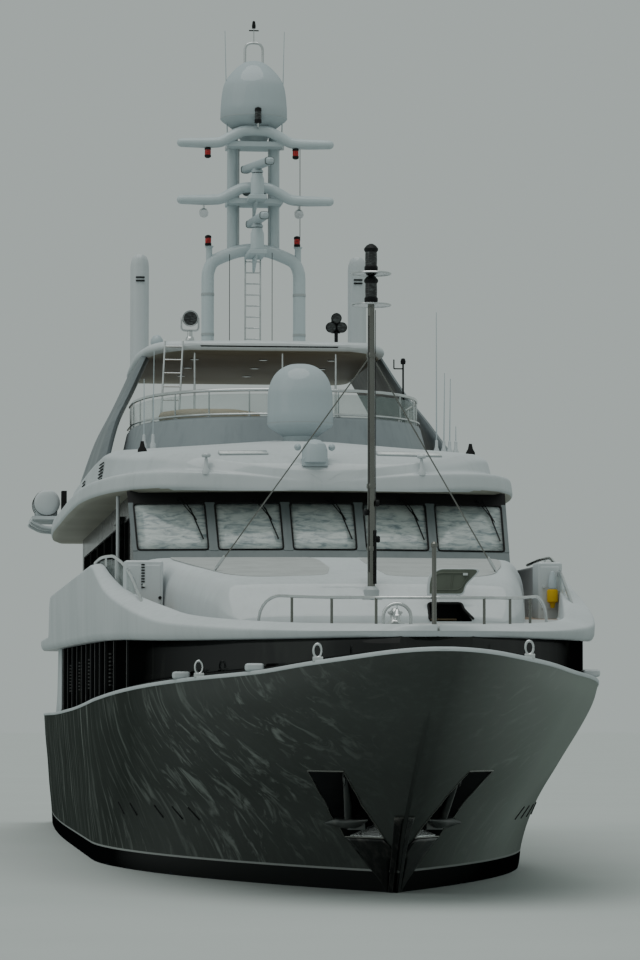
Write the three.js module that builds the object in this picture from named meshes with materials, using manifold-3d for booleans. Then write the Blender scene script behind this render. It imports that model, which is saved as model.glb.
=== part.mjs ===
// A three-deck motor yacht, 49 m long, as a 1:2 scale model. All dimensions are those of the full-size
// yacht in metres; the group is scaled to the model's millimetres at the end.
// +X is port, the bow points along -Y, +Z is up. The origin is amidships on the centreline at the waterline.
import * as THREE from "three";
import { mergeVertices } from "three/addons/utils/BufferGeometryUtils.js";
import Module from "manifold-3d";

const wasm = await Module();
wasm.setup();

// Driving dimensions
const SCALE = 0.5;
const MM = 1000 * SCALE; // model millimetres for one full-size metre
const GAP = 0.0008; // between pieces that touch
const CLEAR = 0.02; // between pieces that move past each other
const RUNNING = 0.002; // round a shaft in its bearing
const SHAFT_SIDES = 24;
const BOW_Y = -24.7;
const TRANSOM_Y = 22.3;
const STERN_Y = 24.3;
const HALF_BEAM = 4.3;
const DRAUGHT = 2.2;
const MAIN_DECK_Z = 1.95;
const HOUSE_AFT_Y = 10.1;
const WELL_HALF = 3.72;
const SALOON_HALF = 3.4;
const SALOON_FRONT_Y = -6;

// Colours of the finishes, with roughness and metalness
const FINISH = {
  hull: [0x5d645f, 0.2, 0.3],
  white: [0xdfe5e6, 0.25, 0.0],
  grey: [0x7f8a8c, 0.35, 0.1],
  dark: [0x14171a, 0.08, 0.0],
  glass: [0x8fa6a8, 0.05, 0.0],
  chrome: [0xc9ccce, 0.12, 1.0],
  black: [0x1a1b1c, 0.5, 0.0],
  bronze: [0x9c7443, 0.3, 1.0],
  teak: [0xa98257, 0.7, 0.0],
  antifouling: [0x20242b, 0.8, 0.0],
};

const yacht = new THREE.Group();
const shapes = {}; // the finished solids by name, for the pieces that stand on them

// Straight-line interpolation in a table of [key, value] rows
function lookup(table, key) {
  if (key <= table[0][0]) return table[0][1];
  const next = table.findIndex((row) => row[0] >= key);
  if (next < 0) return table[table.length - 1][1];
  const [k0, v0] = table[next - 1];
  const [k1, v1] = table[next];
  return v0 + ((v1 - v0) * (key - k0)) / (k1 - k0);
}

// A closed three.js geometry as a manifold-3d solid
function solid(geometry) {
  const bare = geometry.index ? geometry.toNonIndexed() : geometry.clone();
  bare.deleteAttribute("normal");
  bare.deleteAttribute("uv");
  const merged = mergeVertices(bare, 1e-5);
  const corners = merged.index.array;
  const kept = [];
  for (let i = 0; i < corners.length; i += 3) {
    const [a, b, c] = corners.subarray(i, i + 3);
    if (a !== b && b !== c && c !== a) kept.push(a, b, c);
  }
  const build = (triVerts) =>
    new wasm.Manifold(
      new wasm.Mesh({
        numProp: 3,
        vertProperties: merged.attributes.position.array,
        triVerts: new Uint32Array(triVerts),
      }),
    );
  const made = build(kept);
  return made.volume() < 0 ? build(kept.reverse()) : made;
}

function union(...parts) {
  return parts.flat().reduce((sum, part) => sum.add(part));
}

function cut(body, ...tools) {
  return tools.flat().reduce((left, tool) => left.subtract(tool), body);
}

// Cuts a body back to a gap from the pieces it touches, each moved by the gap towards the body
function fit(body, names, dx, dy, dz) {
  return names.reduce((left, name) => left.subtract(shapes[name].translate([dx * GAP, dy * GAP, dz * GAP])),
    body);
}

const SIDEWAYS = [[1, 0], [-1, 0], [0, 1], [0, -1]];

function standOn(body, ...names) {
  return SIDEWAYS.reduce((left, [dx, dy]) => fit(left, names, dx, dy, 0), fit(body, names, 0, 0, 1));
}

function hangFrom(body, ...names) {
  return SIDEWAYS.reduce((left, [dx, dy]) => fit(left, names, dx, dy, 0), fit(body, names, 0, 0, -1));
}

// The largest of the bodies left after a cut
function largest(body) {
  return body.decompose().sort((a, b) => b.volume() - a.volume())[0];
}

// Adds a solid to the yacht as a named mesh
function piece(name, body, finish) {
  shapes[name] = body;
  const mesh = body.getMesh();
  const points = new Float32Array(mesh.numVert * 3);
  for (let i = 0; i < mesh.numVert; i++)
    points.set(mesh.vertProperties.subarray(i * mesh.numProp, i * mesh.numProp + 3), i * 3);
  const geometry = new THREE.BufferGeometry();
  geometry.setAttribute("position", new THREE.BufferAttribute(points, 3));
  geometry.setIndex(new THREE.BufferAttribute(mesh.triVerts, 1));
  geometry.computeVertexNormals();
  const [color, roughness, metalness] = FINISH[finish];
  const made = new THREE.Mesh(geometry, new THREE.MeshStandardMaterial({ color, roughness, metalness }));
  made.name = name;
  yacht.add(made);
}

// Sides through rings of [x, y, z] that all have the same number of points, closed by a cap at each end
function loft(rings) {
  const n = rings[0].length;
  const faces = [];
  for (let r = 0; r < rings.length - 1; r++)
    for (let i = 0; i < n; i++) {
      const a = r * n + i;
      const b = r * n + ((i + 1) % n);
      faces.push(a, b, b + n, a, b + n, a + n);
    }
  const last = rings.length - 1;
  for (const [a, b, c] of clipEars(flatten(rings[0]))) faces.push(a, c, b);
  for (const [a, b, c] of clipEars(flatten(rings[last]))) {
    faces.push(last * n + a, last * n + b, last * n + c);
  }
  const geometry = new THREE.BufferGeometry();
  geometry.setAttribute("position", new THREE.Float32BufferAttribute(rings.flat(2), 3));
  geometry.setIndex(faces);
  return solid(geometry);
}

// A ring's points along the two axes between which it shows the largest area
function flatten(ring) {
  const views = [[0, 1], [0, 2], [1, 2]].map(([u, v]) => ring.map((p) => new THREE.Vector2(p[u], p[v])));
  const areas = views.map((view) => Math.abs(THREE.ShapeUtils.area(view)));
  return views[areas.indexOf(Math.max(...areas))];
}

// Triangles over a flat outline, in the outline's own direction, that use each of its points
function clipEars(flat) {
  const sense = Math.sign(THREE.ShapeUtils.area(flat));
  const left = flat.map((_, k) => k);
  const triangles = [];
  const area = (a, b, c) => sense * THREE.ShapeUtils.area([flat[a], flat[b], flat[c]]);
  while (left.length > 3) {
    let best = 0;
    let score = -Infinity;
    left.forEach((b, i) => {
      const a = left[(i + left.length - 1) % left.length];
      const c = left[(i + 1) % left.length];
      const size = area(a, b, c);
      const others = left.filter((k) => k !== a && k !== b && k !== c);
      const blocked = others.some((k) => area(a, b, k) > 0 && area(b, c, k) > 0 && area(c, a, k) > 0);
      const shape = size / (flat[a].distanceToSquared(flat[c]) + flat[a].distanceToSquared(flat[b]));
      if (size < 0 || blocked || shape <= score) return;
      best = i;
      score = shape;
    });
    const count = left.length;
    triangles.push([left[(best + count - 1) % count], left[best], left[(best + 1) % count]]);
    left.splice(best, 1);
  }
  triangles.push(left);
  return triangles;
}

// A ring that is the same on both sides of the centreline, from its port half of [x, z] points, keel first
function mirroredRing(half, y) {
  const port = half.map(([x, z]) => [x, y, z]);
  const starboard = half.map(([x, z]) => [-x, y, z]).reverse();
  return [...port, ...starboard];
}

function box(x0, x1, y0, y1, z0, z1) {
  const geometry = new THREE.BoxGeometry(x1 - x0, y1 - y0, z1 - z0);
  geometry.translate((x0 + x1) / 2, (y0 + y1) / 2, (z0 + z1) / 2);
  return solid(geometry);
}

// The same box on both sides, from |x| = x0 to x1
function boxPair(x0, x1, y0, y1, z0, z1) {
  return [box(x0, x1, y0, y1, z0, z1), box(-x1, -x0, y0, y1, z0, z1)];
}

function place(geometry, from, to) {
  const start = new THREE.Vector3(...from);
  const end = new THREE.Vector3(...to);
  const along = end.clone().sub(start).normalize();
  geometry.applyQuaternion(new THREE.Quaternion().setFromUnitVectors(new THREE.Vector3(0, 1, 0), along));
  const middle = start.add(end).multiplyScalar(0.5);
  geometry.translate(middle.x, middle.y, middle.z);
  return solid(geometry);
}

function length(from, to) {
  return new THREE.Vector3(...from).distanceTo(new THREE.Vector3(...to));
}

// A straight round bar, or a cone with a second radius at its far end
function bar(from, to, radius, sides = 6, farRadius = radius) {
  return place(new THREE.CylinderGeometry(farRadius, radius, length(from, to), sides), from, to);
}

// A bent tube through the points
function tube(points, radius, steps, sides = 6) {
  const outline = Array.from({ length: sides }, (_, k) => {
    const turn = (2 * Math.PI * k) / sides;
    return new THREE.Vector2(radius * Math.cos(turn), radius * Math.sin(turn));
  });
  const extrudePath = new THREE.CatmullRomCurve3(points.map((p) => new THREE.Vector3(...p)), false,
    "centripetal");
  return solid(new THREE.ExtrudeGeometry(new THREE.Shape(outline),
    { steps, extrudePath, bevelEnabled: false }));
}

// A plate of the given outline of [u, v] points, raised by height along the third axis
function plate(outline, height, holes = []) {
  const shape = new THREE.Shape(outline.map(([u, v]) => new THREE.Vector2(u, v)));
  for (const hole of holes) shape.holes.push(new THREE.Path(hole.map(([u, v]) => new THREE.Vector2(u, v))));
  return new THREE.ExtrudeGeometry(shape, { depth: height, bevelEnabled: false });
}

// A plate seen from the side: its outline is in (y, z), and it runs from x0 to x1
function sidePlate(outline, x0, x1) {
  const geometry = plate(outline, x1 - x0);
  geometry.applyMatrix4(new THREE.Matrix4().set(0, 0, 1, x0, 1, 0, 0, 0, 0, 1, 0, 0, 0, 0, 0, 1));
  return solid(geometry);
}

// A plate seen from above: its outline is in (x, y), and it runs from z0 to z1
function deckPlate(outline, z0, z1, holes = []) {
  const geometry = plate(outline, z1 - z0, holes);
  geometry.translate(0, 0, z0);
  return solid(geometry);
}

// A body of revolution about the vertical through (x, y), from [radius, z] rows
function turned(rows, x, y, sides = 16) {
  const closed = [[0, rows[0][1]], ...rows, [0, rows[rows.length - 1][1]]];
  const profile = closed.map(([radius, z]) => new THREE.Vector2(radius, z));
  const geometry = new THREE.LatheGeometry(profile, sides);
  geometry.rotateX(Math.PI / 2);
  geometry.translate(x, y, 0);
  return solid(geometry);
}

// Hull: stem profile, sheer and keel lines, and the shape of each waterline
const STEM_TOP = 3.78;
const STEM = [ // height, y
  [-2.2, -12.0], [-1.9, -15.0], [-1.3, -17.2], [-0.6, -18.5], [0, -19.1], [0.75, -19.8],
  [1.5, -20.75], [2.3, -22.0], [3.0, -23.25], [STEM_TOP, BOW_Y],
];
const SHEER = [ // y, height
  [BOW_Y, 3.75], [-23.9, 3.63], [-23.3, 3.57], [-21.7, 3.44], [-19.2, 3.37], [-17, 3.31], [-15, 3.25],
  [-10, 3.1], [0, 2.93], [HOUSE_AFT_Y, 2.86], [TRANSOM_Y, 2.86],
];
const KEEL = [[5, DRAUGHT], [11, 1.7], [17, 1.0], [TRANSOM_Y, 0.6]]; // y, depth
const SHEER_STATIONS = [
  BOW_Y, -24.55, -24.3, -23.9, -23.4, -22.7, -21.2, -19.2, -17.2, -15, -12.5, -10, -5, 0, 5,
  HOUSE_AFT_Y, 14, 18, TRANSOM_Y,
];
const LEVELS = [ // share of height or depth, half-breadth, length of entrance, fineness of entrance
  [-1.0, 0.14, 20, 1.0], [-0.8, 2.3, 20, 1.25], [-0.55, 3.5, 18, 1.2], [-0.25, 3.95, 16, 1.1],
  [0, 4.05, 15, 1.0], [0.15, 4.08, 15.5, 0.95], [0.38, 4.15, 15.8, 0.85], [0.6, 4.2, 15.6, 0.66],
  [0.8, 4.26, 15.5, 0.54], [0.92, 4.285, 15.8, 0.49], [1.0, HALF_BEAM, 16, 0.51],
];
const STEM_HALF = 0.02;
const AFT_TAPER_FROM = 6;

// Half-breadth of one waterline at a distance behind its stem
function breadth(half, run, fine, behind) {
  const share = Math.min(1, Math.max(0, behind / run));
  return half * (1 - (1 - share) ** 2) ** fine;
}

function taper(y) {
  const past = Math.max(0, y - AFT_TAPER_FROM) / (TRANSOM_Y - AFT_TAPER_FROM);
  return 1 - 0.07 * past ** 2;
}

function sheerHalf(y) {
  return Math.max(STEM_HALF, breadth(HALF_BEAM, 16, 0.52, y - BOW_Y) * taper(y));
}

// The hull's rings, each skin grown outwards by swell
function hullRings(swell = 0) {
  return SHEER_STATIONS.map((station) => {
    const share = (station - BOW_Y) / (TRANSOM_Y - BOW_Y);
    const half = LEVELS.map(([level, widest, run, fine]) => {
      const nominal = level >= 0 ? level * STEM_TOP : level * DRAUGHT;
      const stem = lookup(STEM, nominal) - swell;
      const y = stem + (TRANSOM_Y - stem) * share;
      const z = level >= 0 ? level * lookup(SHEER, station) : level * lookup(KEEL, y);
      const x = breadth(widest, run, fine, y - lookup(STEM, nominal)) * taper(y);
      return [Math.max(STEM_HALF, x) + swell, y, z - (level < -0.9 ? swell : 0)];
    });
    const starboard = half.map(([x, y, z]) => [-x, y, z]).reverse();
    return [...half, ...starboard];
  });
}

// Anchor pocket in the side view: its corners as y, height; its back wall leans outwards with height
const POCKET = {
  outline: [
    [-19.62, 0.88], [-19.72, 1.15], [-19.86, 1.41], [-20.16, 1.68], [-20.52, 1.94], [-19.8, 1.94],
    [-19.26, 1.59], [-18.9, 1.24], [-18.73, 0.88],
  ],
  wallX: 0.12,
  wallLow: 0.88,
  wallLean: 0.417,
};

function pocketWall(z) {
  return POCKET.wallX + POCKET.wallLean * (z - POCKET.wallLow);
}

function anchorPocket(side) {
  return loft([0, 2].map((out) => POCKET.outline.map(([y, z]) => [side * (pocketWall(z) + out), y, z])));
}

const SHAFT = { x: 1.75, radius: 0.09, rise: 0.085, propY: 17.6, propZ: -1.68, length: 6.2 };
const PROPELLER_RADIUS = 0.62;
const RUDDER = { x: 1.75, y: 19.6, top: -0.98, low: -2.2, stock: 0.1 };
const FIN = { y: 1.5, x: 3.35, z: -1.25, stock: 0.12 };

// A point on a fin's stock at a distance from the centreline
function finPoint(side, x) {
  return [side * x, FIN.y, FIN.z - (x - FIN.x) / 3];
}

// A point on the propeller shaft at a distance ahead of the propeller
function shaftPoint(side, ahead) {
  return [side * SHAFT.x, SHAFT.propY - ahead, SHAFT.propZ + ahead * SHAFT.rise];
}

const HATCH = { y: TRANSOM_Y - 0.08, z: 2.0, pin: 0.03 }; // hinge of the transom door
const AFT_STEP = { inside: 2.45, outside: 3.55, front: 20.6, going: 0.42, rise: 0.36, count: 4 };
const GARAGE = { half: 1.75, front: TRANSOM_Y - 0.32, low: 0.62, high: 2.1 };
const WELL_BACK_Y = 21.2;

function makeSkeg() {
  return sidePlate([[9.5, -1.6], [15.6, -1.0], [15.9, -1.75], [11, -2.2]], -0.12, 0.12);
}

// V bracket that carries the shaft's outer bearing
function makeShaftBracket(side) {
  const [x, y, z] = shaftPoint(side, 0.8);
  const barrel = bar(shaftPoint(side, 0.55), shaftPoint(side, 1.05), 0.2, 12);
  const arms = [-0.5, 0.5].map((lean) =>
    loft([0, 1].map((share) => {
      const cx = x + lean * share;
      const cz = z + 0.1 + 1.2 * share;
      const section = [[-0.035, -0.16], [0.035, -0.16], [0.035, 0.16], [-0.035, 0.16]];
      return section.map(([dx, dy]) => [cx + dx, y + dy, cz]);
    })),
  );
  const bore = bar(shaftPoint(side, 0.4), shaftPoint(side, 1.3), SHAFT.radius + RUNNING, SHAFT_SIDES);
  return cut(union(barrel, ...arms), bore);
}

function makeHull() {
  const body = loft(hullRings());
  const well = box(-WELL_HALF, WELL_HALF, HOUSE_AFT_Y, WELL_BACK_Y, MAIN_DECK_Z, 4);
  const saloon = box(-SALOON_HALF, SALOON_HALF, SALOON_FRONT_Y, HOUSE_AFT_Y + 1, MAIN_DECK_Z, 4);
  const steps = Array.from({ length: AFT_STEP.count }, (_, k) =>
    boxPair(AFT_STEP.inside, AFT_STEP.outside, AFT_STEP.front + AFT_STEP.going * k, TRANSOM_Y + 1,
      MAIN_DECK_Z - AFT_STEP.rise * k, 4),
  );
  const garage = box(-GARAGE.half, GARAGE.half, GARAGE.front, TRANSOM_Y + 1, GARAGE.low, GARAGE.high);
  const hinge = bar([-1.81, HATCH.y, HATCH.z], [1.81, HATCH.y, HATCH.z], HATCH.pin + RUNNING, SHAFT_SIDES);
  const bores = [1, -1].flatMap((side) => [
    bar(shaftPoint(side, 1.3), shaftPoint(side, SHAFT.length + 0.2), SHAFT.radius + CLEAR, 12),
    bar([side * RUDDER.x, RUDDER.y, -1.6], [side * RUDDER.x, RUDDER.y, 0.25], RUDDER.stock + RUNNING,
      SHAFT_SIDES),
    bar(finPoint(side, 2.65), finPoint(side, 4.2), FIN.stock + RUNNING, SHAFT_SIDES),
  ]);
  const fittings = union(body, makeSkeg(), makeShaftBracket(1), makeShaftBracket(-1));
  piece("hull", cut(fittings, anchorPocket(1), anchorPocket(-1), well, saloon, ...steps, garage, hinge,
    ...bores), "hull");
}

makeHull();

// Stem bar and the polished plates below the anchor pockets
function makeStemGuard() {
  const skin = loft(hullRings(0.03)).subtract(loft(hullRings(GAP)));
  const outline = [
    [-21.4, 1.22], [-20.3, 1.22], [-19.74, 0.72], [-19.62, 0.86], [-18.75, 0.86], [-18.8, 0.5],
    [-18.93, 0.1], [-18.85, -0.1], [-18.3, -0.5], [-21.4, -0.5],
  ];
  const guard = skin.intersect(sidePlate(outline, -2, 2));
  piece("stem_guard", largest(fit(guard, ["hull"], 0, 0, 0)), "chrome");
}

makeStemGuard();

// Stockless anchor: its shank leans on the pocket's back wall, its crown stands on the pocket's floor
const ANCHOR = { y: -19.12, x: 0.72, z: 1.1 };
const SHANK_HEAD = [0.88, -19.95, 1.84];

function makeAnchor(name, side) {
  const [headX, headY, headZ] = SHANK_HEAD;
  const shank = bar([side * ANCHOR.x, ANCHOR.y, ANCHOR.z], [side * headX, headY, headZ], 0.07, 8);
  const rows = [ // distance along y, offset outwards, height, half-width, half-height
    [-0.44, -0.22, 0.06, 0.02, 0.02], [-0.14, -0.04, 0.02, 0.14, 0.1], [0.08, 0.1, 0.02, 0.14, 0.1],
      [0.22, 0.36, 0.0, 0.02, 0.02],
  ];
  const flukes = loft(rows.map(([along, out, up, wide, high]) =>
    [[-1, 0], [0, -1], [1, 0], [0, 1]].map(([u, v]) => [
      side * (ANCHOR.x + out) + u * wide, ANCHOR.y + along, ANCHOR.z + up + v * high,
    ]),
  ));
  const x0 = side * (ANCHOR.x - 0.1);
  const crown = box(x0 - 0.16, x0 + 0.16, ANCHOR.y - 0.12, ANCHOR.y + 0.16, POCKET.wallLow + GAP,
    ANCHOR.z + 0.04);
  piece(name, largest(standOn(union(shank, crown, flukes), "hull")), "chrome");
}

makeAnchor("anchor_port", 1);
makeAnchor("anchor_stbd", -1);

// Propellers, rudders and stabiliser fins
function makePropeller(name, side) {
  const hub = bar(shaftPoint(side, -0.32), shaftPoint(side, 0.4), 0.1, 12, 0.17);
  const shaft = bar(shaftPoint(side, 0.3), shaftPoint(side, SHAFT.length), SHAFT.radius, SHAFT_SIDES);
  const blades = [];
  for (let k = 0; k < 5; k++) {
    const rings = [[0.1, 0.14, 55], [0.3, 0.26, 42], [0.48, 0.27, 30],
      [PROPELLER_RADIUS, 0.1, 24]].map(([radius, chord, pitch]) => {
      const turn = THREE.MathUtils.degToRad(pitch) * side;
      return [[-chord, 0], [0, -0.018], [chord, 0], [0, 0.018]].map(([along, thick]) => {
        const u = along * Math.cos(turn) - thick * Math.sin(turn);
        const v = along * Math.sin(turn) + thick * Math.cos(turn);
        return [u * 0.55, v, radius];
      });
    });
    const blade = loft(rings).rotate([0, (360 / 5) * k, 0]);
    blades.push(blade.rotate([THREE.MathUtils.radToDeg(-Math.atan(SHAFT.rise)), 0,
      0]).translate(shaftPoint(side, 0.02)));
  }
  piece(name, union(hub, shaft, ...blades), "bronze");
}

function makeRudder(name, side) {
  const rings = [[RUDDER.top, 0.62, 0.09], [RUDDER.low, 0.5, 0.06]].map(([z, chord, thick]) =>
    [[-0.42, 0], [-0.25, 1], [0.1, 1], [0.95, 0.15], [0.95, -0.15], [0.1, -1],
      [-0.25, -1]].map(([along, side2]) => [
      side * RUDDER.x + side2 * thick, RUDDER.y + along * chord, z,
    ]),
  );
  const stock = bar([side * RUDDER.x, RUDDER.y, RUDDER.low + 0.4], [side * RUDDER.x, RUDDER.y, 0.15],
    RUDDER.stock, SHAFT_SIDES);
  piece(name, union(loft(rings), stock), "antifouling");
}

function makeFin(name, side) {
  const rings = [[0.06, 0.62, 0.1], [1.15, 0.4, 0.05]].map(([out, chord, thick]) =>
    [[-0.5, 0], [-0.2, 1], [0.2, 1], [1, 0], [0.2, -1], [-0.2, -1]].map(([along, up]) => [
      side * (FIN.x + 0.32 + out * 0.94), FIN.y + along * chord, FIN.z - 0.12 - out * 0.36 + up * thick,
    ]),
  );
  const stock = bar(finPoint(side, 2.75), finPoint(side, 3.95), FIN.stock, SHAFT_SIDES);
  piece(name, union(loft(rings), stock), "antifouling");
}

for (const [word, side] of [["port", 1], ["stbd", -1]]) {
  makePropeller(`propeller_${word}`, side);
  makeRudder(`rudder_${word}`, side);
  makeFin(`stabiliser_fin_${word}`, side);
}

// Swimming platform and the door above it in the transom
function makeStern() {
  const outline = [
    [-3.75, TRANSOM_Y + GAP], [3.75, TRANSOM_Y + GAP], [3.7, 23.6], [3.1, 24.15], [0, STERN_Y],
    [-3.1, 24.15], [-3.7, 23.6],
  ];
  piece("swim_platform", deckPlate(outline, 0.28, 0.52), "white");
  const pin = bar([-1.8, HATCH.y, HATCH.z], [1.8, HATCH.y, HATCH.z], HATCH.pin, SHAFT_SIDES);
  const door = box(-1.73, 1.73, TRANSOM_Y - 0.14, TRANSOM_Y - 0.02, 0.64, 2.06).add(pin);
  piece("transom_door", door, "hull");
}

makeStern();

// Upper deck and foredeck with their fascia, and the bulwark on them
const FASCIA_LOW = [ // y, height
  [-24.1, 3.95], [-23.2, 3.95], [-20, 3.98], [-17, 4.03], [-13, 4.12], [2, 4.3], [HOUSE_AFT_Y, 4.38],
    [18, 4.46],
];
const DECK_JOINT_Y = -8.9; // between the foredeck and the upper deck
const BULWARK_END_Y = 11.2;
const UPPER_FLOOR_Z = 4.62;
const UPPER_DECK_TIP = -24.1;
const UPPER_AFT_Y = 17.6;
const BULWARK_EDGE = [ // y, height of the bulwark's outer edge
  [-24.1, 4.03], [-22.5, 4.08], [-19.75, 4.2], [-17, 4.35], [-15.5, 4.51], [-13.8, 4.73], [-11.7, 5.04],
  [-10.3, 5.33], [-9.2, 5.54], [-8.2, 5.6], [HOUSE_AFT_Y, 5.62], [10.7, 5.46], [11.2, 4.74], [18, 4.74],
];
// Rise and width of the bulwark's cap along y
const CAP_RISE = [[-24.1, 0.1], [-20, 0.1], [-16, 0.12], [-12, 0.08], [-9, 0.04], [18, 0.04]];
const CAP_WIDTH = [[-24.1, 0.02], [-23.6, 0.25], [-22.5, 0.42], [-16, 0.42], [-12, 0.25], [-9, 0.14],
  [18, 0.14]];
const UPPER_FLOOR = [[-24.1, 4.03], [-20, 4.16], [-16.5, 4.34], [-13, 4.5], [-9.6, UPPER_FLOOR_Z],
  [18, UPPER_FLOOR_Z]];

function upperHalf(y) {
  const full = breadth(4.33, 15.4, 0.52, y - UPPER_DECK_TIP);
  const past = Math.max(0, y - 15.8) / (UPPER_AFT_Y - 15.8);
  return Math.max(0.03, full) * (1 - 0.3 * past ** 3);
}

// The bulwark's ring at y, down to the floor that it stands on
function bulwarkRing(y) {
  const half = upperHalf(y);
  const low = lookup(FASCIA_LOW, y);
  const edge = lookup(BULWARK_EDGE, y);
  const top = edge + lookup(CAP_RISE, y);
  const cap = lookup(CAP_WIDTH, y);
  const inside = (inset) => Math.max(0.012, half - inset);
  return mirroredRing([
    [inside(0.12), low], [inside(0.015), low + 0.04], [half, edge], [inside(cap), top],
      [inside(cap + 0.1), top],
    [inside(cap + 0.14), lookup(UPPER_FLOOR, y)],
  ], y);
}

// The deck's ring at y, its top face at floor height out to the bulwark's outer face
function deckRing(y) {
  const half = upperHalf(y);
  const low = lookup(FASCIA_LOW, y);
  const floor = lookup(UPPER_FLOOR, y);
  const inside = (inset) => Math.max(0.012, half - inset);
  return mirroredRing([[inside(0.12), low], [inside(0.015), low + 0.04], [half, floor]], y);
}

const AFT_SCREEN = {
  inside: 3.86, outside: 4.06,
  outline: [ // y, height
    [HOUSE_AFT_Y + 0.14, 2.8], [13.4, 2.8], [12.4, 3.3], [11.9, 4.5], [HOUSE_AFT_Y + 0.14, 4.5],
  ],
};
const PILLAR = { x: 3.3, y: 16.4, radius: 0.09 };
const DECK_LOCKER = { inside: 3.46, outside: 3.9, front: -12.3, back: -11.7, low: 4.4, high: 5.54 };

function makeUpperDeck() {
  const stations = [
    UPPER_DECK_TIP, -24.0, -23.75, -23.4, -22.9, -22.2, -21.2, -20, -18.2, -16.5, -15.2, -13.8, -12.7, -11.7,
    -10.3, -9.2, -8.2, -5, 2, HOUSE_AFT_Y, 10.7, BULWARK_END_Y, 15.8, 16.9, UPPER_AFT_Y,
  ];
  const deck = loft(stations.map(deckRing));
  const { inside, outside, outline } = AFT_SCREEN;
  const screens = [[inside, outside], [-outside, -inside]].map(([x0, x1]) => sidePlate(outline, x0, x1));
  const pillars = [PILLAR.x, -PILLAR.x].map((x) =>
    bar([x, PILLAR.y, MAIN_DECK_Z + GAP], [x, PILLAR.y, 4.5], PILLAR.radius, 12),
  );
  const ahead = box(-6, 6, -30, DECK_JOINT_Y - GAP / 2, 3, 9);
  const aft = box(-6, 6, DECK_JOINT_Y + GAP / 2, 30, 3, 9);
  piece("foredeck", standOn(deck.intersect(ahead), "hull"), "white");
  piece("upper_deck", standOn(union(deck.intersect(aft), ...screens, ...pillars), "hull"), "white");
  const airStations = stations.map((y) => [y, lookup(UPPER_FLOOR, y) + GAP]);
  const air = loft(airStations.map(([y, z]) => mirroredRing([[6, z], [6, 9]], y)));
  const bulwark = loft(stations.map(bulwarkRing)).intersect(air);
  const lockers = boxPair(DECK_LOCKER.inside, DECK_LOCKER.outside, DECK_LOCKER.front, DECK_LOCKER.back,
    DECK_LOCKER.low, DECK_LOCKER.high);
  const front = union(bulwark.intersect(ahead), ...lockers);
  piece("foredeck_bulwark", largest(standOn(front, "foredeck")), "white");
  for (const [word, x0, x1] of [["port", 1, 6], ["stbd", -6, -1]]) {
    const side = box(x0, x1, DECK_JOINT_Y + GAP / 2, BULWARK_END_Y, 3, 9);
    piece(`bulwark_${word}`, largest(bulwark.intersect(side)), "white");
  }
}

makeUpperDeck();

// Main-deck house: the dark glass band from the bow to the aft deck
const HOUSE_INSET = 0.24;

function houseShell(inset, y0, y1, stretch) {
  const stations = [y0, ...SHEER_STATIONS.filter((y) => y > y0 && y < y1), -13, 2, y1].sort((a, b) => a - b);
  const rings = stations.map((y) => {
    const half = Math.max(0.3, sheerHalf(y) - inset);
    return mirroredRing([[half, lookup(SHEER, y) - stretch], [half, lookup(FASCIA_LOW, y) + stretch]], y);
  });
  return loft(rings);
}

function makeMainHouse() {
  const shell = houseShell(HOUSE_INSET, -23.9, HOUSE_AFT_Y - 0.02, 0.05);
  const room = houseShell(HOUSE_INSET + 0.16, -21.2, HOUSE_AFT_Y, 0.5);
  piece("main_deck_house", largest(hangFrom(standOn(cut(shell, room), "hull"), "foredeck", "upper_deck")),
    "dark");
}

makeMainHouse();

// Aft wall of the saloon, with its sliding door behind it
const SALOON_DOOR = { half: 1.15, low: MAIN_DECK_Z + 0.1, high: 4.1 };
const SCREEN_WALL = 0.12;

function makeSaloonScreen() {
  const y = HOUSE_AFT_Y + 2 * GAP;
  const wall = box(-WELL_HALF + GAP, WELL_HALF - GAP, y, y + SCREEN_WALL, MAIN_DECK_Z + GAP, 4.45);
  const track = box(-SALOON_DOOR.half - 0.05, 3.3, y - 0.1, y + 0.05, SALOON_DOOR.high + 0.03 + GAP,
    SALOON_DOOR.high + 0.12);
  const { half, low, high } = SALOON_DOOR;
  const windows = boxPair(1.45, 3.2, y - 1, y + 1, 2.6, 4.0);
  piece("saloon_screen", hangFrom(cut(wall, box(-half, half, y - 1, y + 1, low, high), ...windows).add(track),
    "upper_deck"), "white");
  const leaf = box(-half - 0.05, half + 0.05, y - 0.09, y - 0.03, low - 0.05, high + 0.03);
  piece("saloon_door", leaf, "dark");
}

makeSaloonScreen();

// Foredeck trunk with its locker, and the locker's lid standing open
const TRUNK = [ // y, half-width, top height
  [-16.46, 2.2, 4.42], [-16.3, 2.42, 4.62], [-16.1, 2.55, 4.84], [-15.95, 2.6, 5.0], [-15.75, 2.64, 5.08],
  [-15.4, 2.7, 5.12], [-14.5, 2.86, 5.22], [-13, 3.1, 5.4], [-11.3, 3.36, 5.58], [-10.2, 3.56, 5.67],
  [-8.6, 3.6, 5.72],
];
const TRUNK_JOINT_Y = -15.2; // behind the locker
const LOCKER = {
  mouth: [[0.93, 4.37], [1.66, 4.37], [1.52, 4.58], [1.5, 4.68], [0.93, 4.68]], // x, height
  lid: [[0.9, 0.03], [1.52, 0.03], [1.56, 0.2], [1.8, 0.44], [1.76, 0.48], [1.1, 0.48], [0.94, 0.38],
    [0.9, 0.2]], // x, distance from the pin
  back: -15.6, pinY: -16.36, pinZ: 4.78, pin: 0.018, lug: [0.86, 1.56],
};

function trunkHeight(y) {
  return lookup(TRUNK.map((row) => [row[0], row[2]]), y);
}

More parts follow.
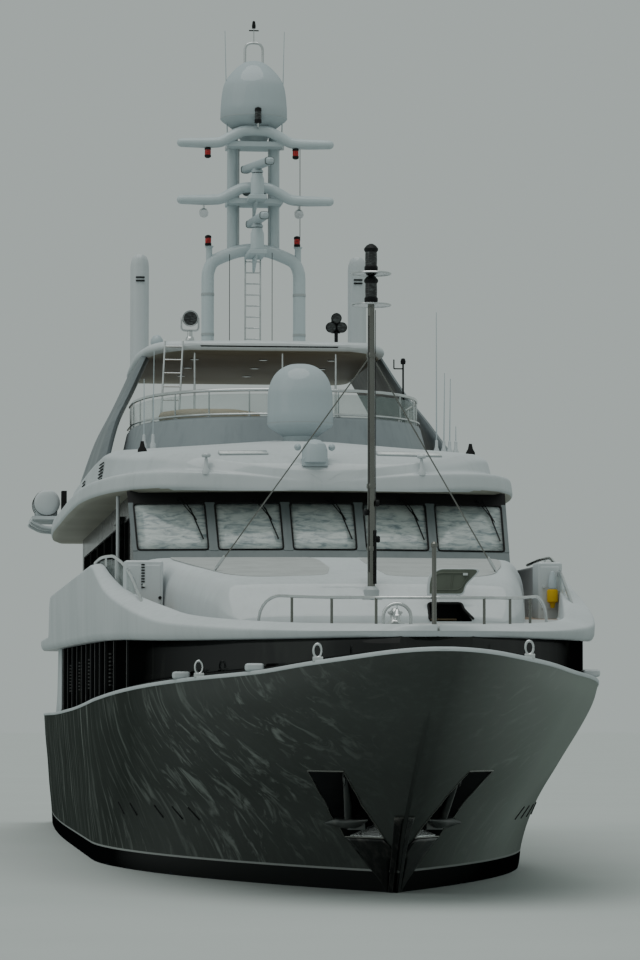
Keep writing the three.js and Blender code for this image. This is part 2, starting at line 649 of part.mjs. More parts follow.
function makeTrunk() {
  const rings = TRUNK.map(([y, half, top]) => {
    const floor = lookup(UPPER_FLOOR, y) - 0.05;
    const wall = Math.max(floor + 0.03, top - 0.18);
    return mirroredRing([[half, floor], [half, wall], [half - 0.06, Math.max(wall + 0.01, top - 0.06)],
      [half - 0.22, top], [1.2, top + 0.02]], y);
  });
  const { mouth, back, pinY, pinZ, pin, lug } = LOCKER;
  const depth = plate(mouth, back + 17.5);
  depth.applyMatrix4(new THREE.Matrix4().set(1, 0, 0, 0, 0, 0, -1, back, 0, 1, 0, 0, 0, 0, 0, 1));
  const lugs = lug.map((x) => box(x - 0.025, x + 0.025, pinY - 0.04, pinY + 0.3, pinZ - 0.04, pinZ + 0.04));
  const hinge = bar([lug[0] - 0.1, pinY, pinZ], [lug[1] + 0.1, pinY, pinZ], pin + RUNNING, SHAFT_SIDES);
  const whole = cut(standOn(union(loft(rings), ...lugs), "foredeck", "upper_deck"), solid(depth), hinge);
  piece("trunk_front", whole.intersect(box(-5, 5, -20, TRUNK_JOINT_Y - GAP / 2, 4, 7)), "white");
  piece("foredeck_trunk", whole.intersect(box(-5, 5, TRUNK_JOINT_Y + GAP / 2, 0, 4, 7)), "white");
}

makeTrunk();

function makeLockerLid() {
  const { lid, pinY, pinZ, pin, lug } = LOCKER;
  const sheet = plate(lid, 0.04);
  sheet.applyMatrix4(new THREE.Matrix4().set(1, 0, 0, 0, 0, 0, -1, pinY + 0.02, 0, 1, 0, pinZ, 0, 0, 0, 1));
  const axle = bar([lug[0] - 0.02, pinY, pinZ], [lug[1] + 0.02, pinY, pinZ], pin, SHAFT_SIDES);
  const straps = [1.0, 1.4].map((x) => box(x, x + 0.06, pinY - 0.02, pinY + 0.02, pinZ, pinZ + 0.1));
  piece("locker_lid", union(solid(sheet), axle, ...straps), "grey");
}

makeLockerLid();

// Rails of the foredeck: a top rail on stanchions round the bow
const RAIL_RADIUS = 0.025;

const RAIL_POSTS = [[1.85, -21.1], [1.36, -22.2], [0.81, -23.2]]; // x, y
const RAIL_LINE = [[2.28, -20.1, 4.2], [2.25, -20.17, 4.42], [2.14, -20.4, 4.6], [2.02, -20.7, 4.65],
  [1.85, -21.1, 4.63],
  [1.36, -22.2, 4.58], [0.81, -23.2, 4.55]];

function makeForedeckRail() {
  const mirror = (points) => points.map(([x, y, z]) => [-x, y, z]).reverse();
  const rail = tube([...RAIL_LINE, [0, -23.5, 4.54], ...mirror(RAIL_LINE)], RAIL_RADIUS, 26, 5);
  const posts = RAIL_POSTS.flatMap(([x, y]) => [x, -x].map((at) =>
    bar([at, y, lookup(UPPER_FLOOR, y) - 0.03], [at, y, lookup(RAIL_LINE.map((p) => [-p[1], p[2]]), -y)],
      0.022, 4),
  ));
  piece("foredeck_rail", largest(standOn(union(rail, ...posts), "foredeck", "foredeck_bulwark")), "chrome");
}

makeForedeckRail();

function makeBowFittings() {
  const foot = lookup(UPPER_FLOOR, -23.7) - 0.04;
  const staff = union(bar([0, -23.62, foot], [0, -23.62, 5.32], 0.035, 8),
    bar([0, -23.62, 5.3], [0, -23.62, 5.36], 0.05, 8));
  piece("jackstaff", largest(standOn(staff, "foredeck")), "chrome");
  const hoopY = -19.4;
  const base = lookup(UPPER_FLOOR, hoopY);
  const hoop = tube([[-0.22, hoopY, base - 0.03], [-0.22, hoopY, base + 0.2], [-0.16, hoopY, base + 0.33],
    [0, hoopY, base + 0.39],
    [0.16, hoopY, base + 0.33], [0.22, hoopY, base + 0.2], [0.22, hoopY, base - 0.03]], 0.025, 12);
  const plinth = box(-0.3, 0.3, hoopY - 0.08, hoopY + 0.45, base - 0.06, base + 0.03);
  const drum = turned([[0.16, base], [0.16, base + 0.05], [0.08, base + 0.1], [0.07, base + 0.16],
    [0.12, base + 0.24], [0.04, base + 0.3]], 0, hoopY + 0.25, 12);
  piece("bow_hoop", largest(standOn(union(hoop, plinth, drum), "foredeck")), "chrome");
}

makeBowFittings();

// Foremast on the trunk with its two stays
const FOREMAST_Y = -16.1;
const STAY_FOOT = [2.46, -13.9]; // x, y

function makeForemast() {
  const foot = trunkHeight(FOREMAST_Y) - 0.14;
  const socket = turned([[0.09, foot - 0.1], [0.09, foot + 0.12], [0.075, foot + 0.16]], 0, FOREMAST_Y, 12);
  const pole = bar([0, FOREMAST_Y, foot], [0, FOREMAST_Y, 9.75], 0.064, 10, 0.056);
  const lamps = turned([[0.05, 9.65], [0.34, 9.67], [0.34, 9.71], [0.11, 9.73], [0.11, 10.1], [0.06, 10.12],
    [0.06, 10.2],
    [0.28, 10.21], [0.28, 10.25], [0.12, 10.27], [0.12, 10.6], [0.13, 10.7], [0.05, 10.76]],
  0, FOREMAST_Y, 12);
  const stays = [1, -1].map((side) => {
    const [x, y] = STAY_FOOT;
    return bar([side * x, y, trunkHeight(y) - 0.12], [0, FOREMAST_Y, 8.85], 0.012, 5);
  });
  piece("foremast", largest(standOn(union(socket, pole, lamps, ...stays), "trunk_front", "foredeck_trunk")),
    "chrome");
}

makeForemast();

// Roof of the bridge deck: the brow over the windscreen and the sun deck behind it
const ROOF = [ // y, brow half, brow low, ledge height, tier half, tier top, crown
  [-9.05, 0.9, 6.98, 7.2, 0.6, 7.3, 7.33],
  [-8.95, 1.9, 6.98, 7.3, 1.5, 7.45, 7.48],
  [-8.6, 2.9, 7.0, 7.36, 2.5, 7.62, 7.66],
  [-7.9, 3.5, 7.0, 7.38, 3.05, 7.76, 7.8],
  [-6.5, 3.95, 7.0, 7.38, 3.5, 7.86, 8.02],
  [-4.6, 4.2, 7.0, 7.38, 3.75, 8.0, 8.24],
  [-2.4, 4.32, 7.0, 7.38, 3.85, 8.15, 8.36],
  [2.0, 4.36, 7.0, 7.38, 3.9, 8.15, 8.2],
  [8.0, 4.36, 7.0, 7.38, 3.9, 8.15, 8.2],
  [12.6, 4.2, 7.0, 7.38, 3.75, 8.1, 8.15],
  [14.4, 3.9, 7.05, 7.4, 3.5, 7.98, 8.05],
  [15.0, 3.4, 7.15, 7.45, 3.1, 7.8, 7.85],
];
const SUN_DECK_Z = 7.95;

function makeRoof() {
  const rings = ROOF.map(([y, brow, low, ledge, tier, top, crown]) =>
    mirroredRing([[brow - 0.1, low], [brow, low + 0.08], [brow - 0.1, ledge], [tier + 0.04, ledge + 0.02],
      [tier - 0.1, top - 0.12],
      [tier - 0.3, top], [tier * 0.5, (top + crown) / 2], [0.3, crown]], y),
  );
  const cockpit = deckPlate([[-2.9, -1.9], [-1.6, -2.7], [1.6, -2.7], [2.9, -1.9], [3.2, 0], [3.2, 13.6],
    [-3.2, 13.6], [-3.2, 0]], SUN_DECK_Z, 9);
  piece("sun_deck", loft(rings).subtract(cockpit), "white");
}

makeRoof();

// Roof height on the centreline side of the tier
function roofHeight(y) {
  return lookup(ROOF.map((row) => [row[0], row[6]]), y);
}

// Windscreen of five raked panes, its frame in grey
const SCREEN = [ // half-width, y at the sill, y at the head
  [3.53, -8.7, -7.75], [2.05, -9.05, -8.1], [0.68, -9.28, -8.33],
];
const SCREEN_SILL = 5.76;
const SCREEN_HEAD = 7.0;
const PANE_LOW = 5.88;
const PANE_HIGH = 6.78;

// Plan of the windscreen at a height, moved in from its outer face
function screenPlan(z, inset) {
  const share = (z - SCREEN_SILL) / (SCREEN_HEAD - SCREEN_SILL);
  const half = SCREEN.map(([x, low, high]) => [x + 0.06 * share - inset * 0.35,
    low + (high - low) * share + inset]);
  return [...half, ...half.map(([x, y]) => [-x, y]).reverse()];
}

// A band that follows the windscreen between two heights, from its outer face to depth behind it
function screenBand(z0, z1, outer, inner) {
  const ring = (z) => [
    ...screenPlan(z, outer).map(([x, y]) => [x, y, z]),
    ...screenPlan(z, inner).reverse().map(([x, y]) => [x, y, z]),
  ];
  return loft([ring(z0), ring(z1)]);
}

function makeWindscreen() {
  const band = screenBand(SCREEN_SILL - 0.15, SCREEN_HEAD + 0.1, 0, 0.2);
  const low = screenPlan(PANE_LOW, 0);
  const high = screenPlan(PANE_HIGH, 0);
  const bars = 0.09;
  const panes = low.slice(0, -1).map((_, k) => {
    const corner = (plan, i, shift) => {
      const [x0, y0] = plan[k];
      const [x1, y1] = plan[k + 1];
      const share = i === 0 ? bars / Math.hypot(x1 - x0, y1 - y0) : 1 - bars / Math.hypot(x1 - x0, y1 - y0);
      return [x0 + (x1 - x0) * share, y0 + (y1 - y0) * share + shift];
    };
    const ring = (shift) => [
      [...corner(low, 0, shift), PANE_LOW], [...corner(low, 1, shift), PANE_LOW],
      [...corner(high, 1, shift), PANE_HIGH], [...corner(high, 0, shift), PANE_HIGH],
    ];
    return loft([ring(-0.6), ring(0.6)]);
  });
  const frame = hangFrom(standOn(cut(band, ...panes), "foredeck_trunk"), "sun_deck");
  piece("windscreen_frame", largest(frame), "grey");
  piece("windscreen_glass", screenBand(PANE_LOW - 0.04, PANE_HIGH + 0.04, 0.2 + GAP, 0.24), "glass");
}

makeWindscreen();

// Bridge-deck house: walls with their windows and door openings cut
const HOUSE = { half: 3.5, front: -8.72, back: 11.6, wall: 0.12, low: UPPER_FLOOR_Z - 0.05, high: 7.1 };
const HOUSE_DOOR = { front: -5.2, back: -4.3, low: UPPER_FLOOR_Z + 0.12, high: 6.56 };
const LOUNGE_TOP = 6.79;
const SIDE_WINDOWS = [[-7.0, -5.55], [-3.9, -1.3], [-1.0, 1.6], [1.9, 4.5], [4.8, 7.4],
  [7.7, 10.6]]; // front and back y

function makeBridgeHouse() {
  const { half, front, back, wall, low, high } = HOUSE;
  const outer = [[half, front], [half, back], [-half, back], [-half, front]];
  const inner = [[-half + wall, front], [-half + wall, back - wall], [half - wall, back - wall],
    [half - wall, front]];
  const walls = deckPlate([...outer, ...inner], low, high);
  const rake = sidePlate([[front - 1, 4], [front - 1, high + 1], [-7.1, high + 1], [-7.3, high],
    [-8.41, PANE_LOW - 0.2], [-8.41, 4]], -4, 4);
  const windows = SIDE_WINDOWS.flatMap(([y0, y1]) => boxPair(half - 0.5, half + 0.5, y0, y1, 5.55, 6.55));
  const doors = boxPair(half - 0.5, half + 0.5, HOUSE_DOOR.front, HOUSE_DOOR.back, HOUSE_DOOR.low,
    HOUSE_DOOR.high);
  const aftDoor = box(-1.1, 1.1, back - 0.5, back + 0.5, HOUSE_DOOR.low, 6.75);
  const tracks = [1, -1].map((side) => {
    const x0 = side > 0 ? half - 0.01 : -half - 0.09;
    return box(x0, x0 + 0.1, HOUSE_DOOR.front - 0.1, HOUSE_DOOR.back + 1.0, HOUSE_DOOR.high + 0.04 + GAP,
      HOUSE_DOOR.high + 0.12);
  });
  const innerTrack = box(-1.2, 3.1, back - wall - 0.08, back - wall + 0.01, LOUNGE_TOP + GAP,
    LOUNGE_TOP + 0.08);
  const shell = cut(walls, rake, ...windows, ...doors, aftDoor);
  const seated = hangFrom(standOn(union(shell, ...tracks, innerTrack), "upper_deck", "foredeck_trunk"),
    "sun_deck");
  const fitted = fit(fit(seated, ["windscreen_frame"], 0, 1, 0), ["windscreen_frame"], 0, 0, 1);
  piece("bridge_house", largest(fit(fitted, ["windscreen_frame"], 0, 0, -1)), "white");
  for (const [word, side] of [["port", 1], ["stbd", -1]]) {
    const x0 = side > 0 ? half - wall - 0.04 - GAP : -(half - wall) + GAP;
    const sheet = box(x0, x0 + 0.04, -7.1, 10.8, 5.45, 6.75);
    const gapAtDoor = box(x0 - 1, x0 + 1, HOUSE_DOOR.front - 0.02, HOUSE_DOOR.back + 0.02, 5,
      HOUSE_DOOR.high + 0.02);
    piece(`side_glass_${word}`, cut(sheet, gapAtDoor), "dark");
    const d0 = side > 0 ? half + CLEAR : -half - CLEAR - 0.05;
    const leaf = box(d0, d0 + 0.05, HOUSE_DOOR.front - 0.04, HOUSE_DOOR.back + 0.04, HOUSE_DOOR.low - 0.04,
      HOUSE_DOOR.high + 0.04);
    piece(`bridge_door_${word}`, leaf, "white");
  }
  const inside = back - wall - CLEAR;
  piece("lounge_door", box(-1.14, 1.14, inside - 0.05, inside, HOUSE_DOOR.low - 0.04, LOUNGE_TOP), "dark");
}

makeBridgeHouse();

// Dark coaming round the front of the sun deck, its glass screen and rail
const COAMING = [ // half-width, y
  [3.05, 1.6], [3.05, 0.4], [2.9, -0.9], [2.4, -2.1], [1.6, -2.85], [0.6, -3.15],
];
const COAMING_LOW = 8.21;
const COAMING_TOP = 8.84;
const RAIL_TOP = 9.4;

function coamingPlan(inset) {
  const half = COAMING.map(([x, y]) => [x - inset * Math.min(1, x / 2), y + (y < 3 ? inset : 0)]);
  return [...half, ...half.map(([x, y]) => [-x, y]).reverse()];
}

function coamingBand(z0, z1, outer, inner, lean = 0) {
  const ring = (z, shift) => [
    ...coamingPlan(outer + shift).map(([x, y]) => [x, y, z]),
    ...coamingPlan(inner + shift).reverse().map(([x, y]) => [x, y, z]),
  ];
  return loft([ring(z0, 0), ring(z1, lean)]);
}

function makeSunDeckScreen() {
  piece("sun_deck_coaming", largest(standOn(coamingBand(COAMING_LOW - 0.15, COAMING_TOP, -0.14, 0.06, 0.16),
    "sun_deck")), "grey");
  piece("sun_deck_glass", coamingBand(COAMING_TOP + GAP, RAIL_TOP - 0.1, 0.06, 0.09), "glass");
  const path = coamingPlan(0.115).map(([x, y]) => [x, y, RAIL_TOP - 0.02]);
  const rail = tube(path, 0.035, 14, 5);
  const feet = [[3.05, 1.4], [3.05, 0.4], [2.9, -0.9], [1.6, -2.85]];
  const posts = feet.flatMap(([x, y]) => [1, -1].map((side) =>
    bar([side * (x - 0.16), y + 0.15, COAMING_TOP - 0.03], [side * (x - 0.12), y + 0.12, RAIL_TOP - 0.01],
      0.02),
  ));
  piece("sun_deck_rail", largest(standOn(union(rail, ...posts), "sun_deck_coaming")), "chrome");
}

makeSunDeckScreen();

// Hardtop on two raked wings that rise from the sun deck's sides
const LIGHT_FOOT_Z = 10.96;
const HARDTOP = { half: 2.72, front: 1.6, back: 9.6, low: 10.56, high: 10.84 };

function makeHardtop() {
  const rows = [ // y, half-width, low, high
    [HARDTOP.front, 1.9, 10.62, 10.78], [1.8, 2.35, 10.58, 10.83], [2.6, 2.62, HARDTOP.low, HARDTOP.high],
    [5, 2.72, HARDTOP.low, 10.88], [8.6, 2.66, HARDTOP.low, HARDTOP.high], [HARDTOP.back, 2.3, 10.6, 10.78],
  ];
  const rings = rows.map(([y, half, low, high]) =>
    mirroredRing([[half - 0.12, low], [half, low + 0.08], [half - 0.05, high - 0.06], [half - 0.2, high],
      [0.4, high + 0.03]], y),
  );
  const wings = [1, -1].map((side) => {
    const rows2 = [ // height, front y, back y, half-width outside
      [7.95, -1.3, 8.7, 3.8], [9.0, 0.9, 8.0, 3.45], [9.8, 2.1, 7.8, 3.05], [10.7, 3.0, 8.3, 2.62],
    ];
    return loft(rows2.map(([z, front, back, out]) => [
      [side * out, front, z], [side * out, back, z], [side * (out - 0.22), back, z],
        [side * (out - 0.22), front + 0.1, z],
    ]));
  });
  const stacks = [1, -1].map((side) => {
    const tower = bar([side * 2.48, 6.5, 10.6], [side * 2.48, 6.5, 13.6], 0.21, 12);
    return cut(tower, sidePlate([[5.5, 13.45], [7.5, 12.97], [7.5, 14], [5.5, 14]], -4, 4));
  });
  const plinth = bar([-1.6, 3, 10.7], [-1.6, 3, LIGHT_FOOT_Z - GAP], 0.12, 16);
  const whole = fit(standOn(union(loft(rings), ...wings, ...stacks, plinth), "sun_deck"),
    ["sun_deck_coaming", "sun_deck_rail"], 0, 0, 0);
  piece("hardtop", largest(whole), "white");
}

makeHardtop();

// Ladder from sun deck to hardtop, and the one up the mast
function ladder(foot, head, half, rungs, radius) {
  const sides = [1, -1].map((s) => bar([foot[0] + s * half, foot[1], foot[2]],
    [head[0] + s * half, head[1], head[2]], radius, 5));
  const steps = Array.from({ length: rungs }, (_, k) => {
    const share = (k + 0.6) / rungs;
    const at = (i) => foot[i] + (head[i] - foot[i]) * share;
    return bar([at(0) - half, at(1), at(2)], [at(0) + half, at(1), at(2)], radius * 0.8, 4);
  });
  return union(...sides, ...steps);
}

const deckLadder = ladder([-2.2, 1.5, SUN_DECK_Z - 0.05], [-2.05, 1.68, 10.8], 0.19, 10, 0.022);
piece("hardtop_ladder", largest(fit(standOn(deckLadder, "sun_deck"), ["hardtop"], 0, -1, 0)), "chrome");

// Mast: arch, legs, two spreaders and their plates
const MAST_Y = 5.3;
const DOME_SEAT_Z = 15.98;
const SPREADER_Y = MAST_Y - 0.45;
const SPREADERS = [14.3, 15.58]; // heights of the tips

function spreader(level) {
  const rise = 0.3;
  const line = [
    [1.66, 0], [1.2, 0], [0.85, 0.05], [0.5, 0.6], [0.25, 0.95], [0, 1],
    [-0.25, 0.95], [-0.5, 0.6], [-0.85, 0.05], [-1.2, 0], [-1.66, 0],
  ];
  const wing = tube(line.map(([x, share]) => [x, SPREADER_Y, level + rise * share]), 0.12, 16, 6);
  return wing.add(box(-0.62, 0.62, SPREADER_Y, MAST_Y + 0.35, level - 0.06, level + 0.06));
}

const RADARS = [ // name, height of the turning bar, bearing at rest, half-length
  { name: "radar_lower", z: 13.64, bearing: 96, half: 0.9 },
  { name: "radar_upper", z: 14.86, bearing: 106, half: 0.85 },
];
const RADAR_Y = MAST_Y - 0.9;

function makeMast() {
  const legs = [1, -1].map((side) => bar([side * 1.03, MAST_Y, 10.7], [side * 1.03, MAST_Y, 12.6], 0.14, 10));
  const arch = tube([
    [1.03, MAST_Y, 12.3], [1.03, MAST_Y, 12.65], [0.93, MAST_Y, 12.95], [0.66, MAST_Y, 13.1],
      [0.3, MAST_Y, 13.22],
    [0, MAST_Y, 13.26], [-0.3, MAST_Y, 13.22], [-0.66, MAST_Y, 13.1], [-0.93, MAST_Y, 12.95],
      [-1.03, MAST_Y, 12.65],
    [-1.03, MAST_Y, 12.3],
  ], 0.14, 14, 8);
  const uppers = [1, -1].map((side) => bar([side * 0.47, MAST_Y + 0.1, 13.1],
    [side * 0.47, MAST_Y + 0.1, 15.9], 0.122, 10));
  const lampPosts = [1, -1].map((x) => bar([x, MAST_Y, 12.8], [x, MAST_Y, 13.3], 0.07, 8));
  const pedestals = RADARS.map(({ z }) => {
    const shelf = box(-0.2, 0.2, RADAR_Y - 0.18, MAST_Y, z - 0.6, z - 0.5);
    return shelf.add(bar([0, RADAR_Y, z - 0.56], [0, RADAR_Y, z - GAP], 0.16, 12, 0.12));
  });
  const dome = bar([0, MAST_Y, 15.7], [0, MAST_Y, DOME_SEAT_Z], 0.3, 12, 0.5);
  const whole = union(...legs, arch, ...uppers, ...lampPosts, ...SPREADERS.map(spreader), ...pedestals, dome);
  const aboveSeat = box(-1, 1, MAST_Y - 1, MAST_Y + 1, DOME_SEAT_Z, DOME_SEAT_Z + 1);
  piece("mast", cut(standOn(whole, "hardtop"), aboveSeat), "white");
  for (const { name, z, bearing, half } of RADARS) {
    const hub = bar([0, 0, 0], [0, 0, 0.14], 0.13, 12);
    const scanner = box(-half, half, -0.11, 0.11, 0.08, 0.26);
    piece(name, hub.add(scanner).rotate([0, 0, bearing]).translate([0, RADAR_Y, z]), "white");
  }
}

makeMast();

function makeDomes() {
  const rows = [
    [0.5, DOME_SEAT_Z + GAP], [0.72, 16.16], [0.75, 16.2], [0.745, 16.45], [0.72, 16.72], [0.68, 16.94],
    [0.6, 17.11], [0.5, 17.24], [0.28, 17.42], [0.08, 17.52],
  ];
  piece("main_dome", turned(rows, 0, MAST_Y, 20), "white");
  const hoopLine = [[0.2, 17.38], [0.2, 17.8], [0.14, 17.91], [0, 17.95]];
  const hoop = tube([
    ...hoopLine.map(([x, z]) => [-x, MAST_Y, z]),
    ...hoopLine.slice(0, -1).reverse().map(([x, z]) => [x, MAST_Y, z]),
  ], 0.03, 12);
  const vane = bar([0, MAST_Y, 17.95], [0, MAST_Y, 18.45], 0.02);
  const dome = turned(rows.map(([radius, z]) => [radius + GAP, z + GAP]), 0, MAST_Y, 20);
  piece("dome_hoop", cut(union(hoop, vane), dome), "chrome");
  const y = -4.7;
  const foot = roofHeight(y) - 0.03;
  const front = turned([
    [0.4, foot], [0.4, foot + 0.1], [0.62, 8.5], [0.65, 8.55], [0.645, 8.75], [0.63, 9.16], [0.57, 9.4],
    [0.42, 9.57], [0.25, 9.68], [0.06, 9.75],
  ], 0, y, 20);
  piece("front_dome", standOn(front, "sun_deck"), "white");
}

makeDomes();

const mastLadder = ladder([0, MAST_Y + 0.18, 10.75], [0, MAST_Y + 0.02, 13.2], 0.17, 9, 0.022);
piece("mast_ladder", largest(fit(standOn(mastLadder, "hardtop"), ["mast"], 0, 1, 0)), "chrome");

// Searchlight and lamp cluster on the hardtop
function makeLights() {
  const top = LIGHT_FOOT_Z;
  const x = -1.6;
  const y = 3;
  const post = bar([x, y, top], [x, y, top + 0.22], 0.09, 12, 0.06);
  const yoke = box(x - 0.2, x + 0.2, y - 0.05, y + 0.05, top + 0.2, top + 0.26);
  const arms = [x - 0.2, x + 0.17].map((x0) => box(x0, x0 + 0.03, y - 0.05, y + 0.05, top + 0.22, top + 0.5));
  const lamp = bar([x, y - 0.17, top + 0.47], [x, y + 0.17, top + 0.47], 0.175, 16, 0.13);
  const axle = bar([x - 0.19, y, top + 0.47], [x + 0.19, y, top + 0.47], 0.03, 8);
  piece("searchlight", union(post, yoke, ...arms, axle, lamp), "chrome");
  const cx = 1.6;
  const stand = bar([cx, y, 10.8], [cx, y, top + 0.3], 0.04, 8);
  const lamps = [[-0.12, 0.32], [0.12, 0.32], [0, 0.52]].map(([dx, dz]) =>
    bar([cx + dx, y - 0.09, top + dz], [cx + dx, y + 0.09, top + dz], 0.115, 12),
  );
  const back = box(cx - 0.1, cx + 0.1, y, y + 0.12, top + 0.2, top + 0.5);
  piece("lamp_cluster", largest(standOn(union(stand, ...lamps, back), "hardtop")), "black");
}

makeLights();

// Liferafts on shelves outboard of the sun deck
const RAFT = { x: 4.4, z: 7.84, radius: 0.31 };

function makeRafts() {
  for (const [word, side] of [["port", 1], ["stbd", -1]]) {
    const inner = side > 0 ? 4.05 : -4.8;
    const shelf = box(inner, inner + 0.75, 10, 12.4, 7.3, 7.54);
    const x = side * RAFT.x;
    const canister = bar([x, 10.3, RAFT.z], [x, 12.1, RAFT.z], RAFT.radius, 12);
    const feet = [10.6, 11.7].map((y) => box(x - 0.16, x + 0.16, y, y + 0.1, 7.5, 7.7));
    piece(`raft_shelf_${word}`, largest(fit(standOn(union(shelf, canister, ...feet), "sun_deck"),
      ["sun_deck"], side, 0, 0)), "white");
  }
}

makeRafts();

// Stairs between the aft decks, rails and the ensign staff
function stairs(x0, x1, foot, head, treads) {
  const [y0, z0] = foot;
  const [y1, z1] = head;
  const sides = [x0, x1 - 0.05].map((x) =>
    sidePlate([[y0, z0], [y0 - 0.3, z0], [y1 - 0.3, z1], [y1, z1]], x, x + 0.05),
  );
  const steps = Array.from({ length: treads }, (_, k) => {
    const share = (k + 0.8) / (treads + 0.6);
    const y = y0 + (y1 - y0) * share;
    const z = z0 + (z1 - z0) * share;
    return box(x0, x1, y - 0.28, y - 0.02, z - 0.04, z);
  });
  return union(...sides, ...steps);
}

function makeAftDecks() {
  const mainStairs = stairs(1.6, 2.3, [20.0, MAIN_DECK_Z - 0.05], [17.75, 4.62], 9);
  piece("main_deck_stairs", largest(fit(standOn(mainStairs, "hull"), ["upper_deck"], 0, 1, 0)), "white");
  const upperStairs = stairs(-2.6, -1.9, [16.9, UPPER_FLOOR_Z - 0.05], [15.1, 7.7], 11);
  piece("upper_deck_stairs",
    largest(fit(standOn(upperStairs, "upper_deck"), ["sun_deck"], 0, 1, 0)), "white");
  const railing = (points, z0, z1) => {
    const top = tube(points.map(([x, y]) => [x, y, z1]), 0.028, 14, 4);
    const middle = tube(points.map(([x, y]) => [x, y, (z0 + z1) / 2]), 0.016, 14, 3);
    const posts = points.map(([x, y]) => bar([x, y, z0], [x, y, z1], 0.024, 4));
    return union(top, middle, ...posts);
  };
  const aft = [[3.75, 11.6], [3.75, 14], [3.6, 15.8], [3.0, 17.1], [1.6, 17.35], [0, 17.4], [-1.6, 17.35],
    [-3.0, 17.1], [-3.6, 15.8], [-3.75, 14], [-3.75, 11.6]];
  const upperRail = railing(aft, UPPER_FLOOR_Z - 0.02, 5.62);
  piece("upper_deck_rail", largest(standOn(upperRail, "upper_deck")), "chrome");
  const sun = [[3.5, 9.2], [3.5, 11], [3.45, 12.6], [3.0, 14.1], [1.5, 14.5], [0, 14.55], [-1.5, 14.5]];
  piece("sun_deck_aft_rail", largest(standOn(railing(sun, 7.9, 9.1), "sun_deck")), "chrome");
  piece("ensign_staff", standOn(bar([0, 21.76, 2.8], [0, 22.9, 5.4], 0.04, 8, 0.025), "hull"), "teak");
}

makeAftDecks();

yacht.scale.setScalar(MM);
export default yacht;
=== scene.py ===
"""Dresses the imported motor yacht: smooth hull and decks, glazing, mast, rails, fittings and finishes.

Sizes are those of the full-size yacht in metres, and SCALE brings them to the model. Port is +X, the bow
points along -Y, up is +Z, and the origin is amidships on the centreline at the waterline.
"""
import math

import bmesh
import bpy
import numpy as np
from mathutils import Matrix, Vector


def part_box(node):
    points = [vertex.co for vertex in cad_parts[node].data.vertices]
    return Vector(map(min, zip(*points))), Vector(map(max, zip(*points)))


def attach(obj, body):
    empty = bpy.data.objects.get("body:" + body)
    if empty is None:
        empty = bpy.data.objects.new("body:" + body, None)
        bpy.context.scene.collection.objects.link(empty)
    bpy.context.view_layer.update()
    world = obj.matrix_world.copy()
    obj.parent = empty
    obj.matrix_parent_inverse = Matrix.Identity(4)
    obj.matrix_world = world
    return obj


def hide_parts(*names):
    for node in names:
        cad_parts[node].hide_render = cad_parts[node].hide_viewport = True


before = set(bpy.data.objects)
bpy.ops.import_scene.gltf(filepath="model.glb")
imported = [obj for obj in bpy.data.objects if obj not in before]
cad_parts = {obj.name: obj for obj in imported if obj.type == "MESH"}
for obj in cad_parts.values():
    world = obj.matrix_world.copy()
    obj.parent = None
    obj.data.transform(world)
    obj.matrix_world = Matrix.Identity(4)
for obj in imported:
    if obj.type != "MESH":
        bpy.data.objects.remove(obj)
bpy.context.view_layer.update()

bl_info = {
    "name": "Motor yacht dresser",
    "version": (1, 0, 0),
    "blender": (4, 5, 0),
    "location": "3D View > Sidebar > Yacht",
    "description": "Builds the finished surfaces and fittings of a motor yacht over its packed solids",
    "category": "Object",
}

SCALE = 0.5
MIRROR = np.array([-1.0, 1.0, 1.0])
WELD = 1e-5


# Curves and surfaces

def smooth(table, at):
    """Monotone cubic through the rows of (key, value): on each span the Hermite cubic whose end slopes are
    the harmonic means of the neighbouring chords, or zero where these change sign."""
    keys, values = np.array(table, float).T
    step = np.diff(keys)
    chord = np.diff(values) / step
    slope = np.zeros_like(values)
    product = chord[:-1] * chord[1:]
    total = np.where(np.abs(chord[:-1] + chord[1:]) < 1e-12, 1.0, chord[:-1] + chord[1:])
    slope[1:-1] = np.where(product > 0, 2 * product / total, 0)
    slope[0], slope[-1] = chord[0], chord[-1]
    at = np.clip(np.asarray(at, float), keys[0], keys[-1])
    k = np.clip(np.searchsorted(keys, at) - 1, 0, len(step) - 1)
    t = (at - keys[k]) / step[k]
    return ((1 + 2 * t) * (1 - t) ** 2 * values[k] + t * (1 - t) ** 2 * step[k] * slope[k]
            + t * t * (3 - 2 * t) * values[k + 1] + t * t * (t - 1) * step[k] * slope[k + 1])


def flow(rows, count):
    """Rows of numbers as a smooth run of count rows: each column is a monotone cubic of the distance
    travelled through all the columns."""
    rows = np.array(rows, float)
    travel = np.concatenate([[0], np.cumsum(np.linalg.norm(np.diff(rows, axis=0), axis=1))])
    at = np.linspace(0, travel[-1], count)
    return np.stack([smooth(np.stack([travel, column], 1), at) for column in rows.T], 1)


def fillet(points, size, steps=4):
    """Rounds the inner corners of polylines (..., n, d): each corner C becomes the quadratic arc
    (1-t)^2 A + 2t(1-t) C + t^2 B, with A and B on its two sides at distance size or 45% of the side."""
    points = np.asarray(points, float)
    t = np.linspace(0, 1, steps + 1)[:, None]
    out = [points[..., :1, :]]
    for k in range(1, points.shape[-2] - 1):
        before, corner, after = (points[..., k + d, :] for d in (-1, 0, 1))
        ends = []
        for other in (before, after):
            side = np.linalg.norm(other - corner, axis=-1, keepdims=True)
            ends.append(corner + (other - corner) * np.minimum(0.45, size / np.maximum(side, 1e-9)))
        a, c, b = (p[..., None, :] for p in (ends[0], corner, ends[1]))
        out.append((1 - t) ** 2 * a + 2 * t * (1 - t) * c + t * t * b)
    return np.concatenate(out + [points[..., -1:, :]], axis=-2)


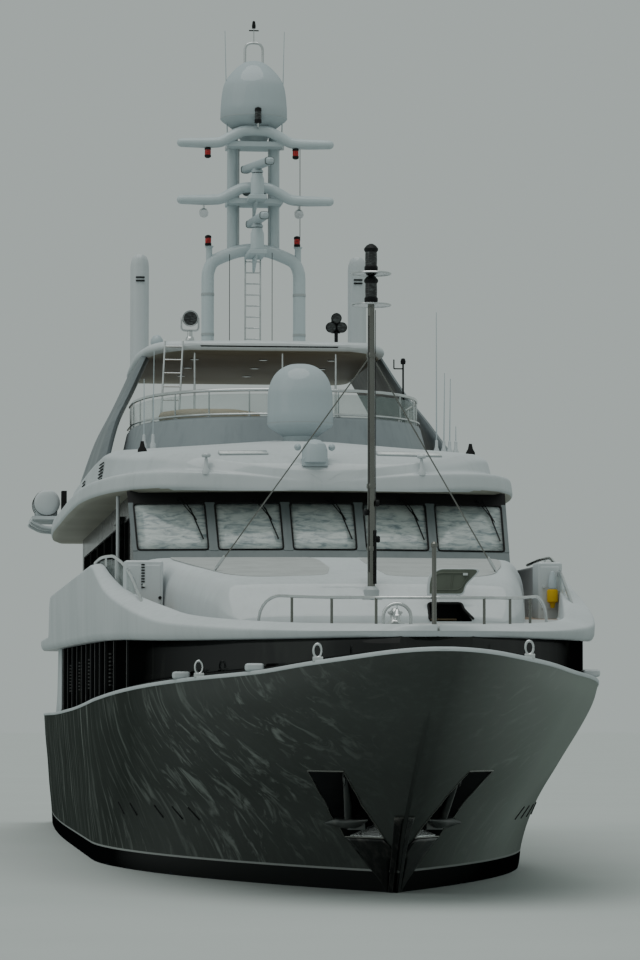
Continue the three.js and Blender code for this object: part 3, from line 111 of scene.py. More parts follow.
def mirrored(points):
    """A half outline (..., n, 3) on the port side followed by its mirror image in reverse order."""
    other = points[..., ::-1, :] * MIRROR
    return np.concatenate([points, other], axis=-2)


# Forms: each is (points, faces), and several make one mesh

def skin(rings, closed=True, caps=True):
    """Quads between neighbouring rings of a grid (rows, n, 3), and one flat face at each end."""
    rings = np.asarray(rings, float)
    rows, n = rings.shape[:2]
    i = np.arange(rows - 1)[:, None] * n
    j = np.arange(n if closed else n - 1)[None, :]
    k = (j + 1) % n
    faces = np.stack([i + j, i + k, i + k + n, i + j + n], -1).reshape(-1, 4).tolist()
    if caps:
        faces += [list(range(n))[::-1], list(range((rows - 1) * n, rows * n))]
    return rings.reshape(-1, 3), faces


def axes_of(direction):
    """Three unit vectors as rows, square to each other, the last along the direction."""
    w = np.array(direction, float) / np.linalg.norm(direction)
    u = np.cross([1.0, 0, 0] if abs(w[0]) < 0.9 else [0, 1.0, 0], w)
    u /= np.linalg.norm(u)
    return np.stack([u, np.cross(w, u), w])


def turned(rows, at=(0, 0, 0), along=(0, 0, 1), sides=40):
    """Surface of revolution: the point (r, h) of the profile goes to at + r cos a u + r sin a v + h w."""
    rows = np.array(rows, float)
    a = np.linspace(0, 2 * np.pi, sides, endpoint=False)
    local = np.stack([rows[:, :1] * np.cos(a), rows[:, :1] * np.sin(a), np.repeat(rows[:, 1:], sides, 1)], -1)
    return skin(local @ axes_of(along) + np.array(at, float))


def tube(path, radius, sides=10, rounded=False):
    """A round tube on a path: at each point a circle square to the tangent, its first axis in the path's
    own plane. A rounded end closes over a half circle."""
    path = np.array(path, float)
    radius = np.broadcast_to(np.asarray(radius, float), (len(path),)).copy()
    tangent = np.gradient(path, axis=0)
    tangent /= np.linalg.norm(tangent, axis=1, keepdims=True)
    flat = np.linalg.svd(path - path.mean(0))[2][2]
    if abs(flat @ tangent[0]) > 0.9 or len(path) < 3:
        flat = axes_of(path[-1] - path[0])[0]
    across = np.cross(flat, tangent)
    across /= np.maximum(np.linalg.norm(across, axis=1, keepdims=True), 1e-9)
    square = np.cross(tangent, across)
    if rounded:
        a = np.linspace(0, np.pi / 2, 5)[:-1]
        head = path[0] - np.outer(np.cos(a), tangent[0]) * radius[0]
        tail = path[-1] + np.outer(np.cos(a[::-1]), tangent[-1]) * radius[-1]
        path = np.concatenate([head, path, tail])
        across, square = (np.concatenate([np.repeat(x[:1], 4, 0), x, np.repeat(x[-1:], 4, 0)])
                          for x in (across, square))
        grow = np.maximum(np.sin(a), 0.02)
        radius = np.concatenate([grow * radius[0], radius, grow[::-1] * radius[-1]])
    a = np.linspace(0, 2 * np.pi, sides, endpoint=False)
    circle = np.cos(a)[None, :, None] * across[:, None] + np.sin(a)[None, :, None] * square[:, None]
    return skin(path[:, None] + circle * radius[:, None, None])


def rod(start, end, radius, sides=12, far=None):
    """A straight round bar, tapering to the far radius where one is given."""
    return tube([start, end], [radius, radius if far is None else far], sides)


def bend(points, size=0.15, steps=5):
    """A polyline in space with its corners rounded."""
    return fillet(np.array(points, float), size, steps)


def prism(outline, low, high, plane="xy"):
    """A flat outline pushed along the axis that its plane leaves out."""
    outline = np.array(outline, float)
    order = {"xy": (0, 1, 2), "yz": (1, 2, 0), "xz": (0, 2, 1)}[plane]
    rings = np.zeros((2, len(outline), 3))
    rings[:, :, order[0]], rings[:, :, order[1]] = outline[:, 0], outline[:, 1]
    rings[0, :, order[2]], rings[1, :, order[2]] = low, high
    return skin(rings)


def block(x0, x1, y0, y1, z0, z1):
    """A right-angled block, whose edges the bevel modifier rounds."""
    return prism([(x0, y0), (x1, y0), (x1, y1), (x0, y1)], z0, z1)


def carry(path, profile, caps=True, closed=False):
    """A profile of (outwards, up) carried level along a path: outwards is the tangent's level normal."""
    path, profile = np.array(path, float), np.array(profile, float)
    if closed:
        tangent = np.roll(path, -1, 0) - np.roll(path, 1, 0)
    else:
        tangent = np.gradient(path, axis=0)
    level = np.stack([tangent[:, 1], -tangent[:, 0]], 1)
    level /= np.maximum(np.linalg.norm(level, axis=1, keepdims=True), 1e-9)
    out = np.concatenate([level, np.zeros((len(path), 1))], 1)
    rings = path[:, None] + profile[None, :, :1] * out[:, None] + profile[None, :, 1:] * np.array([0, 0, 1.0])
    if closed:
        rings = np.concatenate([rings, rings[:1]])
    return skin(rings, caps=caps and not closed)


def both_sides(form):
    """The form and its mirror image in the centreline plane."""
    points, faces = form
    return [form, (points * MIRROR, [face[::-1] for face in faces])]


def paired(forms):
    """Each of the forms and its mirror image."""
    return [half for form in forms for half in both_sides(form)]


def mesh_of(name, forms, weld=0.0):
    """One mesh of forms (points, faces), its faces turned outwards, and its seams closed where weld is
    given."""
    starts = np.cumsum([0] + [len(points) for points, _ in forms])
    faces = [[v + start for v in face] for (_, part), start in zip(forms, starts) for face in part]
    mesh = bpy.data.meshes.new(name)
    mesh.from_pydata((np.concatenate([points for points, _ in forms]) * SCALE).tolist(), [], faces)
    work = bmesh.new()
    work.from_mesh(mesh)
    if weld:
        bmesh.ops.remove_doubles(work, verts=work.verts, dist=weld)
        bmesh.ops.dissolve_degenerate(work, edges=work.edges, dist=WELD / 10)
    bmesh.ops.recalc_face_normals(work, faces=work.faces)
    work.to_mesh(mesh)
    work.free()
    return mesh


def placed(name, data):
    """A new object in the scene."""
    made = bpy.data.objects.new(name, data)
    bpy.context.scene.collection.objects.link(made)
    return made


def build(name, forms, materials, body="yacht", replaces=(), bevel=0.0, angle=32):
    """Makes one object of forms and sets what it rides on and the nodes that it stands for, which it hides."""
    mesh = mesh_of(name, forms, WELD)
    for material in materials:
        mesh.materials.append(MATERIALS[material])
    made = placed(name, mesh)
    resharpen(made, angle)
    if bevel:
        edge = made.modifiers.new("edges", "BEVEL")
        edge.width = bevel * SCALE
        edge.segments = 2
        edge.limit_method = "ANGLE"
        edge.angle_limit = math.radians(35)
        edge.harden_normals = True
    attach(made, body)
    if replaces:
        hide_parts(*replaces)
    return made


def thicken(made, thickness, offset=0.0):
    """Gives a sheet its thickness, half on each side or, at offset -1, all inwards."""
    wall = made.modifiers.new("thickness", "SOLIDIFY")
    wall.thickness, wall.offset = thickness * SCALE, offset


def carve(made, forms, number=0):
    """Cuts closed forms out of a finished object, once and for all. The cut faces get the material with
    that number."""
    mesh = mesh_of("cutter", forms)
    for material in made.data.materials:
        mesh.materials.append(material)
    mesh.polygons.foreach_set("material_index", [number] * len(mesh.polygons))
    cutter = placed("cutter", mesh)
    edit = made.modifiers.new("carve", "BOOLEAN")
    edit.operation, edit.solver, edit.object = "DIFFERENCE", "EXACT", cutter
    edit.use_self = len(forms) > 1
    view = bpy.context.evaluated_depsgraph_get()
    result = bpy.data.meshes.new_from_object(made.evaluated_get(view))
    made.modifiers.remove(edit)
    result.name = made.name
    made.data = result
    bpy.data.objects.remove(cutter)
    bpy.data.meshes.remove(mesh)


def face_places(made):
    """Centres and normals of an object's faces, in full-size metres."""
    count = len(made.data.polygons)
    centre, normal = np.zeros(count * 3), np.zeros(count * 3)
    made.data.polygons.foreach_get("center", centre)
    made.data.polygons.foreach_get("normal", normal)
    return centre.reshape(-1, 3) / SCALE, normal.reshape(-1, 3)


def paint_faces(made, number, chosen):
    """Gives the chosen faces the material with that number."""
    numbers = np.zeros(len(made.data.polygons), np.int32)
    made.data.polygons.foreach_get("material_index", numbers)
    numbers[chosen] = number
    made.data.polygons.foreach_set("material_index", numbers)
    made.data.update()


def resharpen(made, angle):
    """Smooth shading, with sharp edges where faces meet at more than the angle in degrees."""
    made.data.polygons.foreach_set("use_smooth", [True] * len(made.data.polygons))
    made.data.set_sharp_from_angle(angle=math.radians(angle))


def dress(node, material):
    """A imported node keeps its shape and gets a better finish."""
    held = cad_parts[node]
    held.data.materials.clear()
    held.data.materials.append(MATERIALS[material])


# Settings that a user may change

def tone(red, green, blue):
    """A display colour of 0 to 255 as scene-linear values."""
    c = np.array([red, green, blue]) / 255
    return tuple(float(v) for v in np.where(c <= 0.04045, c / 12.92, ((c + 0.055) / 1.055) ** 2.4))


def length_setting(name, description, default):
    """A length that the sidebar shows."""
    return bpy.props.FloatProperty(name=name, description=description, default=default, min=0.001,
                                   unit="LENGTH")


def colour_setting(name, description, default):
    """A colour that the sidebar shows."""
    return bpy.props.FloatVectorProperty(name=name, description=description, default=default, size=3,
                                         min=0, max=1, subtype="COLOR")


class YachtSizes(bpy.types.PropertyGroup):
    """Sizes of the full-size yacht, in metres"""
    rail: length_setting("Rail radius", "Radius of the polished handrails", 0.025)
    cap: length_setting("Cap rail", "Width of the pale rail along the sheer", 0.1)
    main_dome: length_setting("Main dome", "Radius of the dome on top of the mast", 0.75)
    front_dome: length_setting("Front dome", "Radius of the dome on the roof", 0.65)
    plank: length_setting("Plank width", "Width of a deck plank", 0.09)
    boot_top: length_setting("Boot top", "Height of the dark band above the waterline", 0.33)
    line: length_setting("Pale line", "Width of the line above the boot top", 0.035)
    floor: length_setting("Floor radius", "Radius of the studio floor", 700.0)
    light: bpy.props.FloatProperty(name="Sky strength", description="Strength of the even light",
                                   default=1.05, min=0)


class YachtColours(bpy.types.PropertyGroup):
    """Base colours of the finishes"""
    hull: colour_setting("Hull", "Dark gloss grey of the hull", tone(58, 62, 59))
    # The hull gleam is the tone of painted reflection: the pale streaks and the paler port bow painted into
    # the hull's colour.
    painted_gleam: colour_setting("Hull painted reflection", "Tone of the bright streaks in the hull's gloss", tone(146, 153, 148))
    white: colour_setting("Superstructure", "Gloss white of the upper works", tone(196, 202, 204))
    # The dull white is also painted shade: the upper deck's faces that look down take it.
    shade: colour_setting("Dull white", "White where it is dull or dirty", tone(170, 177, 178))
    grey: colour_setting("Trim grey", "Satin grey of the wings and coaming", tone(140, 148, 151))
    glass: colour_setting("Dark glass", "Tinted glass of the main deck", tone(9, 10, 10))
    # The windscreen's tones are painted reflection: the colour of what the glass mirrors.
    screen: colour_setting("Windscreen", "Tone that the windscreen mirrors", tone(178, 186, 184))
    teak: colour_setting("Teak", "Deck planks", tone(150, 118, 84))
    bottom: colour_setting("Bottom paint", "Paint below the waterline", tone(30, 34, 40))
    sky: colour_setting("Backdrop", "Plain background", tone(168, 177, 174))


MATERIALS = {}


def settings():
    """The sizes and the colours in force."""
    scene = bpy.context.scene
    return scene.yacht_sizes, scene.yacht_colours


def group(name, inputs, outputs=("Color", "Roughness", "Height")):
    """A shader node group. Inputs are names with defaults: four parts make a colour, three a vector. Of the
    outputs Color is a colour and the others are numbers."""
    tree = bpy.data.node_groups.new(name, "ShaderNodeTree")
    for label, default in inputs.items():
        kind = {1: "Float", 3: "Vector", 4: "Color"}[np.size(default)]
        made = tree.interface.new_socket(name=label, in_out="INPUT", socket_type="NodeSocket" + kind)
        made.default_value = default
    for label in outputs:
        kind = "Color" if label == "Color" else "Float"
        tree.interface.new_socket(name=label, in_out="OUTPUT", socket_type="NodeSocket" + kind)
    return tree, tree.nodes.new("NodeGroupInput").outputs, tree.nodes.new("NodeGroupOutput"), Graph(tree)


class Graph:
    """Short words for adding and joining shader nodes."""

    def __init__(self, tree):
        self.tree = tree

    def add(self, kind, inputs=(), **options):
        """A new node. Its inputs are joined where a socket is given, and else set."""
        node = self.tree.nodes.new("ShaderNode" + kind)
        for key, value in options.items():
            setattr(node, key, value)
        for key, value in dict(inputs).items():
            if isinstance(value, bpy.types.NodeSocket):
                self.tree.links.new(value, node.inputs[key])
            else:
                node.inputs[key].default_value = value
        return node

    def math(self, operation, a, b=0.0, clamp=False):
        """The result of a math operation on a and b."""
        return self.add("Math", {0: a, 1: b}, operation=operation, use_clamp=clamp).outputs[0]

    def times(self, a, b):
        """The product a b."""
        return self.math("MULTIPLY", a, b)

    def plus(self, a, b, clamp=False):
        """The sum a + b, held between 0 and 1 if clamped."""
        return self.math("ADD", a, b, clamp)

    def mix(self, factor, a, b):
        """From colour a to colour b by the factor."""
        def full(value):
            return value if isinstance(value, bpy.types.NodeSocket) or len(value) == 4 else (*value, 1)
        return self.add("Mix", {0: factor, 6: full(a), 7: full(b)}, data_type="RGBA").outputs[2]

    def noise(self, vector, scale, detail=3.0, rough=0.5, warp=0.0):
        """A noise value from 0 to 1."""
        inputs = {"Vector": vector, "Scale": scale, "Detail": detail, "Roughness": rough, "Distortion": warp}
        return self.add("TexNoise", inputs).outputs["Fac"]

    def stretch(self, vector, by):
        """The vector with each part multiplied by its own number."""
        return self.add("Mapping", {"Vector": vector, "Scale": by}).outputs["Vector"]

    def place(self):
        """The point's place on the object."""
        return self.add("TexCoord").outputs["Object"]

    def level(self, value, low, high, to_low=0.0, to_high=1.0):
        """The value brought from one range to another."""
        inputs = {"Value": value, "From Min": low, "From Max": high, "To Min": to_low, "To Max": to_high}
        return self.add("MapRange", inputs).outputs["Result"]

    def output(self, node, values):
        """Joins sockets to the inputs of a node by name."""
        for key, value in values.items():
            self.tree.links.new(value, node.inputs[key])


def make_paint_group():
    """Painted surface: broad mottling, faint runs down the sides, dust on faces that look up, and the
    slight ripple of a sprayed coat."""
    tree, given, result, g = group("Sprayed paint", {
        "Color": (0.8, 0.8, 0.8, 1), "Dull": (0.6, 0.6, 0.6, 1), "Runs": 0.3, "Mottle": 0.3, "Roughness": 0.2,
        "Ripple size": 14.0})
    here = g.place()
    broad = g.noise(here, 0.9, 4.0, 0.55)
    runs = g.noise(g.stretch(here, (7.0, 7.0, 0.45)), 1.6, 5.0, 0.6)
    fine = g.noise(here, 26.0, 3.0, 0.6)
    runs_share = g.times(g.level(runs, 0.5, 0.75), given["Runs"])
    mottle = g.times(g.level(broad, 0.35, 0.7), given["Mottle"])
    up = g.add("SeparateXYZ", {0: g.add("NewGeometry").outputs["Normal"]}).outputs["Z"]
    dust = g.times(g.level(up, 0.5, 1.0), g.level(fine, 0.45, 0.8, 0.0, 0.35))
    share = g.plus(g.plus(runs_share, mottle), dust, clamp=True)
    g.output(result, {
        "Color": g.mix(share, given["Color"], given["Dull"]),
        "Roughness": g.plus(given["Roughness"], g.times(share, 0.22)),
        "Height": g.plus(g.noise(here, given["Ripple size"], 2.0, 0.4), g.times(fine, 0.05)),
    })
    return tree


def make_band_group():
    """Bands of the hull by height: bottom paint, the boot top, the pale line, the paint."""
    tree, given, result, g = group("Waterline bands", {
        "Paint": (0.1, 0.1, 0.1, 1), "Line": (0.7, 0.7, 0.7, 1), "Boot top": (0.01, 0.01, 0.01, 1),
        "Bottom": (0.02, 0.02, 0.02, 1), "Boot height": 0.16, "Line width": 0.02}, ["Color"])
    height = g.add("SeparateXYZ", {0: g.place()}).outputs["Z"]
    boot = given["Boot height"]
    above_boot = g.math("GREATER_THAN", height, boot)
    above_line = g.math("GREATER_THAN", height, g.plus(boot, given["Line width"]))
    slime = g.level(g.noise(g.place(), 5.0, 5.0, 0.65), 0.3, 0.7, -0.03, 0.03)
    below = g.math("LESS_THAN", g.plus(height, slime), 0.0)
    lower = g.mix(below, given["Boot top"], given["Bottom"])
    lined = g.mix(above_boot, lower, given["Line"])
    g.output(result, {"Color": g.mix(above_line, lined, given["Paint"])})
    return tree


def make_metal_group():
    """Polished metal: fine drawn lines, soft finger marks and small stains."""
    tree, given, result, g = group("Polished metal", {
        "Color": (0.7, 0.7, 0.7, 1), "Roughness": 0.12, "Stain": 0.3})
    here = g.place()
    marks = g.noise(here, 9.0, 4.0, 0.6)
    drawn = g.noise(g.stretch(here, (60.0, 60.0, 4.0)), 3.0, 2.0)
    stain = g.times(g.level(marks, 0.5, 0.8), given["Stain"])
    g.output(result, {
        "Color": g.mix(stain, given["Color"], (0.16, 0.15, 0.14)),
        "Roughness": g.plus(given["Roughness"], g.times(g.level(marks, 0.3, 0.75), 0.16)),
        "Height": drawn,
    })
    return tree


def make_plank_group():
    """Laid deck: planks along the length with dark caulked seams, each plank with its own tone and grain."""
    tree, given, result, g = group("Laid planks", {
        "Wood": (0.4, 0.25, 0.12, 1), "Caulk": (0.02, 0.02, 0.02, 1), "Width": 0.045})
    here = g.place()
    x = g.add("SeparateXYZ", {0: here}).outputs["X"]
    across = g.math("DIVIDE", x, given["Width"])
    seam = g.math("LESS_THAN", g.math("FRACT", across), 0.09)
    each = g.add("TexWhiteNoise", {"W": g.math("FLOOR", across)}, noise_dimensions="1D").outputs["Value"]
    grain = g.noise(g.stretch(here, (60.0, 3.0, 20.0)), 3.0, 5.0, 0.65)
    tone_share = g.plus(g.times(each, 0.35), g.level(grain, 0.3, 0.75, 0.0, 0.5), clamp=True)
    weathered = g.mix(tone_share, given["Wood"], (0.33, 0.3, 0.26))
    g.output(result, {
        "Color": g.mix(seam, weathered, given["Caulk"]),
        "Roughness": g.level(grain, 0.2, 0.8, 0.5, 0.8),
        "Height": g.math("SUBTRACT", g.times(grain, 0.25), g.times(seam, 0.8)),
    })
    return tree


def make_grip_group():
    """Non-slip coating: small raised grains and slight scuffing."""
    tree, given, result, g = group("Grip coating", {"Color": (0.6, 0.6, 0.6, 1), "Grain size": 90.0})
    here = g.place()
    grain = g.add("TexVoronoi", {"Vector": here, "Scale": given["Grain size"]}).outputs["Distance"]
    scuff = g.noise(here, 3.5, 5.0, 0.65)
    dark = g.add("HueSaturation", {"Color": given["Color"], "Value": 0.82}).outputs["Color"]
    g.output(result, {
        "Color": g.mix(g.level(scuff, 0.4, 0.75), given["Color"], dark),
        "Roughness": g.level(scuff, 0.3, 0.8, 0.55, 0.75),
        "Height": g.math("SUBTRACT", 1.0, grain),
    })
    return tree


def make_painted_reflection_pane_group():
    """Window glass seen from outside, its reflections painted in: broken patches of painted bright reflection
    over the dark tone, drawn out level, and the slight wave of a bent pane."""
    tree, given, result, g = group("Pane with painted reflections", {
        "Dark": (0.02, 0.02, 0.02, 1), "Bright": (0.3, 0.3, 0.3, 1), "Share": 0.5, "Size": 3.0,
        "Drawn": (1.0, 1.0, 3.0)})
    here = g.place()
    drawn = g.add("VectorMath", {0: here, 1: given["Drawn"]}, operation="MULTIPLY").outputs[0]
    patches = g.noise(drawn, given["Size"], 6.0, 0.62, 0.6)
    low = g.math("SUBTRACT", 0.85, g.times(given["Share"], 0.6))
    share = g.level(patches, g.math("SUBTRACT", low, 0.16), g.plus(low, 0.1))
    g.output(result, {
        "Color": g.mix(share, given["Dark"], given["Bright"]),
        "Roughness": g.level(patches, 0.2, 0.8, 0.02, 0.07),
        "Height": g.noise(here, 2.5, 2.0),
    })
    return tree


def finish(name, tree, inputs, metallic=0.0, bump=0.1, depth=0.002, specular=0.5, gloss=0.0):
    """A material whose colour, roughness and height come from a group. Its gloss, where given, is a clear
    coat that fades out on faces seen at a slant, so that they show their own colour and not the backdrop."""
    made = bpy.data.materials.new(name)
    made.use_nodes = True
    g = Graph(made.node_tree)
    shader = made.node_tree.nodes["Principled BSDF"]
    effect = g.add("Group", node_tree=tree)
    for key, value in inputs.items():
        is_colour = effect.inputs[key].type == "RGBA"
        effect.inputs[key].default_value = (*value, 1) if is_colour else value
    shader.inputs["Metallic"].default_value = metallic
    links = made.node_tree.links
    shader.inputs["Specular IOR Level"].default_value = 0.0 if gloss else specular
    if gloss:
        shader.inputs["Coat Roughness"].default_value = 0.07
        facing = g.add("LayerWeight", {"Blend": 0.5}).outputs["Facing"]
        links.new(g.level(facing, 0.4, 0.82, gloss, 0.0), shader.inputs["Coat Weight"])
    links.new(effect.outputs["Color"], shader.inputs["Base Color"])
    links.new(effect.outputs["Roughness"], shader.inputs["Roughness"])
    relief = g.add("Bump", {"Height": effect.outputs["Height"], "Strength": bump, "Distance": depth})
    links.new(relief.outputs["Normal"], shader.inputs["Normal"])
    MATERIALS[name] = made
    return made, g, shader, effect


def make_painted_streak_group():
    """Mask of painted reflection streaks: bright wavy streaks painted into a dark gloss coat, noise drawn out
    up and down and warped, in broad patches that fade out towards the centreline."""
    tree, given, result, g = group("Painted reflection streaks", {"Size": 7.0, "Drawn": (1.0, 1.0, 0.2), "Cover": 0.5},
                                   ["Mask"])
    here = g.place()
    drawn = g.add("VectorMath", {0: here, 1: given["Drawn"]}, operation="MULTIPLY").outputs[0]
    streaks = g.noise(drawn, given["Size"], 5.0, 0.62, 0.9)
    low = g.math("SUBTRACT", 0.72, g.times(given["Cover"], 0.3))
    patch = g.level(g.noise(here, 0.7, 2.0), 0.36, 0.6, 0.25, 1.0)
    away = g.level(g.math("ABSOLUTE", g.add("SeparateXYZ", {0: here}).outputs["X"]), 0.15, 1.0)
    streak = g.level(streaks, low, g.plus(low, 0.14))
    g.output(result, {"Mask": g.times(g.times(streak, patch), away)})
    return tree


# Paints by name: colour, tone where dull, runs, mottle, roughness
PAINTS = {
    "dome": ((176, 187, 191), (160, 171, 175), 0.2, 0.3, 0.3),
    "mast_white": ((190, 201, 204), (172, 183, 187), 0.2, 0.3, 0.3),
    "soffit": ((150, 150, 138), (128, 128, 118), 0.1, 0.4, 0.5),
    # The wings take a darker copy of the coaming's grey: painted shade on their outer faces.
    "wing_grey_painted_shade": ((112, 120, 123), (92, 99, 102), 0.4, 0.5, 0.4),
    "frame_grey": ((112, 120, 121), (88, 96, 98), 0.3, 0.5, 0.34),
    "black": ((20, 21, 22), (40, 42, 43), 0.1, 0.3, 0.4),
    "rubber": ((26, 26, 26), (48, 48, 48), 0.0, 0.5, 0.7),
    "yellow": ((206, 168, 30), (170, 130, 30), 0.1, 0.3, 0.4),
    "lid_inner": ((96, 102, 92), (76, 82, 74), 0.4, 0.6, 0.5),
    "tan": ((158, 140, 112), (120, 104, 82), 0.3, 0.6, 0.6),
}
GLOSSY = ("dome", "mast_white", "side_glass")
TINT_FROM_Z = 5.3
METALS = {  # colour, roughness, stain, strength and depth of the relief
    "steel": ((205, 208, 208), 0.12, 0.35, 0.05, 0.002),
    # A darker copy of the polished steel, for upright posts, poles and the pocket rims: painted shade for the
    # dark that they mirror.
    "steel_painted_dark": ((120, 121, 116), 0.18, 0.7, 0.08, 0.002),
    "anchor_steel": ((88, 91, 90), 0.3, 0.8, 0.15, 0.004),
    "plate_steel": ((40, 41, 41), 0.12, 0.8, 0.25, 0.01),
    "rippled_steel": ((236, 238, 238), 0.16, 0.5, 1.0, 0.03),
    "bronze": ((176, 132, 78), 0.26, 0.5, 0.1, 0.002),
}
# Each pane's bright tone, laid in patches over its dark tone, is painted reflection.
PANES = {  # dark tone, bright tone, share of bright, size, drawn out by, strength and depth of the relief
    "side_glass": ((14, 15, 15), (60, 66, 64), 0.3, 1.2, (1.0, 1.0, 2.5), 0.05, 0.02),
    "clear_glass": ((140, 158, 155), (176, 190, 187), 0.5, 1.5, (1.0, 1.0, 2.0), 0.02, 0.002),
    "red_lens": ((120, 8, 10), (196, 26, 22), 0.5, 30.0, (1.0, 1.0, 4.0), 0.3, 0.004),
    "lamp_glass": ((26, 28, 28), (92, 98, 98), 0.35, 22.0, (1.0, 1.0, 4.0), 0.3, 0.004),
    "skylight": ((196, 202, 202), (232, 235, 234), 0.6, 3.0, (1.0, 1.0, 1.0), 0.02, 0.002),
}


def make_finishes():
    """All the materials by name."""
    sizes, colours = settings()
    paint, metal, planks = make_paint_group(), make_metal_group(), make_plank_group()
    grip, glazing = make_grip_group(), make_painted_reflection_pane_group()
    bands, streaks = make_band_group(), make_painted_streak_group()
    white, dull, grey = (tuple(getattr(colours, key)) for key in ("white", "shade", "grey"))
    for name, (colour, worn, runs, mottle, rough) in PAINTS.items():
        finish(name, paint, {"Color": tone(*colour), "Dull": tone(*worn), "Runs": runs, "Mottle": mottle,
                             "Roughness": rough}, bump=0.04, specular=0.15,
               gloss=0.8 if name in GLOSSY else 0.0)
    for name, (colour, rough, stain, bump, depth) in METALS.items():
        finish(name, metal, {"Color": tone(*colour), "Roughness": rough, "Stain": stain}, metallic=1.0,
               bump=bump, depth=depth)
    for name, (dark, bright, share, size, drawn, bump, depth) in PANES.items():
        finish(name, glazing, {"Dark": tone(*dark), "Bright": tone(*bright), "Share": share, "Size": size,
                               "Drawn": drawn}, bump=bump, depth=depth, gloss=0.7 if name in GLOSSY else 0.0)
    finish("white", paint, {"Color": white, "Dull": dull, "Runs": 0.25, "Mottle": 0.35, "Roughness": 0.2},
           bump=0.04, gloss=0.9)
    finish("soft_white", paint, {"Color": dull, "Dull": tone(140, 147, 149), "Runs": 0.4, "Mottle": 0.5,
                                 "Roughness": 0.35})
    finish("grey", paint, {"Color": grey, "Dull": tone(118, 126, 130), "Runs": 0.4, "Mottle": 0.5,
                           "Roughness": 0.4}, bump=0.05, specular=0.15)
    finish("bottom", paint, {"Color": tuple(colours.bottom), "Dull": tone(52, 58, 60), "Runs": 0.6,
                             "Mottle": 0.7, "Roughness": 0.7}, bump=0.3)
    finish("teak", planks, {"Wood": tuple(colours.teak), "Caulk": tone(30, 28, 26),
                            "Width": sizes.plank * SCALE}, bump=0.5)
    for name, colour in (("grip", (176, 180, 180)), ("grip_grey", (172, 176, 175))):
        finish(name, grip, {"Color": tone(*colour)}, bump=0.3, depth=0.001)
    # The bright patches in the dark glass are painted reflection.
    finish("dark_glass", glazing, {"Dark": tuple(colours.glass), "Bright": tone(48, 50, 46), "Share": 0.25,
                                   "Size": 0.9, "Drawn": (1.0, 1.4, 0.3)}, bump=0.05, depth=0.02,
           gloss=0.7)
    # Both tones of the windscreen glass are painted reflection.
    finish("screen_glass", glazing, {"Dark": tone(112, 126, 130), "Bright": tuple(colours.screen),
                                     "Share": 0.62, "Size": 7.0, "Drawn": (1.0, 1.0, 4.0)}, bump=0.08,
           depth=0.02, gloss=0.9)
    clear = MATERIALS["clear_glass"]
    clear.node_tree.nodes["Principled BSDF"].inputs["Alpha"].default_value = 0.25
    clear.surface_render_method = "BLENDED"
    made, g, shader, effect = finish("house_side", paint, {
        "Color": white, "Dull": dull, "Runs": 0.25, "Mottle": 0.35, "Roughness": 0.2}, bump=0.04,
        specular=0.1)
    height = g.add("SeparateXYZ", {0: g.place()}).outputs["Z"]
    dark = g.math("GREATER_THAN", height, TINT_FROM_Z * SCALE)
    tinted = g.mix(dark, effect.outputs["Color"], tone(26, 28, 27))
    made.node_tree.links.new(tinted, shader.inputs["Base Color"])
    made, g, shader, effect = finish("hull_paint", paint,
                                     {"Color": tuple(colours.hull), "Dull": tone(72, 77, 74), "Runs": 0.5,
                                      "Mottle": 0.35, "Roughness": 0.12, "Ripple size": 2.2}, bump=0.1,
                                     depth=0.02, gloss=0.8)
    link = made.node_tree.links.new
    # Painted reflection: pale wavy streaks mixed into the hull paint, away from the centreline.
    painted_reflection_streaks = g.add("Group", {"Size": 5.0, "Drawn": (1.0, 1.0, 0.13), "Cover": 0.62}, node_tree=streaks)
    spot = g.add("SeparateXYZ", {0: g.place()}).outputs
    # Painted reflection: the paint turns paler towards the port side forward of amidships.
    painted_port_bow_sheen = g.times(g.level(spot["X"], 0.12, 1.3, 0.0, 0.95), g.level(spot["Y"], -7.5, -3.0, 1.0, 0.0))
    with_port_bow_sheen = g.mix(painted_port_bow_sheen, effect.outputs["Color"], tuple(colours.painted_gleam))
    painted_gleam = g.mix(g.times(painted_reflection_streaks.outputs["Mask"], 0.6), with_port_bow_sheen, tuple(colours.painted_gleam))
    band = g.add("Group", {"Line": (*tone(150, 154, 152), 1), "Boot top": (*tone(12, 13, 14), 1),
                           "Bottom": (*colours.bottom, 1), "Boot height": sizes.boot_top * SCALE,
                           "Line width": sizes.line * SCALE}, node_tree=bands)
    link(painted_gleam, band.inputs["Paint"])
    link(band.outputs["Color"], shader.inputs["Base Color"])


# Hull

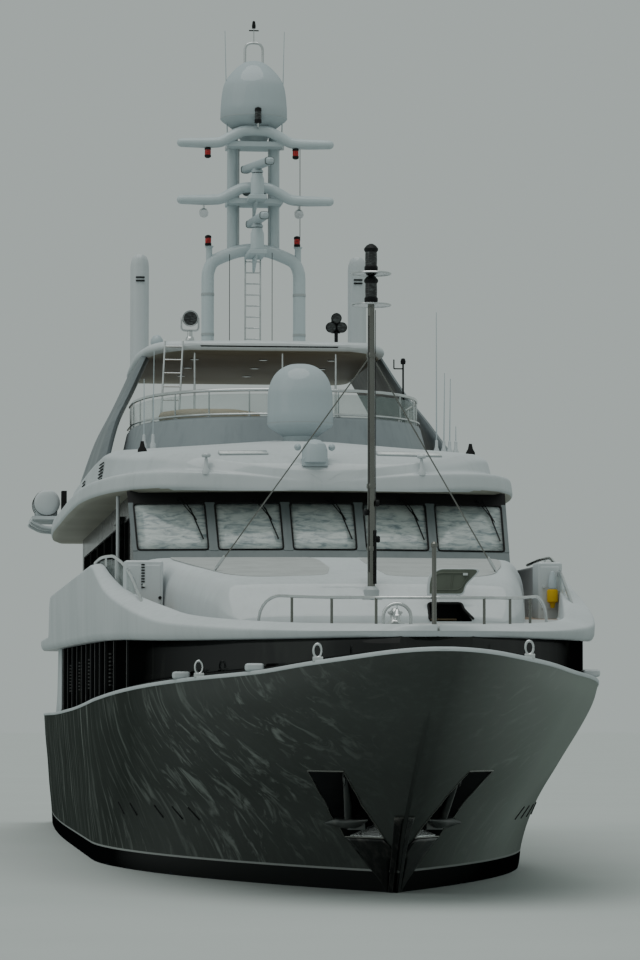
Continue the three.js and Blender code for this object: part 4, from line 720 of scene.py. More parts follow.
BOW_Y, TRANSOM_Y, HALF_BEAM, DRAUGHT = -24.7, 22.3, 4.3, 2.2
HOUSE_AFT_Y, MAIN_DECK_Z, WELL_HALF = 10.1, 1.95, 3.72
STEM = [(-2.2, -12.0), (-1.9, -15.0), (-1.3, -17.2), (-0.6, -18.5), (0, -19.1), (0.75, -19.8), (1.5, -20.75),
        (2.3, -22.0), (3.0, -23.25), (3.78, BOW_Y)]  # height, y
SHEER = [(BOW_Y, 3.75), (-23.9, 3.63), (-23.3, 3.57), (-21.7, 3.44), (-19.2, 3.37), (-17, 3.31), (-15, 3.25),
         (-10, 3.1), (0, 2.93), (HOUSE_AFT_Y, 2.86), (TRANSOM_Y, 2.86)]  # y, height
KEEL = [(5, DRAUGHT), (11, 1.7), (17, 1.0), (TRANSOM_Y, 0.6)]  # y, depth
LEVELS = np.array([  # share of height or depth, half-breadth, length of entrance, fineness
    (-1.0, 0.14, 20, 1.0), (-0.8, 2.3, 20, 1.25), (-0.55, 3.5, 18, 1.2), (-0.25, 3.95, 16, 1.1),
    (0, 4.05, 15, 1.0), (0.15, 4.08, 15.5, 0.95), (0.38, 4.15, 15.8, 0.85), (0.6, 4.2, 15.6, 0.66),
    (0.8, 4.26, 15.5, 0.54), (0.92, 4.285, 15.8, 0.49), (1.0, HALF_BEAM, 16, 0.51)])
SHEER_NOMINAL = 3.78


def taper(y):
    """Narrowing towards the stern: one less a share that grows with the square of the distance past y 6."""
    return 1 - 0.07 * (np.maximum(0, y - 6) / (TRANSOM_Y - 6)) ** 2


def hull_point(level, share, swell=0.0):
    """The port skin: at the share of the length between stem and transom the half-breadth is
    widest (1 - (1 - t)^2)^fineness, t being the distance behind the stem over the length of entrance."""
    level, share = np.broadcast_arrays(np.asarray(level, float), np.asarray(share, float))
    half, run, fine = (smooth(np.stack([LEVELS[:, 0], LEVELS[:, k]], 1), level) for k in (1, 2, 3))
    station = BOW_Y + (TRANSOM_Y - BOW_Y) * share
    stem = smooth(STEM, np.where(level >= 0, level * SHEER_NOMINAL, level * DRAUGHT))
    y = stem + (TRANSOM_Y - stem) * share
    z = np.where(level >= 0, level * smooth(SHEER, station), level * smooth(KEEL, y))
    t = np.clip((y - stem) / run, 0, 1)
    x = np.maximum(0.02, half * (1 - (1 - t) ** 2) ** fine * taper(y))
    return np.stack([x + swell, y - swell * (share < 0.02), z], -1)


def sheer_line(y):
    """Half-breadth at the sheer for given y."""
    t = np.clip((np.asarray(y, float) - BOW_Y) / 16, 0, 1)
    return np.maximum(0.02, HALF_BEAM * (1 - (1 - t) ** 2) ** 0.52 * taper(y))


def skin_point(y, z, side=1, swell=0.0):
    """The point of the skin at a given y and height: share and level are found in turns."""
    y, z = np.broadcast_arrays(np.asarray(y, float), np.asarray(z, float))
    level = z / SHEER_NOMINAL
    for _ in range(4):
        stem = smooth(STEM, np.where(z >= 0, level * SHEER_NOMINAL, level * DRAUGHT))
        share = np.clip((y - stem) / (TRANSOM_Y - stem), 0, 1)
        level = z / np.where(z >= 0, smooth(SHEER, BOW_Y + (TRANSOM_Y - BOW_Y) * share), DRAUGHT)
    return hull_point(level, share, swell) * np.array([side, 1, 1])


POCKET = {"outline": [(-19.62, 0.88), (-19.72, 1.15), (-19.86, 1.41), (-20.16, 1.68), (-20.52, 1.94),
                      (-19.8, 1.94), (-19.26, 1.59), (-18.9, 1.24), (-18.73, 0.88)],  # y, height
          "wall": 0.12, "low": 0.88, "lean": 0.417, "reach": 2.0}


def pocket_wall(z):
    """The pocket's back wall leans outwards with height."""
    return POCKET["wall"] + POCKET["lean"] * (z - POCKET["low"])


def pocket_form(side):
    """The pocket's outline pushed outwards from its leaning back wall."""
    outline = np.array(POCKET["outline"])
    x = pocket_wall(outline[:, 1])
    return skin([np.column_stack([side * (x + out), outline]) for out in (0.0, POCKET["reach"])])


SHAFT = {"x": 1.75, "y": 17.6, "z": -1.68, "rise": 0.085}


def shaft_at(side, ahead):
    """A point on the propeller shaft, so far ahead of the propeller."""
    return np.array([side * SHAFT["x"], SHAFT["y"] - ahead, SHAFT["z"] + ahead * SHAFT["rise"]])


def make_hull():
    """The skin as closed rings of port and starboard points, with the wells, steps and pockets cut out."""
    share = np.concatenate([np.linspace(0, 1, 90)[:-1] ** 1.9 * 0.5, np.linspace(0.5, 1, 50)])
    level = np.concatenate([np.linspace(-1, -0.05, 18), np.linspace(0, 1, 44)])
    port = hull_point(level[None, :], share[:, None])
    hull = build("hull_skin", [skin(mirrored(port))], ["hull_paint", "teak", "white", "black", "tan"],
                 replaces=["hull"], angle=28)
    rooms = [block(-WELL_HALF, WELL_HALF, HOUSE_AFT_Y, 21.2, MAIN_DECK_Z, 4.5),
             block(-3.4, 3.4, -6, HOUSE_AFT_Y + 0.5, MAIN_DECK_Z, 4.5),
             block(-1.75, 1.75, TRANSOM_Y - 0.32, 24, 0.62, 2.1)]
    for k in range(4):
        rooms += both_sides(block(2.45, 3.55, 20.6 + 0.42 * k, 24, MAIN_DECK_Z - 0.36 * k, 4))
    for form in rooms:
        carve(hull, [form])
    carve(hull, [pocket_form(1), pocket_form(-1)], 3)
    carve(hull, [rod(shaft_at(s, 1.3), shaft_at(s, 6.4), 0.11, 16) for s in (1, -1)])
    centre, normal = face_places(hull)
    x, y, z = centre.T
    within = (np.abs(x) < 3.74) & (y > HOUSE_AFT_Y - 0.05) & (y < 21.9) & (z > 1.0)
    saloon = (np.abs(x) < 3.41) & (y > -6.01) & (y < HOUSE_AFT_Y) & (z > 1.9) & (z < 2.5)
    level_up = normal[:, 2] > 0.9
    paint_faces(hull, 2, within)
    paint_faces(hull, 1, within & level_up & (z < 2.2))
    paint_faces(hull, 4, saloon)
    paint_faces(hull, 2, level_up & (z > 2.6))
    resharpen(hull, 28)
    width = settings()[0].cap
    path = hull_point(1.0, np.concatenate([np.linspace(0.0, 1, 130)[1:-1] ** 1.8, [1.0]]))
    path[:, 2] += 0.002
    path[:, 1] = np.maximum(path[:, 1], BOW_Y + 0.018)
    line = np.concatenate([path[::-1] * MIRROR, path])
    profile = fillet([(-0.03, -0.02), (0.012, -0.02), (0.016, 0.04), (-width, 0.045), (-width, 0.0),
                      (-0.03, -0.02)], 0.015, 2)[:-1]
    build("sheer_rail", [carry(line, profile)], ["white"], angle=40)


def make_underwater_fittings():
    """Skeg, and the V brackets with their barrels, welded on under the stern."""
    forms = [prism([(9.5, -1.6), (15.6, -1.0), (15.9, -1.75), (11, -2.2)], -0.12, 0.12, "yz")]
    barrel = [(0.12, -0.25), (0.2, -0.22), (0.2, 0.22), (0.12, 0.25), (0.115, 0.25), (0.115, -0.25)]
    section = np.array([(-0.035, 0), (0, -0.18), (0.035, 0), (0, 0.18)])
    for side in (1, -1):
        x, y, z = shaft_at(side, 0.8)
        forms.append(turned(barrel, (x, y, z), (0, -1, SHAFT["rise"]), 24))
        for lean in (-0.5, 0.5):
            forms.append(skin([np.column_stack([x + lean * s + section[:, 0], y + section[:, 1],
                                                np.full(4, z + 0.15 + 1.15 * s)]) for s in (0, 1)]))
    build("stern_gear", forms, ["bottom"])


PLATE_FORE = [(-0.5, -18.5), (0.0, -18.95), (0.5, -19.38), (0.72, -19.62), (0.86, -19.6)]  # height, y
PLATE_AFT = [(-0.5, -18.3), (-0.1, -18.85), (0.1, -18.93), (0.5, -18.8), (0.86, -18.75)]
STEM_PLATE = {"low": -0.5, "top": 1.22, "back": 0.14}
PLATE_LIFT = 0.016


def make_stem_guard():
    """Dark polished plates on the stem and below the pockets, laid 16 mm proud of the skin, and the pale
    rims of the pockets."""
    forms, bars = [], []
    z = np.linspace(STEM_PLATE["low"], STEM_PLATE["top"], 26)[:, None]
    nose = smooth(STEM, z) + STEM_PLATE["back"] * np.linspace(0, 1, 8)
    low = np.linspace(STEM_PLATE["low"], POCKET["low"] - 0.02, 24)[:, None]
    fore, aft = smooth(PLATE_FORE, low), smooth(PLATE_AFT, low)
    cheek = fore + (aft - fore) * np.linspace(0, 1, 10)
    outline = np.array(POCKET["outline"] + POCKET["outline"][:1])
    share = np.linspace(0, 1, 8, endpoint=False)[:, None]
    edge = np.concatenate([a + (b - a) * share for a, b in zip(outline[:-1], outline[1:])] + [outline[:1]])
    for side in (1, -1):
        forms += [skin(skin_point(along, high, side, PLATE_LIFT), closed=False, caps=False)
                  for along, high in ((nose, z), (cheek, low))]
        bars.append(tube(skin_point(edge[:, 0], edge[:, 1], side, 0.004), 0.013, 6))
    top = skin_point(nose[-1], z[-1], 1, 0.02)
    bars.append(tube(np.concatenate([top[::-1], top * MIRROR]), 0.012, 6))
    thicken(build("stem_plates", forms, ["plate_steel"], replaces=["stem_guard"]), PLATE_LIFT)
    # The rims take the darker steel: painted shade.
    build("pocket_rims", bars, ["steel_painted_dark"])
    ledges = []
    y = np.linspace(-19.5, -18.86, 12)
    out = skin_point(y, POCKET["low"] + 0.02)[:, 0] - 0.02
    for side in (1, -1):
        inner = pocket_wall(POCKET["low"])
        points = [(out, POCKET["low"] + 0.005), (out, POCKET["low"] + 0.03), (inner * 0.6 + out * 0.4, 1.06),
                  (np.full(12, inner + 0.1), 1.09), (np.full(12, inner), POCKET["low"] + 0.005)]
        ledges.append(skin(np.stack([np.column_stack([side * x, y, np.full(12, h)]) for x, h in points], 1)))
    build("pocket_ledges", ledges, ["rippled_steel"])


ANCHOR = {"y": -19.12, "x": 0.72, "z": 1.1, "head": (0.88, -19.95, 1.84)}


def make_anchors():
    """Both anchors."""
    for word, side in (("port", 1), ("stbd", -1)):
        make_anchor("anchor_" + word, side)


def make_anchor(name, side):
    """Stockless anchor: tapered shank, crown and two flukes that stand out of the pocket."""
    x, y, z = ANCHOR["x"], ANCHOR["y"], ANCHOR["z"]
    hx, hy, hz = ANCHOR["head"]
    shank = tube(np.linspace((side * x, y, z), (side * hx, hy, hz), 8), np.linspace(0.085, 0.05, 8), 14, True)
    rows = flow([  # along the hull, outwards, up, half-width, half-thickness
        (-0.44, -0.22, 0.06, 0.015, 0.015), (-0.3, -0.13, 0.04, 0.09, 0.05), (-0.14, -0.04, 0.02, 0.14, 0.1),
        (0.08, 0.1, 0.02, 0.14, 0.1), (0.17, 0.26, 0.01, 0.07, 0.05), (0.22, 0.36, 0.0, 0.015, 0.015)], 22)
    a = np.linspace(0, 2 * np.pi, 16, endpoint=False)
    along, out, up, wide, thick = (rows[:, k:k + 1] for k in range(5))
    cx = side * (x + out) + wide * np.cos(a) * np.abs(np.cos(a)) ** 0.3
    flukes = skin(np.stack([cx, np.repeat(y + along, 16, 1), z + up + thick * np.sin(a)], -1))
    x0 = side * (x - 0.1)
    crown = block(x0 - 0.13, x0 + 0.13, y - 0.12, y + 0.16, z - 0.1, z + 0.04)
    round_bar = [(0.084, 0), (0.089, -0.011), (0.1, -0.016), (0.111, -0.011), (0.116, 0), (0.111, 0.011),
                 (0.1, 0.016), (0.089, 0.011), (0.084, 0)]
    ring = turned(round_bar, (side * (hx + 0.03), hy, hz - 0.03), (1, 0, 0), 24)
    build(name + "_finished", [shank, flukes, crown, ring], ["anchor_steel"], replaces=[name], bevel=0.02)


PROPELLER_BLADES = 5


def make_propeller(name, side):
    """Hub, shaft and skewed blades: the chord turns with the radius by its pitch angle."""
    w = np.array([0, -1, SHAFT["rise"]]) / np.hypot(1, SHAFT["rise"])
    hub = turned([(0.0, -0.32), (0.06, -0.3), (0.1, -0.24), (0.15, 0.1), (0.17, 0.3), (0.17, 0.4), (0, 0.4)],
                 shaft_at(side, 0), w, 30)
    shaft = rod(shaft_at(side, 0.3), shaft_at(side, 6.2), 0.09, 24)
    rows = flow([  # radius, half-chord, pitch angle, half-thickness
        (0.1, 0.14, 55, 0.02), (0.3, 0.26, 42, 0.018), (0.48, 0.27, 30, 0.012), (0.58, 0.2, 26, 0.008),
        (0.62, 0.08, 24, 0.004)], 14)
    a = np.linspace(0, 2 * np.pi, 14, endpoint=False)
    along, thick = rows[:, 1:2] * np.cos(a), rows[:, 3:4] * np.sin(a)
    pitch = np.radians(rows[:, 2:3]) * side
    u = (along * np.cos(pitch) - thick * np.sin(pitch)) * 0.55
    v = along * np.sin(pitch) + thick * np.cos(pitch)
    r = np.repeat(rows[:, :1], 14, 1)
    forms = [hub, shaft]
    axes = np.stack([np.array([1.0, 0, 0]), np.cross(w, [1.0, 0, 0]), w])
    for k in range(PROPELLER_BLADES):
        turn = 2 * np.pi * k / PROPELLER_BLADES
        local = np.stack([u * np.cos(turn) - r * np.sin(turn), u * np.sin(turn) + r * np.cos(turn), v], -1)
        forms.append(skin(local @ axes + shaft_at(side, 0.02)))
    build(name + "_finished", forms, ["bronze"], body=name, replaces=[name], angle=40)


def make_running_gear():
    """The propellers on their shafts, and the finish of the rudders and fins."""
    for word, side in (("port", 1), ("stbd", -1)):
        make_propeller("propeller_" + word, side)
        dress("rudder_" + word, "bottom")
        dress("stabiliser_fin_" + word, "bottom")


FAIRLEADS = [(-3.17, -19.36), (-1.72, -23.27), (1.43, -23.71)]  # x, y
SHEER_LAMPS = [(-2.54, -21.47), (-3.42, -18.26), (3.2, -19.3)]
DRAIN_SLOTS = [-14.2, -13.4, -12.4, -10.75, -9.75]  # y of the lower end


def make_hull_fittings():
    """Fairlead rings and lamp boxes on the sheer, and the leaning drain slots in the side."""
    rings, boxes, slots = [], [], []
    a = np.linspace(0, 2 * np.pi, 33)
    for x, y in FAIRLEADS:
        z = float(smooth(SHEER, y)) + 0.19
        inner = x - math.copysign(0.03, x)
        rings += [tube(np.column_stack([inner + 0.06 * np.cos(a), y + 0 * a, z + 0.1 * np.sin(a)]), 0.021,
                       10), block(inner - 0.08, inner + 0.08, y - 0.05, y + 0.05, z - 0.16, z - 0.09)]
    for x, y in SHEER_LAMPS:
        z = float(smooth(SHEER, y)) + 0.045
        x0 = x - math.copysign(0.08, x)
        boxes.append(block(x0 - 0.14, x0 + 0.14, y - 0.14, y + 0.14, z, z + 0.12))
    for y in DRAIN_SLOTS:
        share = np.linspace(0, 1, 6)
        slots += [tube(skin_point(y + 0.14 * share, 1.03 + 0.21 * share, side, 0.004), 0.017, 6)
                  for side in (1, -1)]
    build("fairleads", rings, ["steel"], bevel=0.01)
    build("sheer_lamps", boxes, ["white"], bevel=0.04)
    build("drain_slots", slots, ["black"])


# Upper deck, its bulwark and the dark main-deck band

FASCIA_LOW = [(-24.1, 3.95), (-23.2, 3.95), (-20, 3.98), (-17, 4.03), (-13, 4.12), (2, 4.3),
              (HOUSE_AFT_Y, 4.38), (18, 4.46)]  # y, height
UPPER_TIP, UPPER_AFT_Y, UPPER_FLOOR_Z = -24.1, 17.6, 4.62
BULWARK_EDGE = [(-24.1, 4.03), (-22.5, 4.08), (-19.75, 4.2), (-17, 4.35), (-15.5, 4.51), (-13.8, 4.73),
                (-11.7, 5.04), (-10.3, 5.33), (-9.2, 5.54), (-8.2, 5.6), (HOUSE_AFT_Y, 5.62), (10.5, 5.56),
                (10.9, 5.1), (11.2, 4.7), (18, 4.7)]
CAP_RISE = [(-24.1, 0.1), (-20, 0.1), (-16, 0.12), (-12, 0.08), (-9, 0.04), (18, 0.04)]
CAP_WIDTH = [(-24.1, 0.02), (-23.6, 0.25), (-22.5, 0.42), (-16, 0.42), (-12, 0.25), (-9, 0.14), (18, 0.14)]
UPPER_FLOOR = [(-24.1, 4.03), (-20, 4.16), (-16.5, 4.34), (-13, 4.5), (-9.6, UPPER_FLOOR_Z),
               (18, UPPER_FLOOR_Z)]


def upper_half(y):
    """Half-breadth of the upper deck: 4.33 (1 - (1 - t)^2)^0.52 from its tip, drawn in at the stern by a
    cube."""
    t = np.clip((y - UPPER_TIP) / 15.4, 0, 1)
    past = np.maximum(0, y - 15.8) / (UPPER_AFT_Y - 15.8)
    return np.maximum(0.03, 4.33 * (1 - (1 - t) ** 2) ** 0.52) * (1 - 0.3 * past ** 3)


def bulwark_points(y):
    """Port half of the deck's section at each y, as corner points from the soffit over the cap to the
    floor."""
    half = upper_half(y)
    low, edge, floor = smooth(FASCIA_LOW, y), smooth(BULWARK_EDGE, y), smooth(UPPER_FLOOR, y)
    top = np.maximum(edge + smooth(CAP_RISE, y), floor + 0.02)
    cap = smooth(CAP_WIDTH, y)
    back = 0.09 * np.clip(1 - half / 0.9, 0, 1)

    def at(inset, z, aft=0.0):
        return np.stack([np.maximum(0.012, half - inset), y + aft, z], -1)
    return np.stack([at(0.4, low + 0.01, back), at(0.07, low, back), at(0.012, low + 0.09), at(0.0, edge),
                     at(cap, top), at(cap + 0.1, top), at(cap + 0.14, floor), at(cap + 0.5, floor)], 1)


PLANKS_FROM_Y = -13.2  # the floor has grip coating forward of it


def make_upper_deck():
    """One moulding: fascia, rounded cap and floor, as a section carried from the bow to the aft overhang."""
    y = np.concatenate([UPPER_TIP + np.linspace(0, 1, 60)[:-1] ** 2 * 9,
                        np.linspace(UPPER_TIP + 9, 10.1, 90)[:-1], np.linspace(10.1, UPPER_AFT_Y, 40)])
    section = fillet(bulwark_points(y), 0.05, 3)
    deck = build("upper_deck_moulding", [skin(mirrored(section))], ["white", "grip", "teak", "soft_white"],
                 replaces=["foredeck", "upper_deck", "foredeck_bulwark", "bulwark_port", "bulwark_stbd"],
                 angle=34)
    centre, normal = face_places(deck)
    y, z = centre.T[1:]
    floor = (normal[:, 2] > 0.95) & (np.abs(z - smooth(UPPER_FLOOR, y)) < 0.03)
    paint_faces(deck, 1, floor & (y < PLANKS_FROM_Y))
    paint_faces(deck, 2, floor & (y >= PLANKS_FROM_Y))
    # Faces that look down take the dull white: painted shade on the undersides.
    paint_faces(deck, 3, normal[:, 2] < -0.8)
    outline = fillet([(HOUSE_AFT_Y + 0.14, 2.8), (13.4, 2.8), (12.4, 3.3), (11.9, 4.45),
                      (HOUSE_AFT_Y + 0.14, 4.45)], 0.3)
    low = MAIN_DECK_Z + 0.001
    pillar = [(0, low), (0.17, low), (0.17, 1.98), (0.1, 2.02), (0.09, 2.1), (0.09, 4.3), (0.11, 4.38),
              (0.15, 4.45), (0, 4.45)]
    forms = both_sides(prism(outline, 3.86, 4.06, "yz"))
    forms += both_sides(turned(pillar, (3.3, 16.4, 0), sides=28))
    build("aft_screens", forms, ["white"], bevel=0.03)


def make_deck_lockers():
    """Lockers inside the bulwark, with their doors, latches, and the floating light on the port one."""
    boxes, doors, latches = [], [], []
    for side in (1, -1):
        x0, x1 = (3.46, 3.9) if side > 0 else (-3.9, -3.22)
        boxes.append(block(x0, x1, -12.3, -11.7, 4.48, 5.54))
        doors.append(block(x0 + 0.05, x1 - 0.05, -12.312, -12.28, 4.7, 5.46))
        latches.append(rod((side * 3.56, -12.34, 5.1), (side * 3.56, -12.3, 5.1), 0.03))
        latches += [block(side * 3.82 - 0.015, side * 3.82 + 0.015, -12.33, -12.3, z, z + 0.08)
                    for z in (4.78, 5.3)]
    build("deck_lockers", boxes, ["white"], bevel=0.04)
    build("locker_doors", doors, ["white"], bevel=0.015)
    build("locker_latches", latches, ["steel"])
    x, y = 3.7, -12.42
    body = [(0, 4.72), (0.035, 4.72), (0.05, 4.8), (0.1, 4.83), (0.1, 5.02), (0.085, 5.05), (0, 5.05)]
    head = [(0, 5.06), (0.075, 5.06), (0.08, 5.1), (0.07, 5.22), (0.03, 5.36), (0, 5.38)]
    clips = [block(x - 0.02, x + 0.02, y - 0.02, -12.3, z, z + 0.02) for z in (4.9, 5.15)]
    build("float_light_body", [turned(body, (x, y, 0), sides=24)], ["yellow"])
    build("float_light_top", [turned(head, (x, y, 0), sides=24)], ["dome"])
    build("float_light_clips", clips, ["black"])


# y, height, half-breadth
RAIL_ARCH = [(-7.0, 5.7, 4.15), (-8.6, 5.73, 4.12), (-10.2, 5.7, 4.02), (-11.3, 5.57, 3.93),
             (-12.6, 5.3, 3.83), (-13.6, 4.98, 3.76), (-14.3, 4.72, 3.72)]


def make_bulwark_rails():
    """Arched rails with glass where the bulwark sweeps down, on three posts each."""
    y, z, x = flow(RAIL_ARCH, 44).T
    line = np.column_stack([x, y, z])
    foot = np.column_stack([x, y, smooth(BULWARK_EDGE, y) + 0.02])
    rails = [tube(line, 0.03, 10, True)] + [rod(foot[k], line[k], 0.02) for k in (14, 22, 30)]
    high = line[8:37] - np.array([0, 0, 0.06])
    low = np.minimum(foot[8:37], high)
    build("bulwark_rails", paired(rails), ["steel"])
    pane = skin(np.stack([low, high], 1), closed=False, caps=False)
    thicken(build("bulwark_panes", both_sides(pane), ["clear_glass"]), 0.02)


MULLIONS = (-13.2, -11.3, -9.4, -7.6, -5.9, -4.2, -2.4, -0.5, 1.6, 3.8, 6.0, 8.2)  # y
BAND_VENTS = (-10.6, -3.6, 0.4, 4.6)


def make_main_house():
    """The dark band: level strips from the sheer to the fascia, with mullions, vents and a sill."""
    y = np.concatenate([-23.9 + np.linspace(0, 1, 50)[:-1] ** 2 * 8,
                        np.linspace(-15.9, HOUSE_AFT_Y - 0.02, 80)])
    half = np.maximum(0.1, np.minimum(sheer_line(y) - 0.24, upper_half(y) - 0.12))
    z = np.linspace(0, 1, 4)[None, :]
    low, high = smooth(SHEER, y)[:, None] - 0.03, smooth(FASCIA_LOW, y)[:, None] + 0.04
    strip = np.stack([np.repeat(half[:, None], 4, 1), np.repeat(y[:, None], 4, 1), low + (high - low) * z],
                     -1)
    nose = strip[:1] * np.array([0.0, 1, 1])
    port = np.concatenate([nose, strip])
    made = build("main_deck_glass", both_sides(skin(port, closed=False, caps=False)), ["dark_glass"],
                 replaces=["main_deck_house"], angle=50)
    thicken(made, 0.06, -1.0)
    bars, slats = [], []
    for y0 in MULLIONS:
        x = float(sheer_line(y0)) - 0.225
        z0, z1 = float(smooth(SHEER, y0)) + 0.02, float(smooth(FASCIA_LOW, y0)) + 0.02
        bars += both_sides(block(x - 0.025, x + 0.025, y0 - 0.05, y0 + 0.05, z0, z1))
    for y0 in BAND_VENTS:
        x = float(sheer_line(y0)) - 0.22
        for z in np.arange(3.35, 3.95, 0.07):
            slats += both_sides(block(x - 0.02, x + 0.02, y0 - 0.3, y0 + 0.3, z, z + 0.025))
    build("band_mullions", bars, ["black"], bevel=0.012)
    build("band_vents", slats, ["rubber"])
    path = np.stack([np.maximum(0.1, sheer_line(y) - 0.24), y, smooth(SHEER, y) + 0.035], 1)
    profile = [(0.03, -0.04), (-0.04, -0.04), (-0.03, 0.05), (0.0, 0.07), (0.03, 0.07)]
    build("band_sill", both_sides(carry(path, profile)), ["rubber"])


# Foredeck trunk, its locker and grip panels

# y, half-width, top
TRUNK = [(-16.46, 2.2, 4.42), (-16.3, 2.42, 4.62), (-16.1, 2.55, 4.84), (-15.95, 2.6, 5.0),
         (-15.75, 2.64, 5.08), (-15.4, 2.7, 5.12), (-14.5, 2.86, 5.22), (-13, 3.1, 5.4),
         (-11.3, 3.36, 5.58), (-10.2, 3.56, 5.67), (-8.6, 3.6, 5.72)]
LOCKER = {"mouth": [(0.93, 4.37), (1.66, 4.37), (1.52, 4.58), (1.5, 4.68), (0.93, 4.68)], "back": -15.6,
          "pin_y": -16.36, "pin_z": 4.78}
TRUNK_FLOW = flow(TRUNK, 90)
LOCKER_VENT = (-3.58, -12.315, 5.05)
GRIP_LIFT = 0.006


def trunk_top(y):
    """Height of the coachroof's edge."""
    return np.interp(y, TRUNK_FLOW[:, 0], TRUNK_FLOW[:, 2])


def make_trunk():
    """Rounded coachroof: its section widens and rises aft, and its front rolls down to the deck."""
    y, half, top = TRUNK_FLOW.T
    floor = smooth(UPPER_FLOOR, y) - 0.03
    drop = np.clip((top - floor) * 0.45, 0.02, 0.34)
    side_in = np.clip((top - floor) * 0.16, 0.01, 0.14)

    def at(x, z):
        return np.stack([x, y, z], -1)
    corners = np.stack([at(half, floor), at(half - 0.01, floor + (top - floor) * 0.3),
                        at(half - side_in * 0.4, top - drop), at(half - side_in - 0.12, top - 0.02),
                        at(half - side_in - 0.5, top + 0.005), at(half * 0.4, top + 0.02),
                        at(half * 0.0 + 0.05, top + 0.024)], 1)
    section = fillet(corners, 0.2, 5)
    trunk = build("coachroof", [skin(mirrored(section))], ["white", "black", "tan"],
                  replaces=["trunk_front", "foredeck_trunk"], angle=50)
    mouth = np.array(LOCKER["mouth"])
    hole = prism(fillet(np.concatenate([mouth, mouth[:1]]), 0.04, 3)[:-1], -17.5, LOCKER["back"], "xz")
    # The cut walls inside the locker's mouth take the black finish: painted shade in the opening.
    carve(trunk, [hole], 1)
    resharpen(trunk, 50)
    rim = [(0.93, 4.42), (0.93, 4.68), (1.5, 4.68), (1.52, 4.58), (1.66, 4.42)]
    front = np.interp([z for _, z in rim], TRUNK_FLOW[:14, 2], TRUNK_FLOW[:14, 0])
    line = [(x, float(y) - 0.015, z) for (x, z), y in zip(rim, front)]
    build("locker_gasket", [tube(bend(line, 0.06), 0.022, 8, True)], ["rubber"])
    build("locker_shelf", [block(0.97, 1.45, -16.05, -15.66, 4.4, 4.43)], ["tan"],
          bevel=0.01)
    x, y, z = LOCKER_VENT
    louvre = [block(x - 0.03, x + 0.03, y - 0.012, y + 0.02, z + 0.05 * k, z + 0.05 * k + 0.025)
              for k in range(9)]
    build("locker_louvres", louvre + [rod((x + 0.3, y - 0.02, 4.88), (x + 0.3, y + 0.02, 4.88), 0.03)],
          ["rubber"])


GRIP_PANELS = [  # outlines as x, y on the roof, port side of the mast and starboard side
    [(0.42, -14.9), (0.7, -15.25), (1.9, -15.15), (2.35, -14.4), (2.75, -12.6), (3.0, -10.9), (2.9, -9.7),
     (0.5, -9.75), (0.36, -12.0)],
    [(-0.4, -13.4), (-0.62, -15.0), (-1.9, -15.3), (-2.3, -14.6), (-2.75, -12.6), (-3.0, -10.9), (-2.9, -9.7),
     (-0.5, -9.75), (-0.36, -11.2)],
]


def make_grip_panels():
    """Grip-coated areas of the coachroof: each outline is drawn in to its centre in steps and laid 6 mm
    above the roof, with a skirt down into it."""
    forms = []
    for outline in GRIP_PANELS:
        loop = fillet(np.array(outline + outline[:1], float), 0.5, 6)[:-1]
        centre = loop.mean(0)
        shares = np.concatenate([[1], np.linspace(1, 0.02, 14)])[:, None, None]
        rings = centre + (loop - centre)[None] * shares
        x, y = rings[..., 0], rings[..., 1]
        half = np.interp(y, TRUNK_FLOW[:, 0], TRUNK_FLOW[:, 1])
        z = trunk_top(y) + 0.026 - 0.022 * np.clip(np.abs(x) / half, 0, 1) + GRIP_LIFT
        z[0] -= 0.02
        forms.append(skin(np.stack([x, y, z], -1)))
    build("grip_panels", forms, ["grip_grey"], angle=60)


def make_lid():
    """The open locker lid: a curved pressed sheet with ribs and hinges, its lining grey."""
    outline = fillet([(0.9, 0.03), (1.52, 0.03), (1.56, 0.2), (1.8, 0.44), (1.76, 0.48), (1.1, 0.48),
                      (0.94, 0.38), (0.9, 0.2), (0.9, 0.03)], 0.07, 4)[:-1]
    y, z = LOCKER["pin_y"], LOCKER["pin_z"]
    centre = outline.mean(0)
    inner = centre + (outline - centre) * 0.9 + np.array([0.0, z])
    build("lid_sheet", [prism(outline + np.array([0.0, z]), y - 0.015, y + 0.02, "xz")], ["white"],
          body="locker_lid", replaces=["locker_lid"], bevel=0.012)
    rib = [(1.0, 0.12), (1.45, 0.12), (1.62, 0.4), (1.08, 0.4), (1.0, 0.32), (1.0, 0.12)]
    ribs = [tube(bend([(x, y - 0.026, z + h) for x, h in rib], 0.08), 0.012, 6),
            rod((1.3, y - 0.026, z + 0.12), (1.34, y - 0.026, z + 0.4), 0.01, 6)]
    build("lid_lining", [prism(inner, y - 0.02, y - 0.015, "xz")] + ribs, ["lid_inner"], body="locker_lid")
    pins = [rod((x, y, z), (x + 0.12, y, z), 0.02) for x in (0.88, 1.42)]
    pins += [block(x, x + 0.06, y - 0.012, y + 0.022, z, z + 0.1) for x in (1.0, 1.4)]
    pins.append(block(1.5, 1.58, y - 0.06, y - 0.015, z + 0.36, z + 0.4))
    build("lid_hinges", pins, ["steel"], body="locker_lid")


# Rails and fittings of the foredeck

RAIL_LINE = [(2.28, -20.1, 4.2), (2.25, -20.17, 4.42), (2.14, -20.4, 4.6), (2.02, -20.7, 4.65),
             (1.85, -21.1, 4.63), (1.36, -22.2, 4.58), (0.81, -23.2, 4.55), (0.0, -23.5, 4.54)]
RAIL_POSTS = [(1.85, -21.1), (1.36, -22.2), (0.81, -23.2)]
POST_FOOT = [(0, 0), (0.06, 0), (0.055, 0.012), (0.03, 0.02), (0, 0.02)]
STAFF_Y, HOOP_Y = -23.62, -19.4
DECK_HATCH = [(-1.25, -18.6), (0.75, -18.6), (0.7, -19.9), (-0.35, -20.3), (-1.15, -19.9)]


